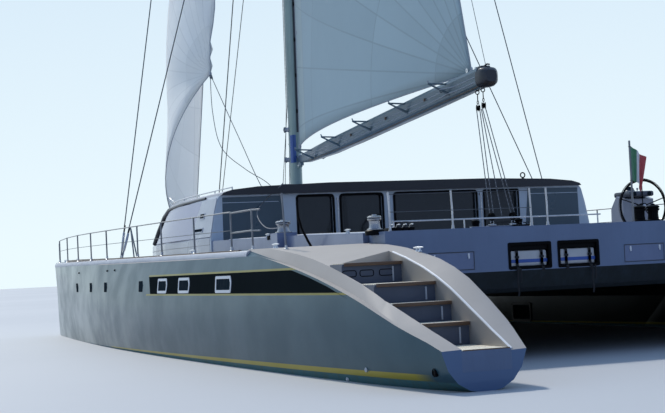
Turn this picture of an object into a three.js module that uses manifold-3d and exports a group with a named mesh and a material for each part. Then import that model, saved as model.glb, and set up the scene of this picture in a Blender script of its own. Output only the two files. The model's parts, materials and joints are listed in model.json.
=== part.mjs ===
// Large sailing catamaran: two slim hulls with stepped sterns, a bridge deck with a deckhouse and cockpit,
// a sloop rig with a loose-footed mainsail on a V boom, and a headsail set from a bowsprit.
// Millimetres. +X is forward, +Y is port, +Z is up.
// The origin is amidships, on the centreline at the waterline.
import * as THREE from "three";
import { mergeVertices } from "three/addons/utils/BufferGeometryUtils.js";
import Module from "manifold-3d";

const wasm = await Module();
wasm.setup();

// Driving dimensions
const M = 1000;                       // one metre
const GAP = 0.3;                      // between pieces that touch
const CLEAR = 6;                      // between pieces that move
const LOA = 25 * M;                   // hull length
const BOW_X = LOA / 2;
const STERN_X = -LOA / 2;
const HULL_Y = 4.6 * M;               // keel line of each hull
const JOIN_Y = 4.0 * M;               // plane where each hull meets the bridge deck
const DECK_Z = 1.82 * M;              // deck height amidships
const SHEER_SLOPE = 0.0085;           // rise of the deck towards the bow
const SOLE_Z = 1.1 * M;               // cockpit and saloon floor
const WET_DECK_Z = 0.96 * M;          // underside of the bridge deck
const AFT_FACE_X = -8.47 * M;         // aft face of the aft beam
const BEAM_FRONT_X = -7.9 * M;        // where the aft beam meets the bridge deck
const NOSE_X = 8.7 * M;               // front of the bridge deck
const COAMING_Z = 1.9 * M;
const HOUSE_AFT_X = -0.38 * M;        // aft face of the deckhouse
const WALL = 60;                      // deckhouse wall
const GLASS = 12;
const ROOF_SPLIT_Z = 2.9 * M;         // lower edge of the roof
const ROOF_Z = 3.09 * M;              // top of the roof
const CROSSBEAM_X = 11.6 * M;
const SPRIT_TIP_X = 15.45 * M;
const SPRIT_Z = 1.72 * M;
const MAST_FOOT_X = 6.12 * M;
const MAST_RAKE = 0.035;              // aft lean for each unit of height
const MAST_TOP_Z = 31.6 * M;
const MAST_CHORD = 420;
const MAST_WIDTH = 280;
const GOOSENECK_Z = 4.0 * M;
const GOOSENECK_AFT = 90;             // hinge axis behind the mast's aft face
const BOOM_END_X = -3.95 * M;
const RUDDER_X = -10.35 * M;
const DRIVE_X = -7.2 * M;
const HELM = new THREE.Vector3(-6.0 * M, -1.76 * M, 2.21 * M);
const WHEEL_RADIUS = 450;

const COLOURS = {
  silver: 0x9aa3a8, white: 0xd9dcdc, bluegrey: 0x7f8ba3, dark: 0x23282c, black: 0x121416,
  glass: 0x1a2024, teak: 0x9b7a55, steel: 0xc9ccce, sail: 0xdfe3e6, net: 0x3a4045,
  bronze: 0x8c6a3c, fabric: 0xb8bcc0, red: 0xa83232,
};

const deckHeight = (x) => DECK_Z + SHEER_SLOPE * x;
const mastX = (z) => MAST_FOOT_X - MAST_RAKE * (z - ROOF_Z);
const axisX = (z) => mastX(z) - MAST_CHORD / 2 - GOOSENECK_AFT;
const lerp = (a, b, t) => a + (b - a) * t;

// Reads a column of a table at x, by its first column, on a smooth curve through the rows.
function along(table, column, x) {
  const rows = table[0][0] > table[table.length - 1][0] ? [...table].reverse() : table;
  let i = 0;
  while (i < rows.length - 2 && x > rows[i + 1][0]) i++;
  const [a, b] = [rows[i], rows[i + 1]];
  const span = b[0] - a[0];
  const t = Math.min(1, Math.max(0, (x - a[0]) / span));
  const slope = (b[column] - a[column]) / span;
  const before = i > 0 ? (a[column] - rows[i - 1][column]) / (a[0] - rows[i - 1][0]) : slope;
  const after = i < rows.length - 2 ? (rows[i + 2][column] - b[column]) / (rows[i + 2][0] - b[0]) : slope;
  const start = before * slope > 0 ? (before + slope) / 2 : 0;
  const end = after * slope > 0 ? (after + slope) / 2 : 0;
  const [m0, m1] = [(i > 0 ? start : slope) * span, (i < rows.length - 2 ? end : slope) * span];
  return a[column] * (2 * t ** 3 - 3 * t ** 2 + 1) + m0 * (t ** 3 - 2 * t ** 2 + t)
    + b[column] * (3 * t ** 2 - 2 * t ** 3) + m1 * (t ** 3 - t ** 2);
}

// Solids
function toSolid(geometry) {
  const bare = geometry.clone();
  bare.deleteAttribute("normal");
  bare.deleteAttribute("uv");
  const merged = mergeVertices(bare, 1e-3);
  return new wasm.Manifold(new wasm.Mesh({
    numProp: 3,
    vertProperties: new Float32Array(merged.attributes.position.array),
    triVerts: new Uint32Array(merged.index.array),
  }));
}

function toGeometry(solid) {
  const mesh = solid.getMesh();
  const geometry = new THREE.BufferGeometry();
  geometry.setAttribute("position", new THREE.BufferAttribute(new Float32Array(mesh.vertProperties), 3));
  geometry.setIndex(new THREE.BufferAttribute(new Uint32Array(mesh.triVerts), 1));
  return geometry;
}

// A closed solid from rings of points with equal counts; the end rings are capped.
function loft(rings) {
  const count = rings[0].length;
  const positions = rings.flat().flatMap((p) => [p.x, p.y, p.z]);
  const index = [];
  for (let r = 0; r < rings.length - 1; r++) {
    for (let i = 0; i < count; i++) {
      const [a, b] = [r * count + i, r * count + (i + 1) % count];
      index.push(a, b, b + count, a, b + count, a + count);
    }
  }
  for (const [ring, base, flip] of [[rings[0], 0, true], [rings.at(-1), (rings.length - 1) * count, false]]) {
    const normal = new THREE.Vector3();
    ring.forEach((p, i) => normal.add(new THREE.Vector3().crossVectors(p, ring[(i + 1) % count])));
    const axis = [Math.abs(normal.x), Math.abs(normal.y), Math.abs(normal.z)];
    const drop = axis.indexOf(Math.max(...axis));
    const [across, up] = [(drop + 1) % 3, (drop + 2) % 3];
    const flat = ring.map((p) => new THREE.Vector2(p.getComponent(across), p.getComponent(up)));
    const clockwise = THREE.ShapeUtils.isClockWise(flat);
    const order = clockwise ? flat.map((_, i) => count - 1 - i) : flat.map((_, i) => i);
    for (const [a, b, c] of THREE.ShapeUtils.triangulateShape(order.map((i) => flat[i]), [])) {
      const tri = [base + order[a], base + order[b], base + order[c]];
      if (flip !== clockwise) tri.reverse();
      index.push(...tri);
    }
  }
  const geometry = new THREE.BufferGeometry();
  geometry.setAttribute("position", new THREE.Float32BufferAttribute(positions, 3));
  geometry.setIndex(index);
  let volume = 0;
  const corner = (i) => new THREE.Vector3(...positions.slice(i * 3, i * 3 + 3));
  for (let t = 0; t < index.length; t += 3) {
    volume += corner(index[t]).dot(corner(index[t + 1]).cross(corner(index[t + 2])));
  }
  if (volume < 0) {
    for (let t = 0; t < index.length; t += 3) [index[t], index[t + 1]] = [index[t + 1], index[t]];
    geometry.setIndex(index);
  }
  return toSolid(geometry);
}

function block(x0, x1, y0, y1, z0, z1) {
  const geometry = new THREE.BoxGeometry(x1 - x0, y1 - y0, z1 - z0);
  geometry.translate((x0 + x1) / 2, (y0 + y1) / 2, (z0 + z1) / 2);
  return toSolid(geometry);
}

const point = (x, y, z) => new THREE.Vector3(x, y, z);

// Extrudes a side profile, given as pairs, along Y.
const sideProfile = (pairs, y0, y1) => loft([y0, y1].map((y) => pairs.map(([x, z]) => point(x, y, z))));

// A round bar between two points, which may taper.
function bar(from, to, radius, sides = 12, endRadius = radius) {
  const course = to.clone().sub(from);
  const turn = new THREE.Quaternion().setFromUnitVectors(point(0, 1, 0), course.clone().normalize());
  const geometry = new THREE.CylinderGeometry(endRadius, radius, course.length(), sides);
  geometry.applyQuaternion(turn);
  geometry.translate(...from.clone().lerp(to, 0.5).toArray());
  return toSolid(geometry);
}

// A bar along X, and one along Y.
const barX = (x0, x1, y, z, radius, sides, endRadius) => (
  bar(point(x0, y, z), point(x1, y, z), radius, sides, endRadius)
);
const barY = (y0, y1, x, z, radius, sides) => bar(point(x, y0, z), point(x, y1, z), radius, sides);

// A round rail through points that runs across the Y axis, mitred at each bend.
function rail(points, radius, sides = 8) {
  return loft(points.map((p, i) => {
    const back = new THREE.Vector3().subVectors(p, points[Math.max(0, i - 1)]).normalize();
    const ahead = new THREE.Vector3().subVectors(points[Math.min(points.length - 1, i + 1)], p).normalize();
    const course = back.add(ahead).normalize();
    const across = point(0, 1, 0).addScaledVector(course, -course.y).normalize();
    const upward = new THREE.Vector3().crossVectors(across, course);
    return Array.from({ length: sides }, (_, k) => {
      const angle = ((k + 0.5) * 2 * Math.PI) / sides;
      const offset = across.clone().multiplyScalar(radius * Math.cos(angle));
      return offset.addScaledVector(upward, radius * Math.sin(angle)).add(p);
    });
  }));
}

const joined = (solids) => solids.reduce((a, b) => a.add(b));
const mirrored = (solid) => solid.mirror([0, 1, 0]);
const largest = (solid) => solid.decompose().sort((a, b) => b.volume() - a.volume())[0];

// The assembly
const boat = new THREE.Group();
boat.name = "sailing_catamaran";

function place(name, solid, colour, roughness = 0.4, metalness = 0.1) {
  const material = new THREE.MeshStandardMaterial({ color: COLOURS[colour], roughness, metalness });
  const mesh = new THREE.Mesh(toGeometry(solid), material);
  mesh.name = name;
  boat.add(mesh);
}

function placePair(name, portSolid, colour, roughness, metalness) {
  place(`${name}_port`, portSolid, colour, roughness, metalness);
  place(`${name}_starboard`, mirrored(portSolid), colour, roughness, metalness);
}

// Hulls. Columns: x, widest half-breadth, half-breadth at the deck, keel height, fullness of the section.
const HULL_TABLE = [
  [STERN_X, 560, 550, -20, 6.5],
  [-11.3 * M, 660, 590, -190, 5.4],
  [-9.5 * M, 740, 600, -400, 4.6],
  [-6.5 * M, 820, 610, -640, 4.2],
  [-2.0 * M, 870, 610, -790, 4.0],
  [3.0 * M, 800, 600, -800, 3.6],
  [7.0 * M, 580, 520, -740, 3.0],
  [10.0 * M, 340, 360, -600, 2.4],
  [11.8 * M, 140, 190, -380, 2.0],
  [12.3 * M, 62, 95, -180, 1.8],
  [BOW_X, 22, 40, 260, 1.7],
];
const HULL_DEPTHS = [0.045, 0.14, 0.28, 0.44, 0.6, 0.74, 0.85, 0.93, 0.98];
const HULL_STATIONS = [
  -12.5, -12.1, -11.6, -11.0, -10.3, -9.5, -8.5, -7.2, -5.6, -3.8, -1.8,
  0.4, 2.6, 4.6, 6.4, 8.0, 9.4, 10.6, 11.5, 12.05, 12.35, 12.5,
];
const WIDEST_Z = 600;
const GUNWALE_RADIUS = 60;

function hullSection(x) {
  const [widest, deckHalf, keel, fullness] = [1, 2, 3, 4].map((column) => along(HULL_TABLE, column, x));
  const top = deckHeight(x);
  const side = [[Math.max(deckHalf - GUNWALE_RADIUS, deckHalf * 0.6), top]];
  for (const depth of HULL_DEPTHS) {
    const z = lerp(top, keel, depth);
    const flareIn = Math.max(0, (z - WIDEST_Z) / (top - WIDEST_Z));
    const breadth = lerp(widest, deckHalf, flareIn ** 2);
    side.push([breadth * Math.sqrt(1 - depth ** fullness), z]);
  }
  const outer = side.map(([y, z]) => point(x, HULL_Y + y, z));
  const inner = side.map(([y, z]) => point(x, HULL_Y - y, z)).reverse();
  return [...outer, point(x, HULL_Y, keel), ...inner];
}

// Stern wings, by height. Columns: x, then the top edge at four places across each hull, from outboard
// to inboard: the hull's side, each side of the stairs, and the inner side.
const WING_TABLE = [
  [-12.7 * M, 380, 390, 330, 340],
  [STERN_X, 460, 470, 430, 440],
  [-12.0 * M, 610, 640, 650, 700],
  [-11.5 * M, 735, 810, 880, 980],
  [-11.0 * M, 880, 980, 1110, 1230],
  [-10.3 * M, 1060, 1190, 1360, 1460],
  [-9.6 * M, 1210, 1360, 1540, 1590],
  [-8.9 * M, 1340, 1510, 1670, 1690],
  [-8.0 * M, 1480, 1640, 1760, 1760],
  [-7.1 * M, 1600, 1730, 1800, 1800],
  [-6.2 * M, 1710, 1810, 1830, 1830],
  [-5.6 * M, 1810, 1850, 1860, 1860],
];
const WING_STATIONS = [
  -12.7, -12.5, -12.25, -12, -11.5, -11, -10.6, -10.2, -9.7, -9.2, -8.6, -8, -7.4, -6.8, -6.2, -5.6,
];
const WING_CREST_Y = 5.19 * M;
const WING_LIP = 20;                  // rise of the outer edge above the crest
const STAIR_INNER_Y = 4.27 * M;
const STAIR_TOP_X = -9.2 * M;
// Outer side of the stairs, which widen forward. Columns: x, y.
const STAIR_OUTER = [[-12.7 * M, 4.88 * M], [STERN_X, 4.88 * M], [-10.9 * M, 5.08 * M], [STAIR_TOP_X, 5.11 * M]];
const STAIR_BASE_Z = 220;
// Columns: where each tread ends aft, its height.
const TREADS = [[-9.62, 1.47], [-10.61, 1.2], [-11.04, 0.96], [-11.5, 0.72], [-12.5, 0.45]];
const NOSING = 25;

function wingCutter() {
  const rings = WING_STATIONS.map((station) => {
    const x = station * M;
    const heights = [1, 2, 3, 4].map((column) => along(WING_TABLE, column, x));
    const [outerLow, outerHigh, innerHigh, innerLow] = heights;
    return [
      [7 * M, outerLow + WING_LIP], [WING_CREST_Y + 180, outerLow + WING_LIP],
      [WING_CREST_Y, outerLow], [along(STAIR_OUTER, 1, x), outerHigh],
      [STAIR_INNER_Y, innerHigh], [4.05 * M, innerLow], [3 * M, innerLow], [3 * M, 4 * M], [7 * M, 4 * M],
    ].map(([y, z]) => point(x, y, z));
  });
  return loft(rings);
}

// Everything between the sides of the stairs.
function stairWell(inset, z0, z1) {
  const outer = STAIR_OUTER.map(([x, y]) => [x, y - inset]);
  outer[outer.length - 1][0] -= inset;
  const plan = [...outer, [STAIR_TOP_X - inset, STAIR_INNER_Y + inset], [outer[0][0], STAIR_INNER_Y + inset]];
  return loft([z0, z1].map((z) => plan.map(([x, y]) => point(x, y, z))));
}

function stairProfile(inset) {
  const pairs = [[STAIR_TOP_X - inset, STAIR_BASE_Z + inset], [STAIR_TOP_X - inset, TREADS[0][1] * M]];
  TREADS.forEach(([end, height], i) => {
    const [nose, riser, top] = [end * M, end * M + NOSING, height * M];
    pairs.push([nose, top]);
    if (i === TREADS.length - 1) return;
    pairs.push([nose, top - NOSING], [riser, top - NOSING], [riser, TREADS[i + 1][1] * M]);
  });
  pairs.push([STERN_X, STAIR_BASE_Z + inset]);
  return pairs;
}

// An upright cylinder.
const bore = (x, y, z0, z1, radius) => bar(point(x, y, z0), point(x, y, z1), radius, 32);
const STOCK_RADIUS = 45;
const BORE_GAP = 0.8;
const STOCK_TOP_Z = 80;

const hullBody = loft(HULL_STATIONS.map((station) => hullSection(station * M)));

function portHull() {
  return hullBody
    .subtract(block(-14 * M, 14 * M, 0, JOIN_Y, -3 * M, 4 * M))
    .subtract(wingCutter())
    .subtract(stairWell(0, STAIR_BASE_Z, 3 * M))
    .subtract(bore(RUDDER_X, HULL_Y, -2 * M, STOCK_TOP_Z, STOCK_RADIUS + BORE_GAP));
}

const hull = portHull();
placePair("hull", hull, "silver", 0.35, 0.35);
const sternSteps = sideProfile(stairProfile(GAP), 4 * M, 6 * M).intersect(stairWell(GAP, 0, 3 * M));
placePair("stern_steps", sternSteps, "white", 0.6, 0);

// Keels, drives and rudders. Foil columns: share of the chord, half-thickness as a share of the chord.
const FOIL = [[0, 0.002], [0.03, 0.026], [0.12, 0.048], [0.3, 0.06], [0.55, 0.05], [0.8, 0.024], [1, 0.003]];
const FOIL_THICKNESS = 0.12;          // of the table's section

function foilRing(front, chord, thickness, z) {
  const scale = thickness / FOIL_THICKNESS;
  const half = FOIL.map(([s, t]) => [front - s * chord, t * chord * scale]);
  const other = half.map(([x, y]) => [x, -y]).reverse();
  return [...half, ...other].map(([x, y]) => point(x, HULL_Y + y, z));
}

// Foil tables. Columns: front edge, chord, thickness as a share of the chord, height.
const KEEL_FRONT_X = 2.6 * M;
const KEEL_TABLE = [
  [KEEL_FRONT_X, 3.6 * M, 0.1, -500],
  [KEEL_FRONT_X - 300, 3.1 * M, 0.09, -1.5 * M],
  [KEEL_FRONT_X - 480, 2.7 * M, 0.08, -1.95 * M],
];
const RUDDER_TABLE = [
  [RUDDER_X + 170, 620, 0.13, -470],
  [RUDDER_X + 150, 560, 0.12, -1.2 * M],
  [RUDDER_X + 100, 420, 0.11, -1.85 * M],
];
const foil = (table) => loft(table.map((row) => foilRing(...row)));
const belowHull = (solid) => solid.subtract(hullBody.translate([0, 0, -GAP]));
placePair("keel", belowHull(foil(KEEL_TABLE)), "dark", 0.6, 0);

const rudder = foil(RUDDER_TABLE).add(bore(RUDDER_X, HULL_Y, -700, STOCK_TOP_Z - CLEAR, STOCK_RADIUS));
placePair("rudder", rudder, "dark", 0.6, 0);

const SHAFT_Z = -1.12 * M;
const LEG_TABLE = [
  [DRIVE_X + 330, 420, 0.28, -480],
  [DRIVE_X + 300, 380, 0.26, SHAFT_Z],
];
// Gear case along the shaft, from its aft end to its nose.
const CASE_AFT_X = DRIVE_X - 90;
const CASE_FRONT_X = DRIVE_X + 330;
const CASE_RADIUS = 80;
const CASE_NOSE = 150;
const SHAFT_RADIUS = 20;
const HUB_RADIUS = 62;
const HUB_LENGTH = 150;
const PROP_FRONT_X = CASE_AFT_X - CLEAR;
const driveLeg = belowHull(foil(LEG_TABLE))
  .add(barX(CASE_AFT_X, CASE_FRONT_X, HULL_Y, SHAFT_Z, CASE_RADIUS, 20))
  .add(barX(CASE_FRONT_X, CASE_FRONT_X + CASE_NOSE, HULL_Y, SHAFT_Z, CASE_RADIUS, 20, SHAFT_RADIUS))
  .add(barX(DRIVE_X, PROP_FRONT_X - HUB_LENGTH, HULL_Y, SHAFT_Z, SHAFT_RADIUS, 20));
placePair("drive_leg", driveLeg, "dark", 0.5, 0.3);

const BLADES = 3;
const BLADE_REACH = 270;
const BLADE_PITCH = 0.9;

const BLADE_WIDTH = 150;
const CONE_LENGTH = 80;

function propeller() {
  const coneX = PROP_FRONT_X - HUB_LENGTH;
  const centreX = PROP_FRONT_X - HUB_LENGTH * 0.6;
  const root = HUB_RADIUS * 0.5;
  let solid = barX(PROP_FRONT_X, coneX, HULL_Y, SHAFT_Z, HUB_RADIUS, 24)
    .add(barX(coneX, coneX - CONE_LENGTH, HULL_Y, SHAFT_Z, HUB_RADIUS, 24, 18));
  for (let i = 0; i < BLADES; i++) {
    const blade = new THREE.SphereGeometry(1, 10, 6);
    blade.scale(8, BLADE_WIDTH / 2, (BLADE_REACH - root) / 2);
    blade.rotateZ(BLADE_PITCH);
    blade.translate(0, 0, (BLADE_REACH + root) / 2);
    blade.rotateX((i * 2 * Math.PI) / BLADES);
    blade.translate(centreX, HULL_Y, SHAFT_Z);
    solid = solid.add(toSolid(blade));
  }
  return solid.subtract(barX(DRIVE_X, coneX - CLEAR, HULL_Y, SHAFT_Z, SHAFT_RADIUS + BORE_GAP, 20));
}
placePair("propeller", propeller(), "bronze", 0.3, 0.9);

// Bridge deck: a tray between the hulls with the cockpit and saloon sole, side decks and a solid nose.
const TRAY_Y = 3.62 * M;
const TRAY_FRONT_X = 6.3 * M;
// Columns: x, height of the underside. The deck's top follows the sheer.
const NACELLE_TABLE = [
  [BEAM_FRONT_X + GAP, WET_DECK_Z],
  [4.6 * M, WET_DECK_Z],
  [6.4 * M, 1.02 * M],
  [7.8 * M, 1.22 * M],
  [NOSE_X, 1.5 * M],
];
// Fillet between the underside and each hull. Columns: y, drop below the underside.
const FILLET = [[JOIN_Y - GAP, 330], [3.8 * M, 180], [3.5 * M, 60], [3.1 * M, 0]];

function bridgeDeck() {
  const rings = NACELLE_TABLE.map(([x, bottom]) => {
    const top = deckHeight(x);
    const flare = (top - bottom) / (deckHeight(BEAM_FRONT_X) - WET_DECK_Z);
    const half = [[JOIN_Y - GAP, top], ...FILLET.map(([y, drop]) => [y, bottom - drop * flare])];
    const other = half.map(([y, z]) => [-y, z]).reverse();
    return [...half, ...other].map(([y, z]) => point(x, y, z));
  });
  return loft(rings).subtract(block(BEAM_FRONT_X - M, TRAY_FRONT_X, -TRAY_Y, TRAY_Y, SOLE_Z, 4 * M));
}
place("bridge_deck", bridgeDeck(), "white", 0.5, 0);

// Aft beam with two pairs of open bays and three lockers, whose doors hinge on their lower edge.
const BAY_Z = [1.31 * M, 1.64 * M];
const BAYS = [[1.45, 2.09], [0.66, 1.29], [-1.29, -0.66], [-2.09, -1.45]];
const BAY_DEPTH = 260;
const LOCKER_Z = [1.31 * M, 1.57 * M];
// Columns: name, y limits.
const LOCKERS = [["port", [2.65, 3.36]], ["centre", [-0.48, 0.21]], ["starboard", [-3.36, -2.65]]];
const LOCKER_DEPTH = 300;
const DOOR_THICKNESS = 22;
const HINGE_RADIUS = 8;
const HINGE_PIN = 4;
const HINGE_X = AFT_FACE_X + HINGE_RADIUS;
const HINGE_Z = LOCKER_Z[0] + 14;

function aftBeam() {
  const profile = [
    [AFT_FACE_X, COAMING_Z], [AFT_FACE_X, 1.27 * M], [AFT_FACE_X + 150, 1.02 * M],
    [AFT_FACE_X + 260, WET_DECK_Z], [BEAM_FRONT_X, WET_DECK_Z], [BEAM_FRONT_X, COAMING_Z],
  ];
  let solid = sideProfile(profile, -JOIN_Y + GAP, JOIN_Y - GAP);
  for (const [y0, y1] of BAYS) {
    solid = solid.subtract(block(AFT_FACE_X - 50, AFT_FACE_X + BAY_DEPTH, y0 * M, y1 * M, ...BAY_Z));
  }
  for (const [, [y0, y1]] of LOCKERS) {
    solid = solid
      .subtract(block(AFT_FACE_X - 50, AFT_FACE_X + LOCKER_DEPTH, y0 * M, y1 * M, ...LOCKER_Z))
      .add(barY(y0 * M - 10, y1 * M + 10, HINGE_X, HINGE_Z, HINGE_PIN, 12));
  }
  return solid;
}
place("aft_beam", aftBeam(), "bluegrey", 0.4, 0.2);

function lockerDoor([low, high]) {
  const [y0, y1] = [low * M + CLEAR, high * M - CLEAR];
  const faces = [AFT_FACE_X + 1, AFT_FACE_X + DOOR_THICKNESS];
  return block(...faces, y0, y1, HINGE_Z + 2, LOCKER_Z[1] - CLEAR)
    .add(barY(y0, y1, HINGE_X, HINGE_Z, HINGE_RADIUS, 16))
    .subtract(barY(y0 - 2 * CLEAR, y1 + 2 * CLEAR, HINGE_X, HINGE_Z, HINGE_PIN + 2 * GAP, 12));
}
for (const [name, limits] of LOCKERS) {
  place(`locker_door_${name}`, lockerDoor(limits), "bluegrey", 0.4, 0.2);
}

// Cockpit: side coamings with winch bases, benches, console and helm.
const COAMING_Y = [3.76 * M, 4.08 * M];
const WINCH_X = -4.4 * M;
const WINCH_Y = 4.05 * M;
const WINCH_BASE_Z = 2.04 * M;
const WINCH_BASE_HALF = 170;
const CUTTER_X = 14 * M;
// Everything below the deck's top.
const deckCutter = sideProfile([
  [-CUTTER_X, 0], [CUTTER_X, 0],
  [CUTTER_X, deckHeight(CUTTER_X) + GAP], [-CUTTER_X, deckHeight(-CUTTER_X) + GAP],
], -6 * M, 6 * M);

function coaming() {
  const [aft, front] = [AFT_FACE_X + 600, HOUSE_AFT_X - GAP];
  const profile = [
    [aft, 1.5 * M], [aft, COAMING_Z], [-4.8 * M, 1.98 * M], [front, 2.05 * M], [front, 1.5 * M],
  ];
  const [x0, x1] = [WINCH_X - WINCH_BASE_HALF, WINCH_X + WINCH_BASE_HALF];
  const [y0, y1] = [WINCH_Y - WINCH_BASE_HALF, WINCH_Y + WINCH_BASE_HALF];
  return sideProfile(profile, ...COAMING_Y)
    .add(block(x0, x1, y0, y1, 1.5 * M, WINCH_BASE_Z))
    .subtract(deckCutter);
}
placePair("coaming", coaming(), "bluegrey", 0.45, 0.1);

// Columns: radius, height.
const WINCH_PROFILE = [
  [0, 0], [105, 0], [105, 25], [78, 45], [62, 95], [70, 150], [88, 168], [88, 190], [34, 205], [0, 205],
];
const drum = new THREE.LatheGeometry(WINCH_PROFILE.map(([r, h]) => new THREE.Vector2(r, h)), 20);
drum.rotateX(Math.PI / 2);
drum.translate(WINCH_X, WINCH_Y, WINCH_BASE_Z + GAP);
placePair("winch", toSolid(drum), "steel", 0.2, 0.9);

const BENCH_X = [-7.2 * M, -1.6 * M];
const BENCH_Z = 1.5 * M;
const BENCH_DEPTH = 750;
const CUSHION_HEIGHT = 110;
const bench = block(...BENCH_X, TRAY_Y - BENCH_DEPTH, TRAY_Y - GAP, SOLE_Z + GAP, BENCH_Z);
placePair("cockpit_bench", bench, "white", 0.5, 0);
const cushionY = [TRAY_Y - BENCH_DEPTH + 30, TRAY_Y - 40];
const cushionZ = [BENCH_Z + GAP, BENCH_Z + CUSHION_HEIGHT];
const cushion = block(BENCH_X[0] + 60, BENCH_X[1] - 60, ...cushionY, ...cushionZ);
placePair("bench_cushion", cushion, "fabric", 0.9, 0);

// Console across the cockpit, with the mainsheet track on top.
const CONSOLE_X = [-4.55 * M, -3.95 * M];
const CONSOLE_HALF = 620;
const CONSOLE_Z = 1.98 * M;
const console = sideProfile([
  [CONSOLE_X[0], SOLE_Z + GAP], [CONSOLE_X[1], SOLE_Z + GAP],
  [CONSOLE_X[1] - 80, CONSOLE_Z], [CONSOLE_X[0] + 80, CONSOLE_Z],
], -CONSOLE_HALF, CONSOLE_HALF);
const trackX = [CONSOLE_X[0] + 260, CONSOLE_X[0] + 330];
const track = block(...trackX, 40 - CONSOLE_HALF, CONSOLE_HALF - 40, CONSOLE_Z - 10, CONSOLE_Z + 40);
place("mainsheet_console", console.add(track), "bluegrey", 0.45, 0.1);

const PEDESTAL_AFT_X = HELM.x + 130;
const PEDESTAL_HALF = 300;
const pedestal = sideProfile([
  [PEDESTAL_AFT_X, SOLE_Z + GAP], [PEDESTAL_AFT_X + 420, SOLE_Z + GAP], [PEDESTAL_AFT_X + 380, 2.2 * M],
  [PEDESTAL_AFT_X + 200, 2.4 * M], [PEDESTAL_AFT_X + 10, 2.34 * M],
], HELM.y - PEDESTAL_HALF, HELM.y + PEDESTAL_HALF)
  .add(barX(PEDESTAL_AFT_X + 50, HELM.x - 40, HELM.y, HELM.z, SHAFT_RADIUS, 20));
place("helm_pedestal", pedestal, "white", 0.4, 0.1);

const SPOKES = 5;
const RIM_RADIUS = 16;

function wheel() {
  const rim = new THREE.TorusGeometry(WHEEL_RADIUS - RIM_RADIUS, RIM_RADIUS, 8, 30).rotateY(Math.PI / 2);
  rim.translate(...HELM.toArray());
  let solid = toSolid(rim).add(barX(HELM.x - 50, HELM.x + 45, HELM.y, HELM.z, 55, 20));
  for (let i = 0; i < SPOKES; i++) {
    const angle = (i * 2 * Math.PI) / SPOKES;
    const spoke = point(0, Math.sin(angle), Math.cos(angle)).multiplyScalar(WHEEL_RADIUS - RIM_RADIUS - 2);
    solid = solid.add(bar(HELM, spoke.add(HELM), 9, 6));
  }
  return solid.subtract(barX(HELM.x - 40 - CLEAR, HELM.x + 60, HELM.y, HELM.z, SHAFT_RADIUS + BORE_GAP, 20));
}
place("helm_wheel", wheel(), "black", 0.4, 0.4);

// Deckhouse. Columns: height, half-width, front end on the centreline.
const HOUSE_TABLE = [
  [1.7, 4.1, 8.3], [2.1, 4.1, 8.2], [2.13, 4.08, 8.1], [2.55, 4.0, 7.35], [2.86, 3.92, 6.9],
  [2.95, 3.84, 6.78], [3.0, 3.66, 6.7], [3.05, 3.15, 6.6], [3.09, 1.7, 6.5],
];
const PLAN_CENTRE_X = 1.0 * M;
const PLAN_POWER = 3;
const PLAN_STEPS = 10;

function housePlan(z, halfWidth, front, offset, aft) {
  const [a, b] = [front * M - PLAN_CENTRE_X - offset * 1.2, halfWidth * M - offset];
  const half = [[aft + offset, b]];
  for (let i = 0; i <= PLAN_STEPS; i++) {
    const angle = (Math.PI / 2) * (i / PLAN_STEPS);
    const [s, c] = [Math.sin(angle), Math.cos(angle)].map((value) => value ** (2 / PLAN_POWER));
    half.push([PLAN_CENTRE_X + a * s, b * c]);
  }
  half[half.length - 1][1] = 0;
  const other = half.slice(0, -1).reverse().map(([x, y]) => [x, -y]);
  return [...half, ...other].map(([x, y]) => point(x, y, z));
}

const houseBody = (offset, aft = HOUSE_AFT_X) => loft(HOUSE_TABLE.map(([z, w, front], i) => {
  const drop = z > 2.9 ? offset : 0;
  const sink = i === 0 ? -offset : drop;
  return housePlan(z * M - sink, w, front, offset, aft);
}));

const houseShell = houseBody(0).subtract(houseBody(WALL)).subtract(deckCutter);
const glassShell = houseBody(WALL + GAP * 2).subtract(houseBody(WALL + GAP * 2 + GLASS)).subtract(deckCutter);
// A block across the whole house, between two x and two heights.
const acrossHouse = (x0, x1, z0, z1) => block(x0, x1, -5 * M, 5 * M, z0, z1);
const PILLAR_X = 3.7 * M;
const SIDE_START_X = HOUSE_AFT_X + 90;
const SIDE_WINDOW = [[3.5, 2.14], [0.95, 2.14], [0.1, 2.72], [2.6, 2.72]];
const WINDSCREEN_Z = [2.16 * M, 2.74 * M];
const MULLIONS = [[-0.07, 0.07], [1.75, 1.87], [-1.87, -1.75]];

const walls = houseShell.intersect(acrossHouse(-M, 9 * M, M, ROOF_SPLIT_Z - GAP));
const sideRegion = block(SIDE_START_X + GAP, PILLAR_X - GAP, M, 5 * M, M, 4 * M);
const sideOpening = sideProfile(SIDE_WINDOW.map(([x, z]) => [x * M, z * M]), 2 * M, 6 * M);
placePair("cabin_side", walls.intersect(sideRegion).subtract(sideOpening), "white", 0.35, 0.1);

let screenOpening = acrossHouse(PILLAR_X + 120, 9 * M, ...WINDSCREEN_Z);
for (const [y0, y1] of MULLIONS) {
  screenOpening = screenOpening.subtract(block(4.5 * M, 9 * M, y0 * M, y1 * M, 0, 4 * M));
}
const cabinFront = walls.intersect(acrossHouse(PILLAR_X, 9 * M, M, 4 * M)).subtract(screenOpening);
place("cabin_front", cabinFront, "white", 0.35, 0.1);

const REBATE = 25;                    // the glass goes this far behind its frame
const screenZ = [WINDSCREEN_Z[0] - REBATE, WINDSCREEN_Z[1] + REBATE];
place("windscreen", glassShell.intersect(acrossHouse(PILLAR_X + 80, 9 * M, ...screenZ)), "glass", 0.08, 0);
const sideGlass = glassShell.intersect(block(-0.1 * M, PILLAR_X - 40, M, 5 * M, 2.11 * M, 2.75 * M));
placePair("side_window", sideGlass, "glass", 0.08, 0);

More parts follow.
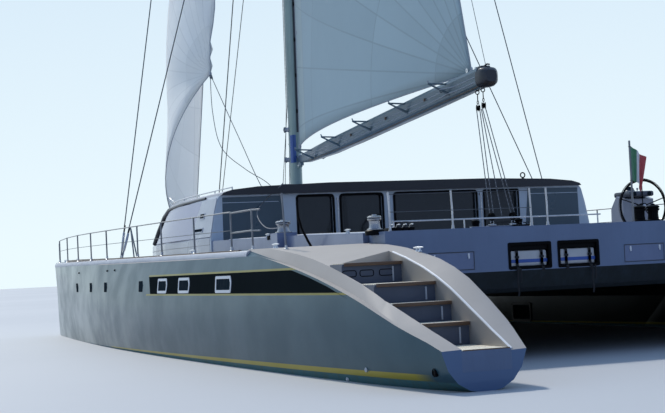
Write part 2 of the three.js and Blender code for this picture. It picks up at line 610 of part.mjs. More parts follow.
// Aft bulkhead: openings between columns, with one sheet of glass behind them and a door that slides inside.
const DOOR_Y = [-2.44 * M, -1.68 * M];
const BULKHEAD_OPENINGS = [[1.6, 2.34], [0.56, 1.44], [-1.5, 0.3]];
const BULKHEAD_WINDOW_Z = [2.02 * M, 2.85 * M];
const DOOR_SILL_Z = 1.16 * M;
const BULKHEAD_X = [HOUSE_AFT_X, HOUSE_AFT_X + WALL - GAP];
let bulkhead = houseBody(0)
  .intersect(acrossHouse(...BULKHEAD_X, M, ROOF_SPLIT_Z - GAP))
  .subtract(deckCutter)
  .add(block(...BULKHEAD_X, -TRAY_Y + GAP, TRAY_Y - GAP, SOLE_Z + GAP, 1.95 * M))
  .subtract(block(-M, M, ...DOOR_Y, DOOR_SILL_Z, BULKHEAD_WINDOW_Z[1] - 10));
for (const [y0, y1] of BULKHEAD_OPENINGS) {
  bulkhead = bulkhead.subtract(block(-M, M, y0 * M, y1 * M, ...BULKHEAD_WINDOW_Z));
}
place("aft_bulkhead", bulkhead, "bluegrey", 0.4, 0.1);
const PANE_X = HOUSE_AFT_X + WALL;
const paneZ = [BULKHEAD_WINDOW_Z[0] - REBATE, BULKHEAD_WINDOW_Z[1] + REBATE];
place("aft_window", block(PANE_X, PANE_X + GLASS, -1.54 * M, 2.4 * M, ...paneZ), "glass", 0.08, 0);

// The door: a frame with a pane of its own, on two runners that stand on the sole.
const DOOR_X = PANE_X + GLASS + CLEAR;
const DOOR_DEPTH = 36;
const DOOR_LAP = 60;                  // of the door behind each side of its opening
const STILE = 130;
const RUNNER = 60;
const doorY = [DOOR_Y[0] - DOOR_LAP, DOOR_Y[1] + DOOR_LAP];
const doorRunner = (y) => block(DOOR_X + 8, DOOR_X + 28, y, y + RUNNER, SOLE_Z + 2 * GAP, SOLE_Z + 20);
const DOOR_TOP_Z = 2.87 * M;
const door = block(DOOR_X, DOOR_X + DOOR_DEPTH, ...doorY, SOLE_Z + CLEAR, DOOR_TOP_Z)
  .add(doorRunner(doorY[0] + 20))
  .add(doorRunner(doorY[1] - RUNNER - 20))
  .subtract(block(DOOR_X - 10, DOOR_X + 50, doorY[0] + STILE, doorY[1] - STILE, 1.3 * M, DOOR_TOP_Z - 90))
  .add(block(DOOR_X + 12, DOOR_X + 24, doorY[0] + STILE - 10, doorY[1] - STILE + 10, 1.29 * M, DOOR_TOP_Z - 80));
place("saloon_door", door, "glass", 0.1, 0.1);

// Roof: edge beam and crowned top, a little proud of the bulkhead.
const ROOF_OVERHANG = 110;
const roof = houseBody(0, HOUSE_AFT_X - ROOF_OVERHANG)
  .subtract(houseBody(WALL, HOUSE_AFT_X))
  .intersect(acrossHouse(-2 * M, 9 * M, ROOF_SPLIT_Z, 4 * M));
place("roof", roof, "bluegrey", 0.4, 0.2);

// Saloon furniture seen through the glass.
const SETTEE_Z = [SOLE_Z + GAP, 1.55 * M];
const settee = block(1.2 * M, 4.6 * M, 2.75 * M, 3.35 * M, ...SETTEE_Z)
  .add(block(4.0 * M, 4.6 * M, 0.9 * M, 3.0 * M, ...SETTEE_Z));
place("saloon_settee", settee, "fabric", 0.9, 0);
const TABLE_Z = [1.8 * M, 1.84 * M];
const table = block(1.6 * M, 3.6 * M, 1.3 * M, 2.3 * M, ...TABLE_Z)
  .add(block(2.4 * M, 2.8 * M, 1.65 * M, 1.95 * M, SOLE_Z + GAP, TABLE_Z[0] + 10));
place("saloon_table", table, "teak", 0.4, 0);

// Front crossbeam, bowsprit and trampolines.
const BEAM_RADIUS = 170;
const BEAM_Z = 1.62 * M;
const offHull = (solid) => solid.subtract(hull.translate([0, -GAP, 0]));
const BEAM_TENON = HULL_Y - 40;       // the beam's ends stop short of each keel line
const halfBeam = offHull(barY(0, HULL_Y, CROSSBEAM_X, BEAM_Z, BEAM_RADIUS, 20))
  .subtract(block(CROSSBEAM_X - M, CROSSBEAM_X + M, BEAM_TENON, HULL_Y + M, 0, 3 * M));
place("front_crossbeam", halfBeam.add(mirrored(halfBeam)), "steel", 0.35, 0.6);

const SPRIT_RADIUS = 130;
const SPRIT_TIP_RADIUS = 85;
const spritBase = point(NOSE_X, 0, SPRIT_Z - 40);
const sprit = bar(spritBase, point(SPRIT_TIP_X, 0, SPRIT_Z + 60), SPRIT_RADIUS, 20, SPRIT_TIP_RADIUS)
  .intersect(block(NOSE_X + GAP, SPRIT_TIP_X + M, -M, M, 0, 4 * M))
  .subtract(barY(-M, M, CROSSBEAM_X, BEAM_Z, BEAM_RADIUS + GAP, 20));
const TACK = point(SPRIT_TIP_X - 150, 0, SPRIT_Z + 330);
const FURLER_TOP_Z = TACK.z - 60;
const furler = bar(point(TACK.x, 0, SPRIT_Z + 20), point(TACK.x, 0, FURLER_TOP_Z), 62, 16)
  .add(bar(point(TACK.x, 0, FURLER_TOP_Z - 10), point(TACK.x, 0, TACK.z - GAP), 12, 10));
place("bowsprit", sprit.add(furler), "steel", 0.35, 0.6);

const NET_Z = 1.7 * M;
const NET_X = [NOSE_X + GAP, CROSSBEAM_X - BEAM_RADIUS - 5];
const net = offHull(block(...NET_X, SPRIT_RADIUS + 5, HULL_Y, NET_Z, NET_Z + 12));
placePair("trampoline", largest(net), "net", 0.9, 0);

// Mast with one pair of swept spreaders and the gooseneck bracket.
const MAST_BASE_Z = ROOF_Z + GAP;
const MAST_SIDES = 20;
const TAPER_FROM_Z = 24 * M;
const MAST_TAPER = 0.26;              // share of the section that is lost at the top
const mastScale = (z) => 1 - MAST_TAPER * Math.max(0, z - TAPER_FROM_Z) / (MAST_TOP_Z - TAPER_FROM_Z);

function mastRing(z) {
  return Array.from({ length: MAST_SIDES }, (_, i) => {
    const angle = (i * 2 * Math.PI) / MAST_SIDES;
    const half = mastScale(z) / 2;
    return point(mastX(z) + MAST_CHORD * half * Math.cos(angle), MAST_WIDTH * half * Math.sin(angle), z);
  });
}

const onAxis = (z, aft = 0) => point(axisX(z) - aft, 0, z);
const LUG = 26;
const LUG_SPREAD = 130;
const PIN_RADIUS = 20;

function lug(z) {
  return block(axisX(z) - 45, mastX(z) - MAST_CHORD / 2 + 60, -45, 45, z - LUG / 2, z + LUG / 2);
}

const SPREADER_Z = 18.5 * M;
const SPREADER_TIP = point(mastX(SPREADER_Z) - 380, 1.05 * M, SPREADER_Z + 60);
const spreader = bar(point(mastX(SPREADER_Z), 60, SPREADER_Z), SPREADER_TIP, 48, 10, 30);
const mast = loft([MAST_BASE_Z, TAPER_FROM_Z, MAST_TOP_Z].map(mastRing))
  .add(lug(GOOSENECK_Z - LUG_SPREAD))
  .add(lug(GOOSENECK_Z + LUG_SPREAD))
  .add(bar(onAxis(GOOSENECK_Z - LUG_SPREAD), onAxis(GOOSENECK_Z + LUG_SPREAD), PIN_RADIUS, 24))
  .add(spreader)
  .add(mirrored(spreader));
place("mast", mast, "steel", 0.4, 0.5);

// Boom: a wide V section on the centreline, rising aft, with five pairs of short arms.
const boomTop = (x) => lerp(4.16 * M, 4.82 * M, (5.0 * M - x) / (5.0 * M - BOOM_END_X));
const BOOM_FRONT_X = axisX(GOOSENECK_Z) - 90;
// Columns: x, half-width at the top, depth.
const BOOM_TABLE = [
  [BOOM_FRONT_X, 60, 150],
  [5.1 * M, 130, 230],
  [3.4 * M, 210, 300],
  [-2.2 * M, 210, 330],
  [BOOM_END_X, 170, 330],
];
// Half of the section. Columns: share of the half-width, share of the depth.
const BOOM_SECTION = [[0.9, 0], [1, 0.16], [0.62, 0.8], [0.3, 1]];
const ARM_X = [4.55, 2.85, 1.0, -0.9, -2.75];
const ARM_REACH = 540;
const ARM_DROP = 20;                  // of each arm's tip below the boom's top
const STRUT_DROP = 230;               // of the strut's root

function boom() {
  const rings = BOOM_TABLE.map(([x, half, depth]) => {
    const side = BOOM_SECTION.map(([y, drop]) => [y * half, boomTop(x) - drop * depth]);
    const other = side.map(([y, z]) => [-y, z]).reverse();
    return [...side, ...other].map(([y, z]) => point(x, y, z));
  });
  let solid = loft(rings);
  for (const station of ARM_X) {
    const x = station * M;
    for (const side of [1, -1]) {
      const tip = point(x + 40, side * ARM_REACH, boomTop(x) - ARM_DROP);
      solid = solid
        .add(bar(point(x, side * 110, boomTop(x) - STRUT_DROP), tip, 26, 8, 15))
        .add(bar(point(x, side * 110, boomTop(x) - 2 * ARM_DROP), tip, 18, 8, 15));
    }
  }
  const reach = LUG_SPREAD - LUG / 2 - CLEAR;
  const eyeX = [BOOM_FRONT_X - 60, axisX(GOOSENECK_Z) + 42];
  return solid
    .add(block(...eyeX, -42, 42, GOOSENECK_Z - reach, GOOSENECK_Z + reach))
    .subtract(bar(onAxis(GOOSENECK_Z - M), onAxis(GOOSENECK_Z + M), PIN_RADIUS + BORE_GAP, 24));
}
place("boom", boom(), "silver", 0.4, 0.3);

// Mainsail: loose foot that hangs between tack and clew, draft to port.
const SAIL_THICKNESS = 14;
const HEAD_Z = 30.8 * M;
const CLEW_X = -3.45 * M;
const SAIL_ROWS = 14;
const SAIL_COLUMNS = 8;
const LUFF_AFT = 40;
const TACK_Z = boomTop(axisX(GOOSENECK_Z) - 400) + 220;
const HEADBOARD = 160;
const ROACH = 900;                    // of the leech beyond a straight line
const MAIN_DRAFT = 0.22;              // share of the chord
const MAIN_TWIST = 0.02;

function mainsailPoint(u, v, side) {
  const luff = onAxis(lerp(TACK_Z, HEAD_Z, v), LUFF_AFT);
  const head = onAxis(HEAD_Z, LUFF_AFT + HEADBOARD);
  const leech = point(CLEW_X, 0, boomTop(CLEW_X) + 2 * GAP).lerp(head, v);
  leech.x -= ROACH * Math.sin(Math.PI * v) * (1 - 0.25 * v);
  const chord = luff.distanceTo(leech);
  const draft = MAIN_DRAFT * u * (1 - u) * (1.25 - 0.5 * u);
  const twist = MAIN_TWIST * u * Math.sin(Math.PI * v);
  const p = luff.clone().lerp(leech, u);
  p.y += chord * (draft + twist) + (side * SAIL_THICKNESS) / 2;
  return p;
}

function sheetSolid(surface, columns, rows) {
  const rings = [];
  for (let r = 0; r <= rows; r++) {
    const ring = [];
    for (let c = 0; c <= columns; c++) ring.push(surface(c / columns, r / rows, 1));
    for (let c = columns; c >= 0; c--) ring.push(surface(c / columns, r / rows, -1));
    rings.push(ring);
  }
  return loft(rings);
}
place("mainsail", sheetSolid(mainsailPoint, SAIL_COLUMNS, SAIL_ROWS), "sail", 0.8, 0);

// Headsail: luff from the bowsprit towards the masthead, full and to port, with a raised clew.
const HEAD = point(mastX(MAST_TOP_Z) + 360, 0, MAST_TOP_Z - 1300);
const CLEW = point(6.7 * M, 1.84 * M, 6.2 * M);
// Fullness as a share of the chord: at the luff, and its change towards the leech.
const FOOT_FULLNESS = [0.2, 0.4];
const BODY_FULLNESS = [0.672, -0.224];
const FULL_FROM = 0.17;               // share of the luff above which the body's fullness holds
const LEECH_HEAD = HEAD.clone().add(point(-90, 40, -260));
const FOOT_ROUND = 500;

function headsailPoint(u, v, side) {
  const luff = TACK.clone().lerp(HEAD, v);
  const leech = CLEW.clone().lerp(LEECH_HEAD, v);
  const chord = luff.distanceTo(leech);
  const [start, change] = [0, 1].map((i) => lerp(FOOT_FULLNESS[i], BODY_FULLNESS[i], Math.min(1, v / FULL_FROM)));
  const p = luff.clone().lerp(leech, u);
  p.y += (start + change * u) * chord * u * (1 - u) + (side * SAIL_THICKNESS) / 2;
  p.z -= FOOT_ROUND * Math.sin(Math.PI * u) * (1 - v) ** 8;
  return p;
}
place("headsail", sheetSolid(headsailPoint, SAIL_COLUMNS, SAIL_ROWS), "sail", 0.8, 0);

// Standing rigging.
const CHAINPLATE_X = 2.75 * M;
const CHAINPLATE_Y = 5.11 * M;
const CHAINPLATE_LENGTH = 100;
const WIRE_RADIUS = 12;
const CAP_Z = 28.9 * M;
const LOWER_Z = 16.5 * M;
const FORESTAY_Z = 20.5 * M;
const INNER_STAY_Z = 15.6 * M;

// A lower shroud and a cap shroud that share a foot on the deck.
function shrouds() {
  const reach = WIRE_RADIUS * Math.cos(Math.PI / 8) + GAP;
  const foot = (x) => point(x, CHAINPLATE_Y, deckHeight(x) + reach + GAP);
  const head = (z) => point(mastX(z), (MAST_WIDTH * mastScale(z)) / 2 + reach, z);
  const feet = [foot(CHAINPLATE_X - CHAINPLATE_LENGTH), foot(CHAINPLATE_X)];
  return rail([head(LOWER_Z), ...feet, head(CAP_Z)], WIRE_RADIUS);
}
placePair("shrouds", shrouds(), "dark", 0.5, 0.4);

// A forestay and an inner stay that share a plate on the bowsprit.
const STAY_FOOT = point(13.3 * M, 0, SPRIT_Z + 20);
const innerFoot = STAY_FOOT.clone().setX(STAY_FOOT.x - 60);
const forestays = joined([
  bar(STAY_FOOT, point(mastX(FORESTAY_Z), 0, FORESTAY_Z), 14, 8),
  bar(innerFoot, point(mastX(INNER_STAY_Z), 0, INNER_STAY_Z), 10, 8),
  block(STAY_FOOT.x - 110, STAY_FOOT.x + 40, -14, 14, SPRIT_Z, SPRIT_Z + 240),
])
  .subtract(sprit.translate([0, 0, GAP]))
  .subtract(mast.translate([0, GAP, 0]))
  .subtract(mast.translate([0, -GAP, 0]))
  .subtract(mast.translate([GAP, 0, 0]));
place("forestays", largest(forestays), "dark", 0.5, 0.4);

// Guard rails: posts, a top wire and the pulpit in one frame along each deck edge.
// Columns: x, y, height of the rail above the deck.
const POSTS = [
  [12.1, 4.6, 500], [11.3, 4.74, 560], [9.3, 4.93, 590], [7.4, 5.05, 600], [5.55, 5.13, 600],
  [3.85, 5.15, 600], [1.05, 5.16, 600], [-0.8, 5.16, 600], [-3.0, 5.16, 600], [-5.05, 5.14, 600],
];
const POST_RADIUS = 16;

function guardRail() {
  const tops = POSTS.map(([x, y, height]) => point(x * M, y * M, deckHeight(x * M) + height));
  let solid = rail(tops, 11, 6);
  for (const [i, [x, y]] of POSTS.entries()) {
    solid = solid.add(bar(point(x * M, y * M, deckHeight(x * M) + 2 * GAP), tops[i], POST_RADIUS, 6));
  }
  return solid;
}
placePair("guard_rail", guardRail(), "steel", 0.25, 0.9);

// Flagstaff and flag on the aft beam.
const STAFF = point(AFT_FACE_X + 60, -0.02 * M, COAMING_Z);
const STAFF_RADIUS = 15;
const STAFF_TOP_Z = 3.1 * M;
const staff = bar(STAFF.clone().setZ(STAFF.z + GAP), STAFF.clone().setZ(STAFF_TOP_Z), STAFF_RADIUS, 12);
place("flagstaff", staff, "steel", 0.4, 0.6);

const FLAG_REACH = 270;
const FLAG_Z = [2.42 * M, 3.02 * M];
const FLAG_SAG = 150;
const FLAG_FOLD = 30;

// A limp flag: it droops away from the staff in soft folds.
function flagPoint(u, v, side) {
  const x = STAFF.x - 60 * u + FLAG_FOLD * Math.sin(u * 7) + side * 3;
  return point(x, STAFF.y - STAFF_RADIUS - GAP - FLAG_REACH * u, lerp(...FLAG_Z, v) - FLAG_SAG * u * u);
}
place("flag", sheetSolid(flagPoint, 6, 4), "red", 0.9, 0);

export default boat;
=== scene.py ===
"""Sailing catamaran: finishes for the frame's solids, the pieces that ride on them, and a pale studio.

Metres throughout. +X is forward, +Y is port, +Z is up, and the waterline is z = 0.
"""

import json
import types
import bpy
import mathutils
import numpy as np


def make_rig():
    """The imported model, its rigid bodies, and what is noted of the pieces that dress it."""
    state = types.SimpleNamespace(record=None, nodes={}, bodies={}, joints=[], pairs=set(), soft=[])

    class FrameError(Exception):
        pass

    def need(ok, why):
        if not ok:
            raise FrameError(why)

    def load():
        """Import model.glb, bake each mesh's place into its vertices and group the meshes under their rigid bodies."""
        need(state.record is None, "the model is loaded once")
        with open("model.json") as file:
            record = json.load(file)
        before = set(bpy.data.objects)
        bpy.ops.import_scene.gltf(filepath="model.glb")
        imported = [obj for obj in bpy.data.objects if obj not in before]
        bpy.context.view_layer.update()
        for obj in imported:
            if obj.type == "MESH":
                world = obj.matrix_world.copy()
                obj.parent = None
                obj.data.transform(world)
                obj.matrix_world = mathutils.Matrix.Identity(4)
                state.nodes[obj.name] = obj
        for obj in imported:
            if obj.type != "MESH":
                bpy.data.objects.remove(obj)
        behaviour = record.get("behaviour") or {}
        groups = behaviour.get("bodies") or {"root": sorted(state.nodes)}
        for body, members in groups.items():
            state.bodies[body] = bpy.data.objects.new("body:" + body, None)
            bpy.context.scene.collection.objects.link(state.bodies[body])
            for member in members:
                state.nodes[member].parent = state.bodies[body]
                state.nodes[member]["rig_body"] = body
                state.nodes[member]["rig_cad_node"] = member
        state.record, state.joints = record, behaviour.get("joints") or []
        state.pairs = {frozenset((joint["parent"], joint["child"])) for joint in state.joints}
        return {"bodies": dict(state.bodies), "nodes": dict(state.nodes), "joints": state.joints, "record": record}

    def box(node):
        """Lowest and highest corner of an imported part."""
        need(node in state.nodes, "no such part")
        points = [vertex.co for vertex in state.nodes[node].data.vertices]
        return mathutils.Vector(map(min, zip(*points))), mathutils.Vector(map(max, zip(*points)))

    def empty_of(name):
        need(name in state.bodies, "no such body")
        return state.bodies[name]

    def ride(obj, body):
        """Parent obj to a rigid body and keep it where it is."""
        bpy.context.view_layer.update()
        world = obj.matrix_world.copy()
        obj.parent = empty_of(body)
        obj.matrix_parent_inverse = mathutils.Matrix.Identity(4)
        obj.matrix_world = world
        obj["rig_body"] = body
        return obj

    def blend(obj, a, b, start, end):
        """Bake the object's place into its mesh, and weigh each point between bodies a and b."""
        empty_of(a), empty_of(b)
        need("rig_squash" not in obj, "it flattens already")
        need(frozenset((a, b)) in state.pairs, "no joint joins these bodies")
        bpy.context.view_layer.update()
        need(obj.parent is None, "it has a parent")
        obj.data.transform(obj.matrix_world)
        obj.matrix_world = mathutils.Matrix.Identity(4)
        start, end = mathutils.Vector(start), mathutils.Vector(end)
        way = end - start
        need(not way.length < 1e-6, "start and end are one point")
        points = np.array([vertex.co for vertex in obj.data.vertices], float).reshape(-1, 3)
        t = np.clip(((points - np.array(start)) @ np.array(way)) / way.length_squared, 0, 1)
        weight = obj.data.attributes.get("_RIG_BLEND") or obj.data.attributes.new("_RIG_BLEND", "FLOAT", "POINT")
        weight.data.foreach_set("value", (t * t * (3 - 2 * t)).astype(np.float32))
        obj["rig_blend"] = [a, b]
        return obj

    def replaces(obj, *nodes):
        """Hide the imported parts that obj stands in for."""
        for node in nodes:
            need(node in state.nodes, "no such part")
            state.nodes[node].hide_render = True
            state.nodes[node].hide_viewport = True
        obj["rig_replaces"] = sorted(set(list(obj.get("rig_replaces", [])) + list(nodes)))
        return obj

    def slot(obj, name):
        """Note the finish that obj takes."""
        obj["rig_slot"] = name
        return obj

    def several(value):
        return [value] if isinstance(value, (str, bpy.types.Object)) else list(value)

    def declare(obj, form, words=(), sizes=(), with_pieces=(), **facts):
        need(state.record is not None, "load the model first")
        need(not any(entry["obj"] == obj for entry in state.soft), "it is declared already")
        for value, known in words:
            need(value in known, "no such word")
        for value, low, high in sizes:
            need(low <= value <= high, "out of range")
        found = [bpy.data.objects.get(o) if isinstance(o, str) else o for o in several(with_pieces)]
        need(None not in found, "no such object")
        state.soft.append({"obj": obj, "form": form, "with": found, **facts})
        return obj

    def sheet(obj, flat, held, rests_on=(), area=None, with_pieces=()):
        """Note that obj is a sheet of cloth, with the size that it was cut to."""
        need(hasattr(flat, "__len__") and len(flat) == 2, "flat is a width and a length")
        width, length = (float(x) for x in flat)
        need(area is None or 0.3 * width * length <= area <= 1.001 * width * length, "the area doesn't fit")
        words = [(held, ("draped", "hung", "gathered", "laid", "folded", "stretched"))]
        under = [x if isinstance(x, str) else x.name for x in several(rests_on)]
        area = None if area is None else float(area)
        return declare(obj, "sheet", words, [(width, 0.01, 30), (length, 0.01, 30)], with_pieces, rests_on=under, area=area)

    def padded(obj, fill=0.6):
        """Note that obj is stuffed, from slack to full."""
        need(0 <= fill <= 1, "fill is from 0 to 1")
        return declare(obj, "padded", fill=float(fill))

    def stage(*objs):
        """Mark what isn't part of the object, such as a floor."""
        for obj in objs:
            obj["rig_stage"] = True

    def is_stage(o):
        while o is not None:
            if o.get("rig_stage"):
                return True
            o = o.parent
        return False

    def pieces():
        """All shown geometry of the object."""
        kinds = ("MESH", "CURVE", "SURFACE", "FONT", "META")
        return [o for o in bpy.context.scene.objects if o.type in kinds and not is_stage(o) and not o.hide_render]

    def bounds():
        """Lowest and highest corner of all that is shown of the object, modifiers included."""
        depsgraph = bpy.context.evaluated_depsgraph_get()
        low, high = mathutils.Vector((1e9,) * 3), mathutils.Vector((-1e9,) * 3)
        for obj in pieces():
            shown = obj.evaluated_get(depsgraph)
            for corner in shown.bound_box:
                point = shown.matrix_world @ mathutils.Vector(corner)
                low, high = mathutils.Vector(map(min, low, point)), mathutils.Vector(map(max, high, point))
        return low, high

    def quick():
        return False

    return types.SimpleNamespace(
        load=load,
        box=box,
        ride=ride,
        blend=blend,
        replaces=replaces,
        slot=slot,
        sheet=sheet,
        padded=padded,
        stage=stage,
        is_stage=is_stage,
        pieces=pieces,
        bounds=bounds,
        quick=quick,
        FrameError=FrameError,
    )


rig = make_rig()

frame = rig.load()

import json
import logging
import math
from dataclasses import dataclass
from enum import Enum
from functools import cache
from typing import Callable, Iterable, Sequence

import bmesh
import bpy
from mathutils import Matrix, Vector
from mathutils.bvhtree import BVHTree

LOG = logging.getLogger("catamaran")
Colour = tuple[float, float, float]
Pair = tuple[float, float]
Point = tuple[float, float, float]
Surface = Callable[[float, float], Vector]
Socket = bpy.types.NodeSocket
Node = bpy.types.Node
SIDES = {"port": 1.0, "starboard": -1.0}

# Places shared by several sub-assemblies, as the frame has them.
HULL_Y = 4.6
DECK_Z = 1.82
SHEER = 0.0085
AFT_FACE_X = -8.47
HOUSE_AFT_X = -0.38
ROOF_Z = 3.09
MAST_FOOT_X = 6.12
MAST_RAKE = 0.035
MAST_TOP_Z = 31.6
MAST_CHORD = 0.42
GOOSENECK_Z = 4.0
BOOM_END_X = -3.95
CREASE = math.radians(38)

# Where rays start that are thrown down or inboard.
ABOVE = 6.0
ABEAM = 9.0

# A winch drum's outline and one of its ribs, as shares of its radius and height.
DRUM = ((1.08, 0), (1.1, 0.03), (1.08, 0.08), (0.84, 0.12), (0.76, 0.25), (0.72, 0.42), (0.78, 0.58),
        (0.98, 0.66), (1.0, 0.7), (0.98, 0.72), (0.78, 0.75), (0.98, 0.78), (1.0, 0.8), (0.98, 0.86),
        (0.7, 0.92), (0.34, 0.93), (0.32, 1.0), (0.16, 1.0), (0.15, 0.95), (0.0, 0.95))
RIB = ((0.8, 0.14), (0.745, 0.3), (0.72, 0.42), (0.77, 0.56))
RIB_COUNT = 18


def deck_height(x: float) -> float:
    """Height of the deck at x."""
    return DECK_Z + SHEER * x


def mast_x(z: float) -> float:
    """Centre of the raked mast at height z."""
    return MAST_FOOT_X - MAST_RAKE * (z - ROOF_Z)


def mast_scale(z: float) -> float:
    """Share of the mast's section that is left at height z."""
    return 1 - 0.26 * max(0.0, z - 24) / (MAST_TOP_Z - 24)


def axis_x(z: float) -> float:
    """Place of the boom's hinge axis at height z."""
    return mast_x(z) - MAST_CHORD / 2 - 0.09


def boom_top(x: float) -> float:
    """Height of the boom's top at x."""
    return lerp(4.16, 4.82, (5.0 - x) / (5.0 - BOOM_END_X))


def lerp(a: float, b: float, t: float) -> float:
    """The value a share t of the way from a to b."""
    return a + (b - a) * t


def rounded(corners: Sequence[Sequence[float]], radius: float, steps: int = 4) -> list[Vector]:
    """Rounds the corners of an outline.

    Args:
        corners: the outline's corners, in order.
        radius: how far from each corner its curve starts.
        steps: points along each curve.

    Returns:
        The rounded outline.
    """
    line = [Vector(c) for c in corners]
    made = []
    for i, p in enumerate(line):
        back, ahead = line[i - 1] - p, line[(i + 1) % len(line)] - p
        start = p + back.normalized() * min(radius, back.length * 0.45)
        end = p + ahead.normalized() * min(radius, ahead.length * 0.45)
        for k in range(steps + 1):
            t = k / steps
            made.append(start.lerp(p, t).lerp(p.lerp(end, t), t))
    return made


def inset(corners: Sequence[Sequence[float]], margin: float) -> list[Vector]:
    """Moves each side of a flat outline inward by a margin.

    Args:
        corners: the outline's corners, in order.
        margin: how far each side moves.

    Returns:
        The smaller outline.
    """
    line = [Vector(c) for c in corners]
    normal = Vector((0, 0, 0))
    for a, b in zip(line, line[1:] + line[:1]):
        normal += (a - line[0]).cross(b - line[0])
    normal.normalize()
    made = []
    for i, p in enumerate(line):
        one = normal.cross((p - line[i - 1]).normalized())
        two = normal.cross((line[(i + 1) % len(line)] - p).normalized())
        way = (one + two).normalized()
        made.append(p + way * (margin / max(0.3, way.dot(one))))
    return made


def rectangle(low: Pair, high: Pair) -> list[Pair]:
    """The corners of a rectangle, in order."""
    return [(low[0], low[1]), (high[0], low[1]), (high[0], high[1]), (low[0], high[1])]


def upright(x: float, low: Pair, high: Pair) -> list[Point]:
    """The corners of a rectangle square to X, from its lowest and highest y and z."""
    return [(x, y, z) for y, z in rectangle(low, high)]


def turned(points: Iterable[Sequence[float]], side: float) -> list[Vector]:
    """The points, with y multiplied by the side's sign."""
    return [Vector((p[0], p[1] * side, p[2])) for p in points]


def dimmed(colour: Colour, share: float) -> Colour:
    """The colour with each part multiplied."""
    return tuple(c * share for c in colour)


def basis(axis: Sequence[float]) -> tuple[Vector, Vector, Vector]:
    """Unit vectors along an axis and square to it.

    Args:
        axis: the axis, of any length.

    Returns:
        The three vectors, the axis first.
    """
    course = Vector(axis).normalized()
    trial = Vector((0, 0, 1)) if abs(course.z) < 0.9 else Vector((1, 0, 0))
    one = (trial - course * trial.dot(course)).normalized()
    return course, one, course.cross(one)


def circle(centre: Vector, one: Vector, two: Vector, radius: float, sides: int,
           first: float = 0.0) -> list[Vector]:
    """Points round a circle.

    Args:
        centre: its centre.
        one: unit vector towards its first point.
        two: unit vector square to that, in its plane.
        radius: its radius.
        sides: how many points.
        first: how far the first point is turned, in steps.

    Returns:
        The points.
    """
    turns = [(k + first) * 2 * math.pi / sides for k in range(sides)]
    return [centre + (one * math.cos(t) + two * math.sin(t)) * radius for t in turns]


def placed(name: str, data: bpy.types.ID) -> bpy.types.Object:
    """Adds an object to the scene.

    Args:
        name: the object's name.
        data: its mesh, lamp or camera.

    Returns:
        The new object.
    """
    obj = bpy.data.objects.new(name, data)
    bpy.context.scene.collection.objects.link(obj)
    return obj


def evaluated(obj: bpy.types.Object) -> bpy.types.Mesh:
    """The object's mesh with its modifiers run."""
    bpy.context.view_layer.update()
    return bpy.data.meshes.new_from_object(obj.evaluated_get(bpy.context.evaluated_depsgraph_get()))


def declared(obj: bpy.types.Object, body: str, slot: str | None) -> bpy.types.Object:
    """Says which body a piece rides on and which material slot it takes.

    Args:
        obj: the piece.
        body: its body, or nothing.
        slot: its slot, or None.

    Returns:
        The piece itself.
    """
    if body:
        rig.ride(obj, body)
    if slot:
        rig.slot(obj, slot)
    return obj


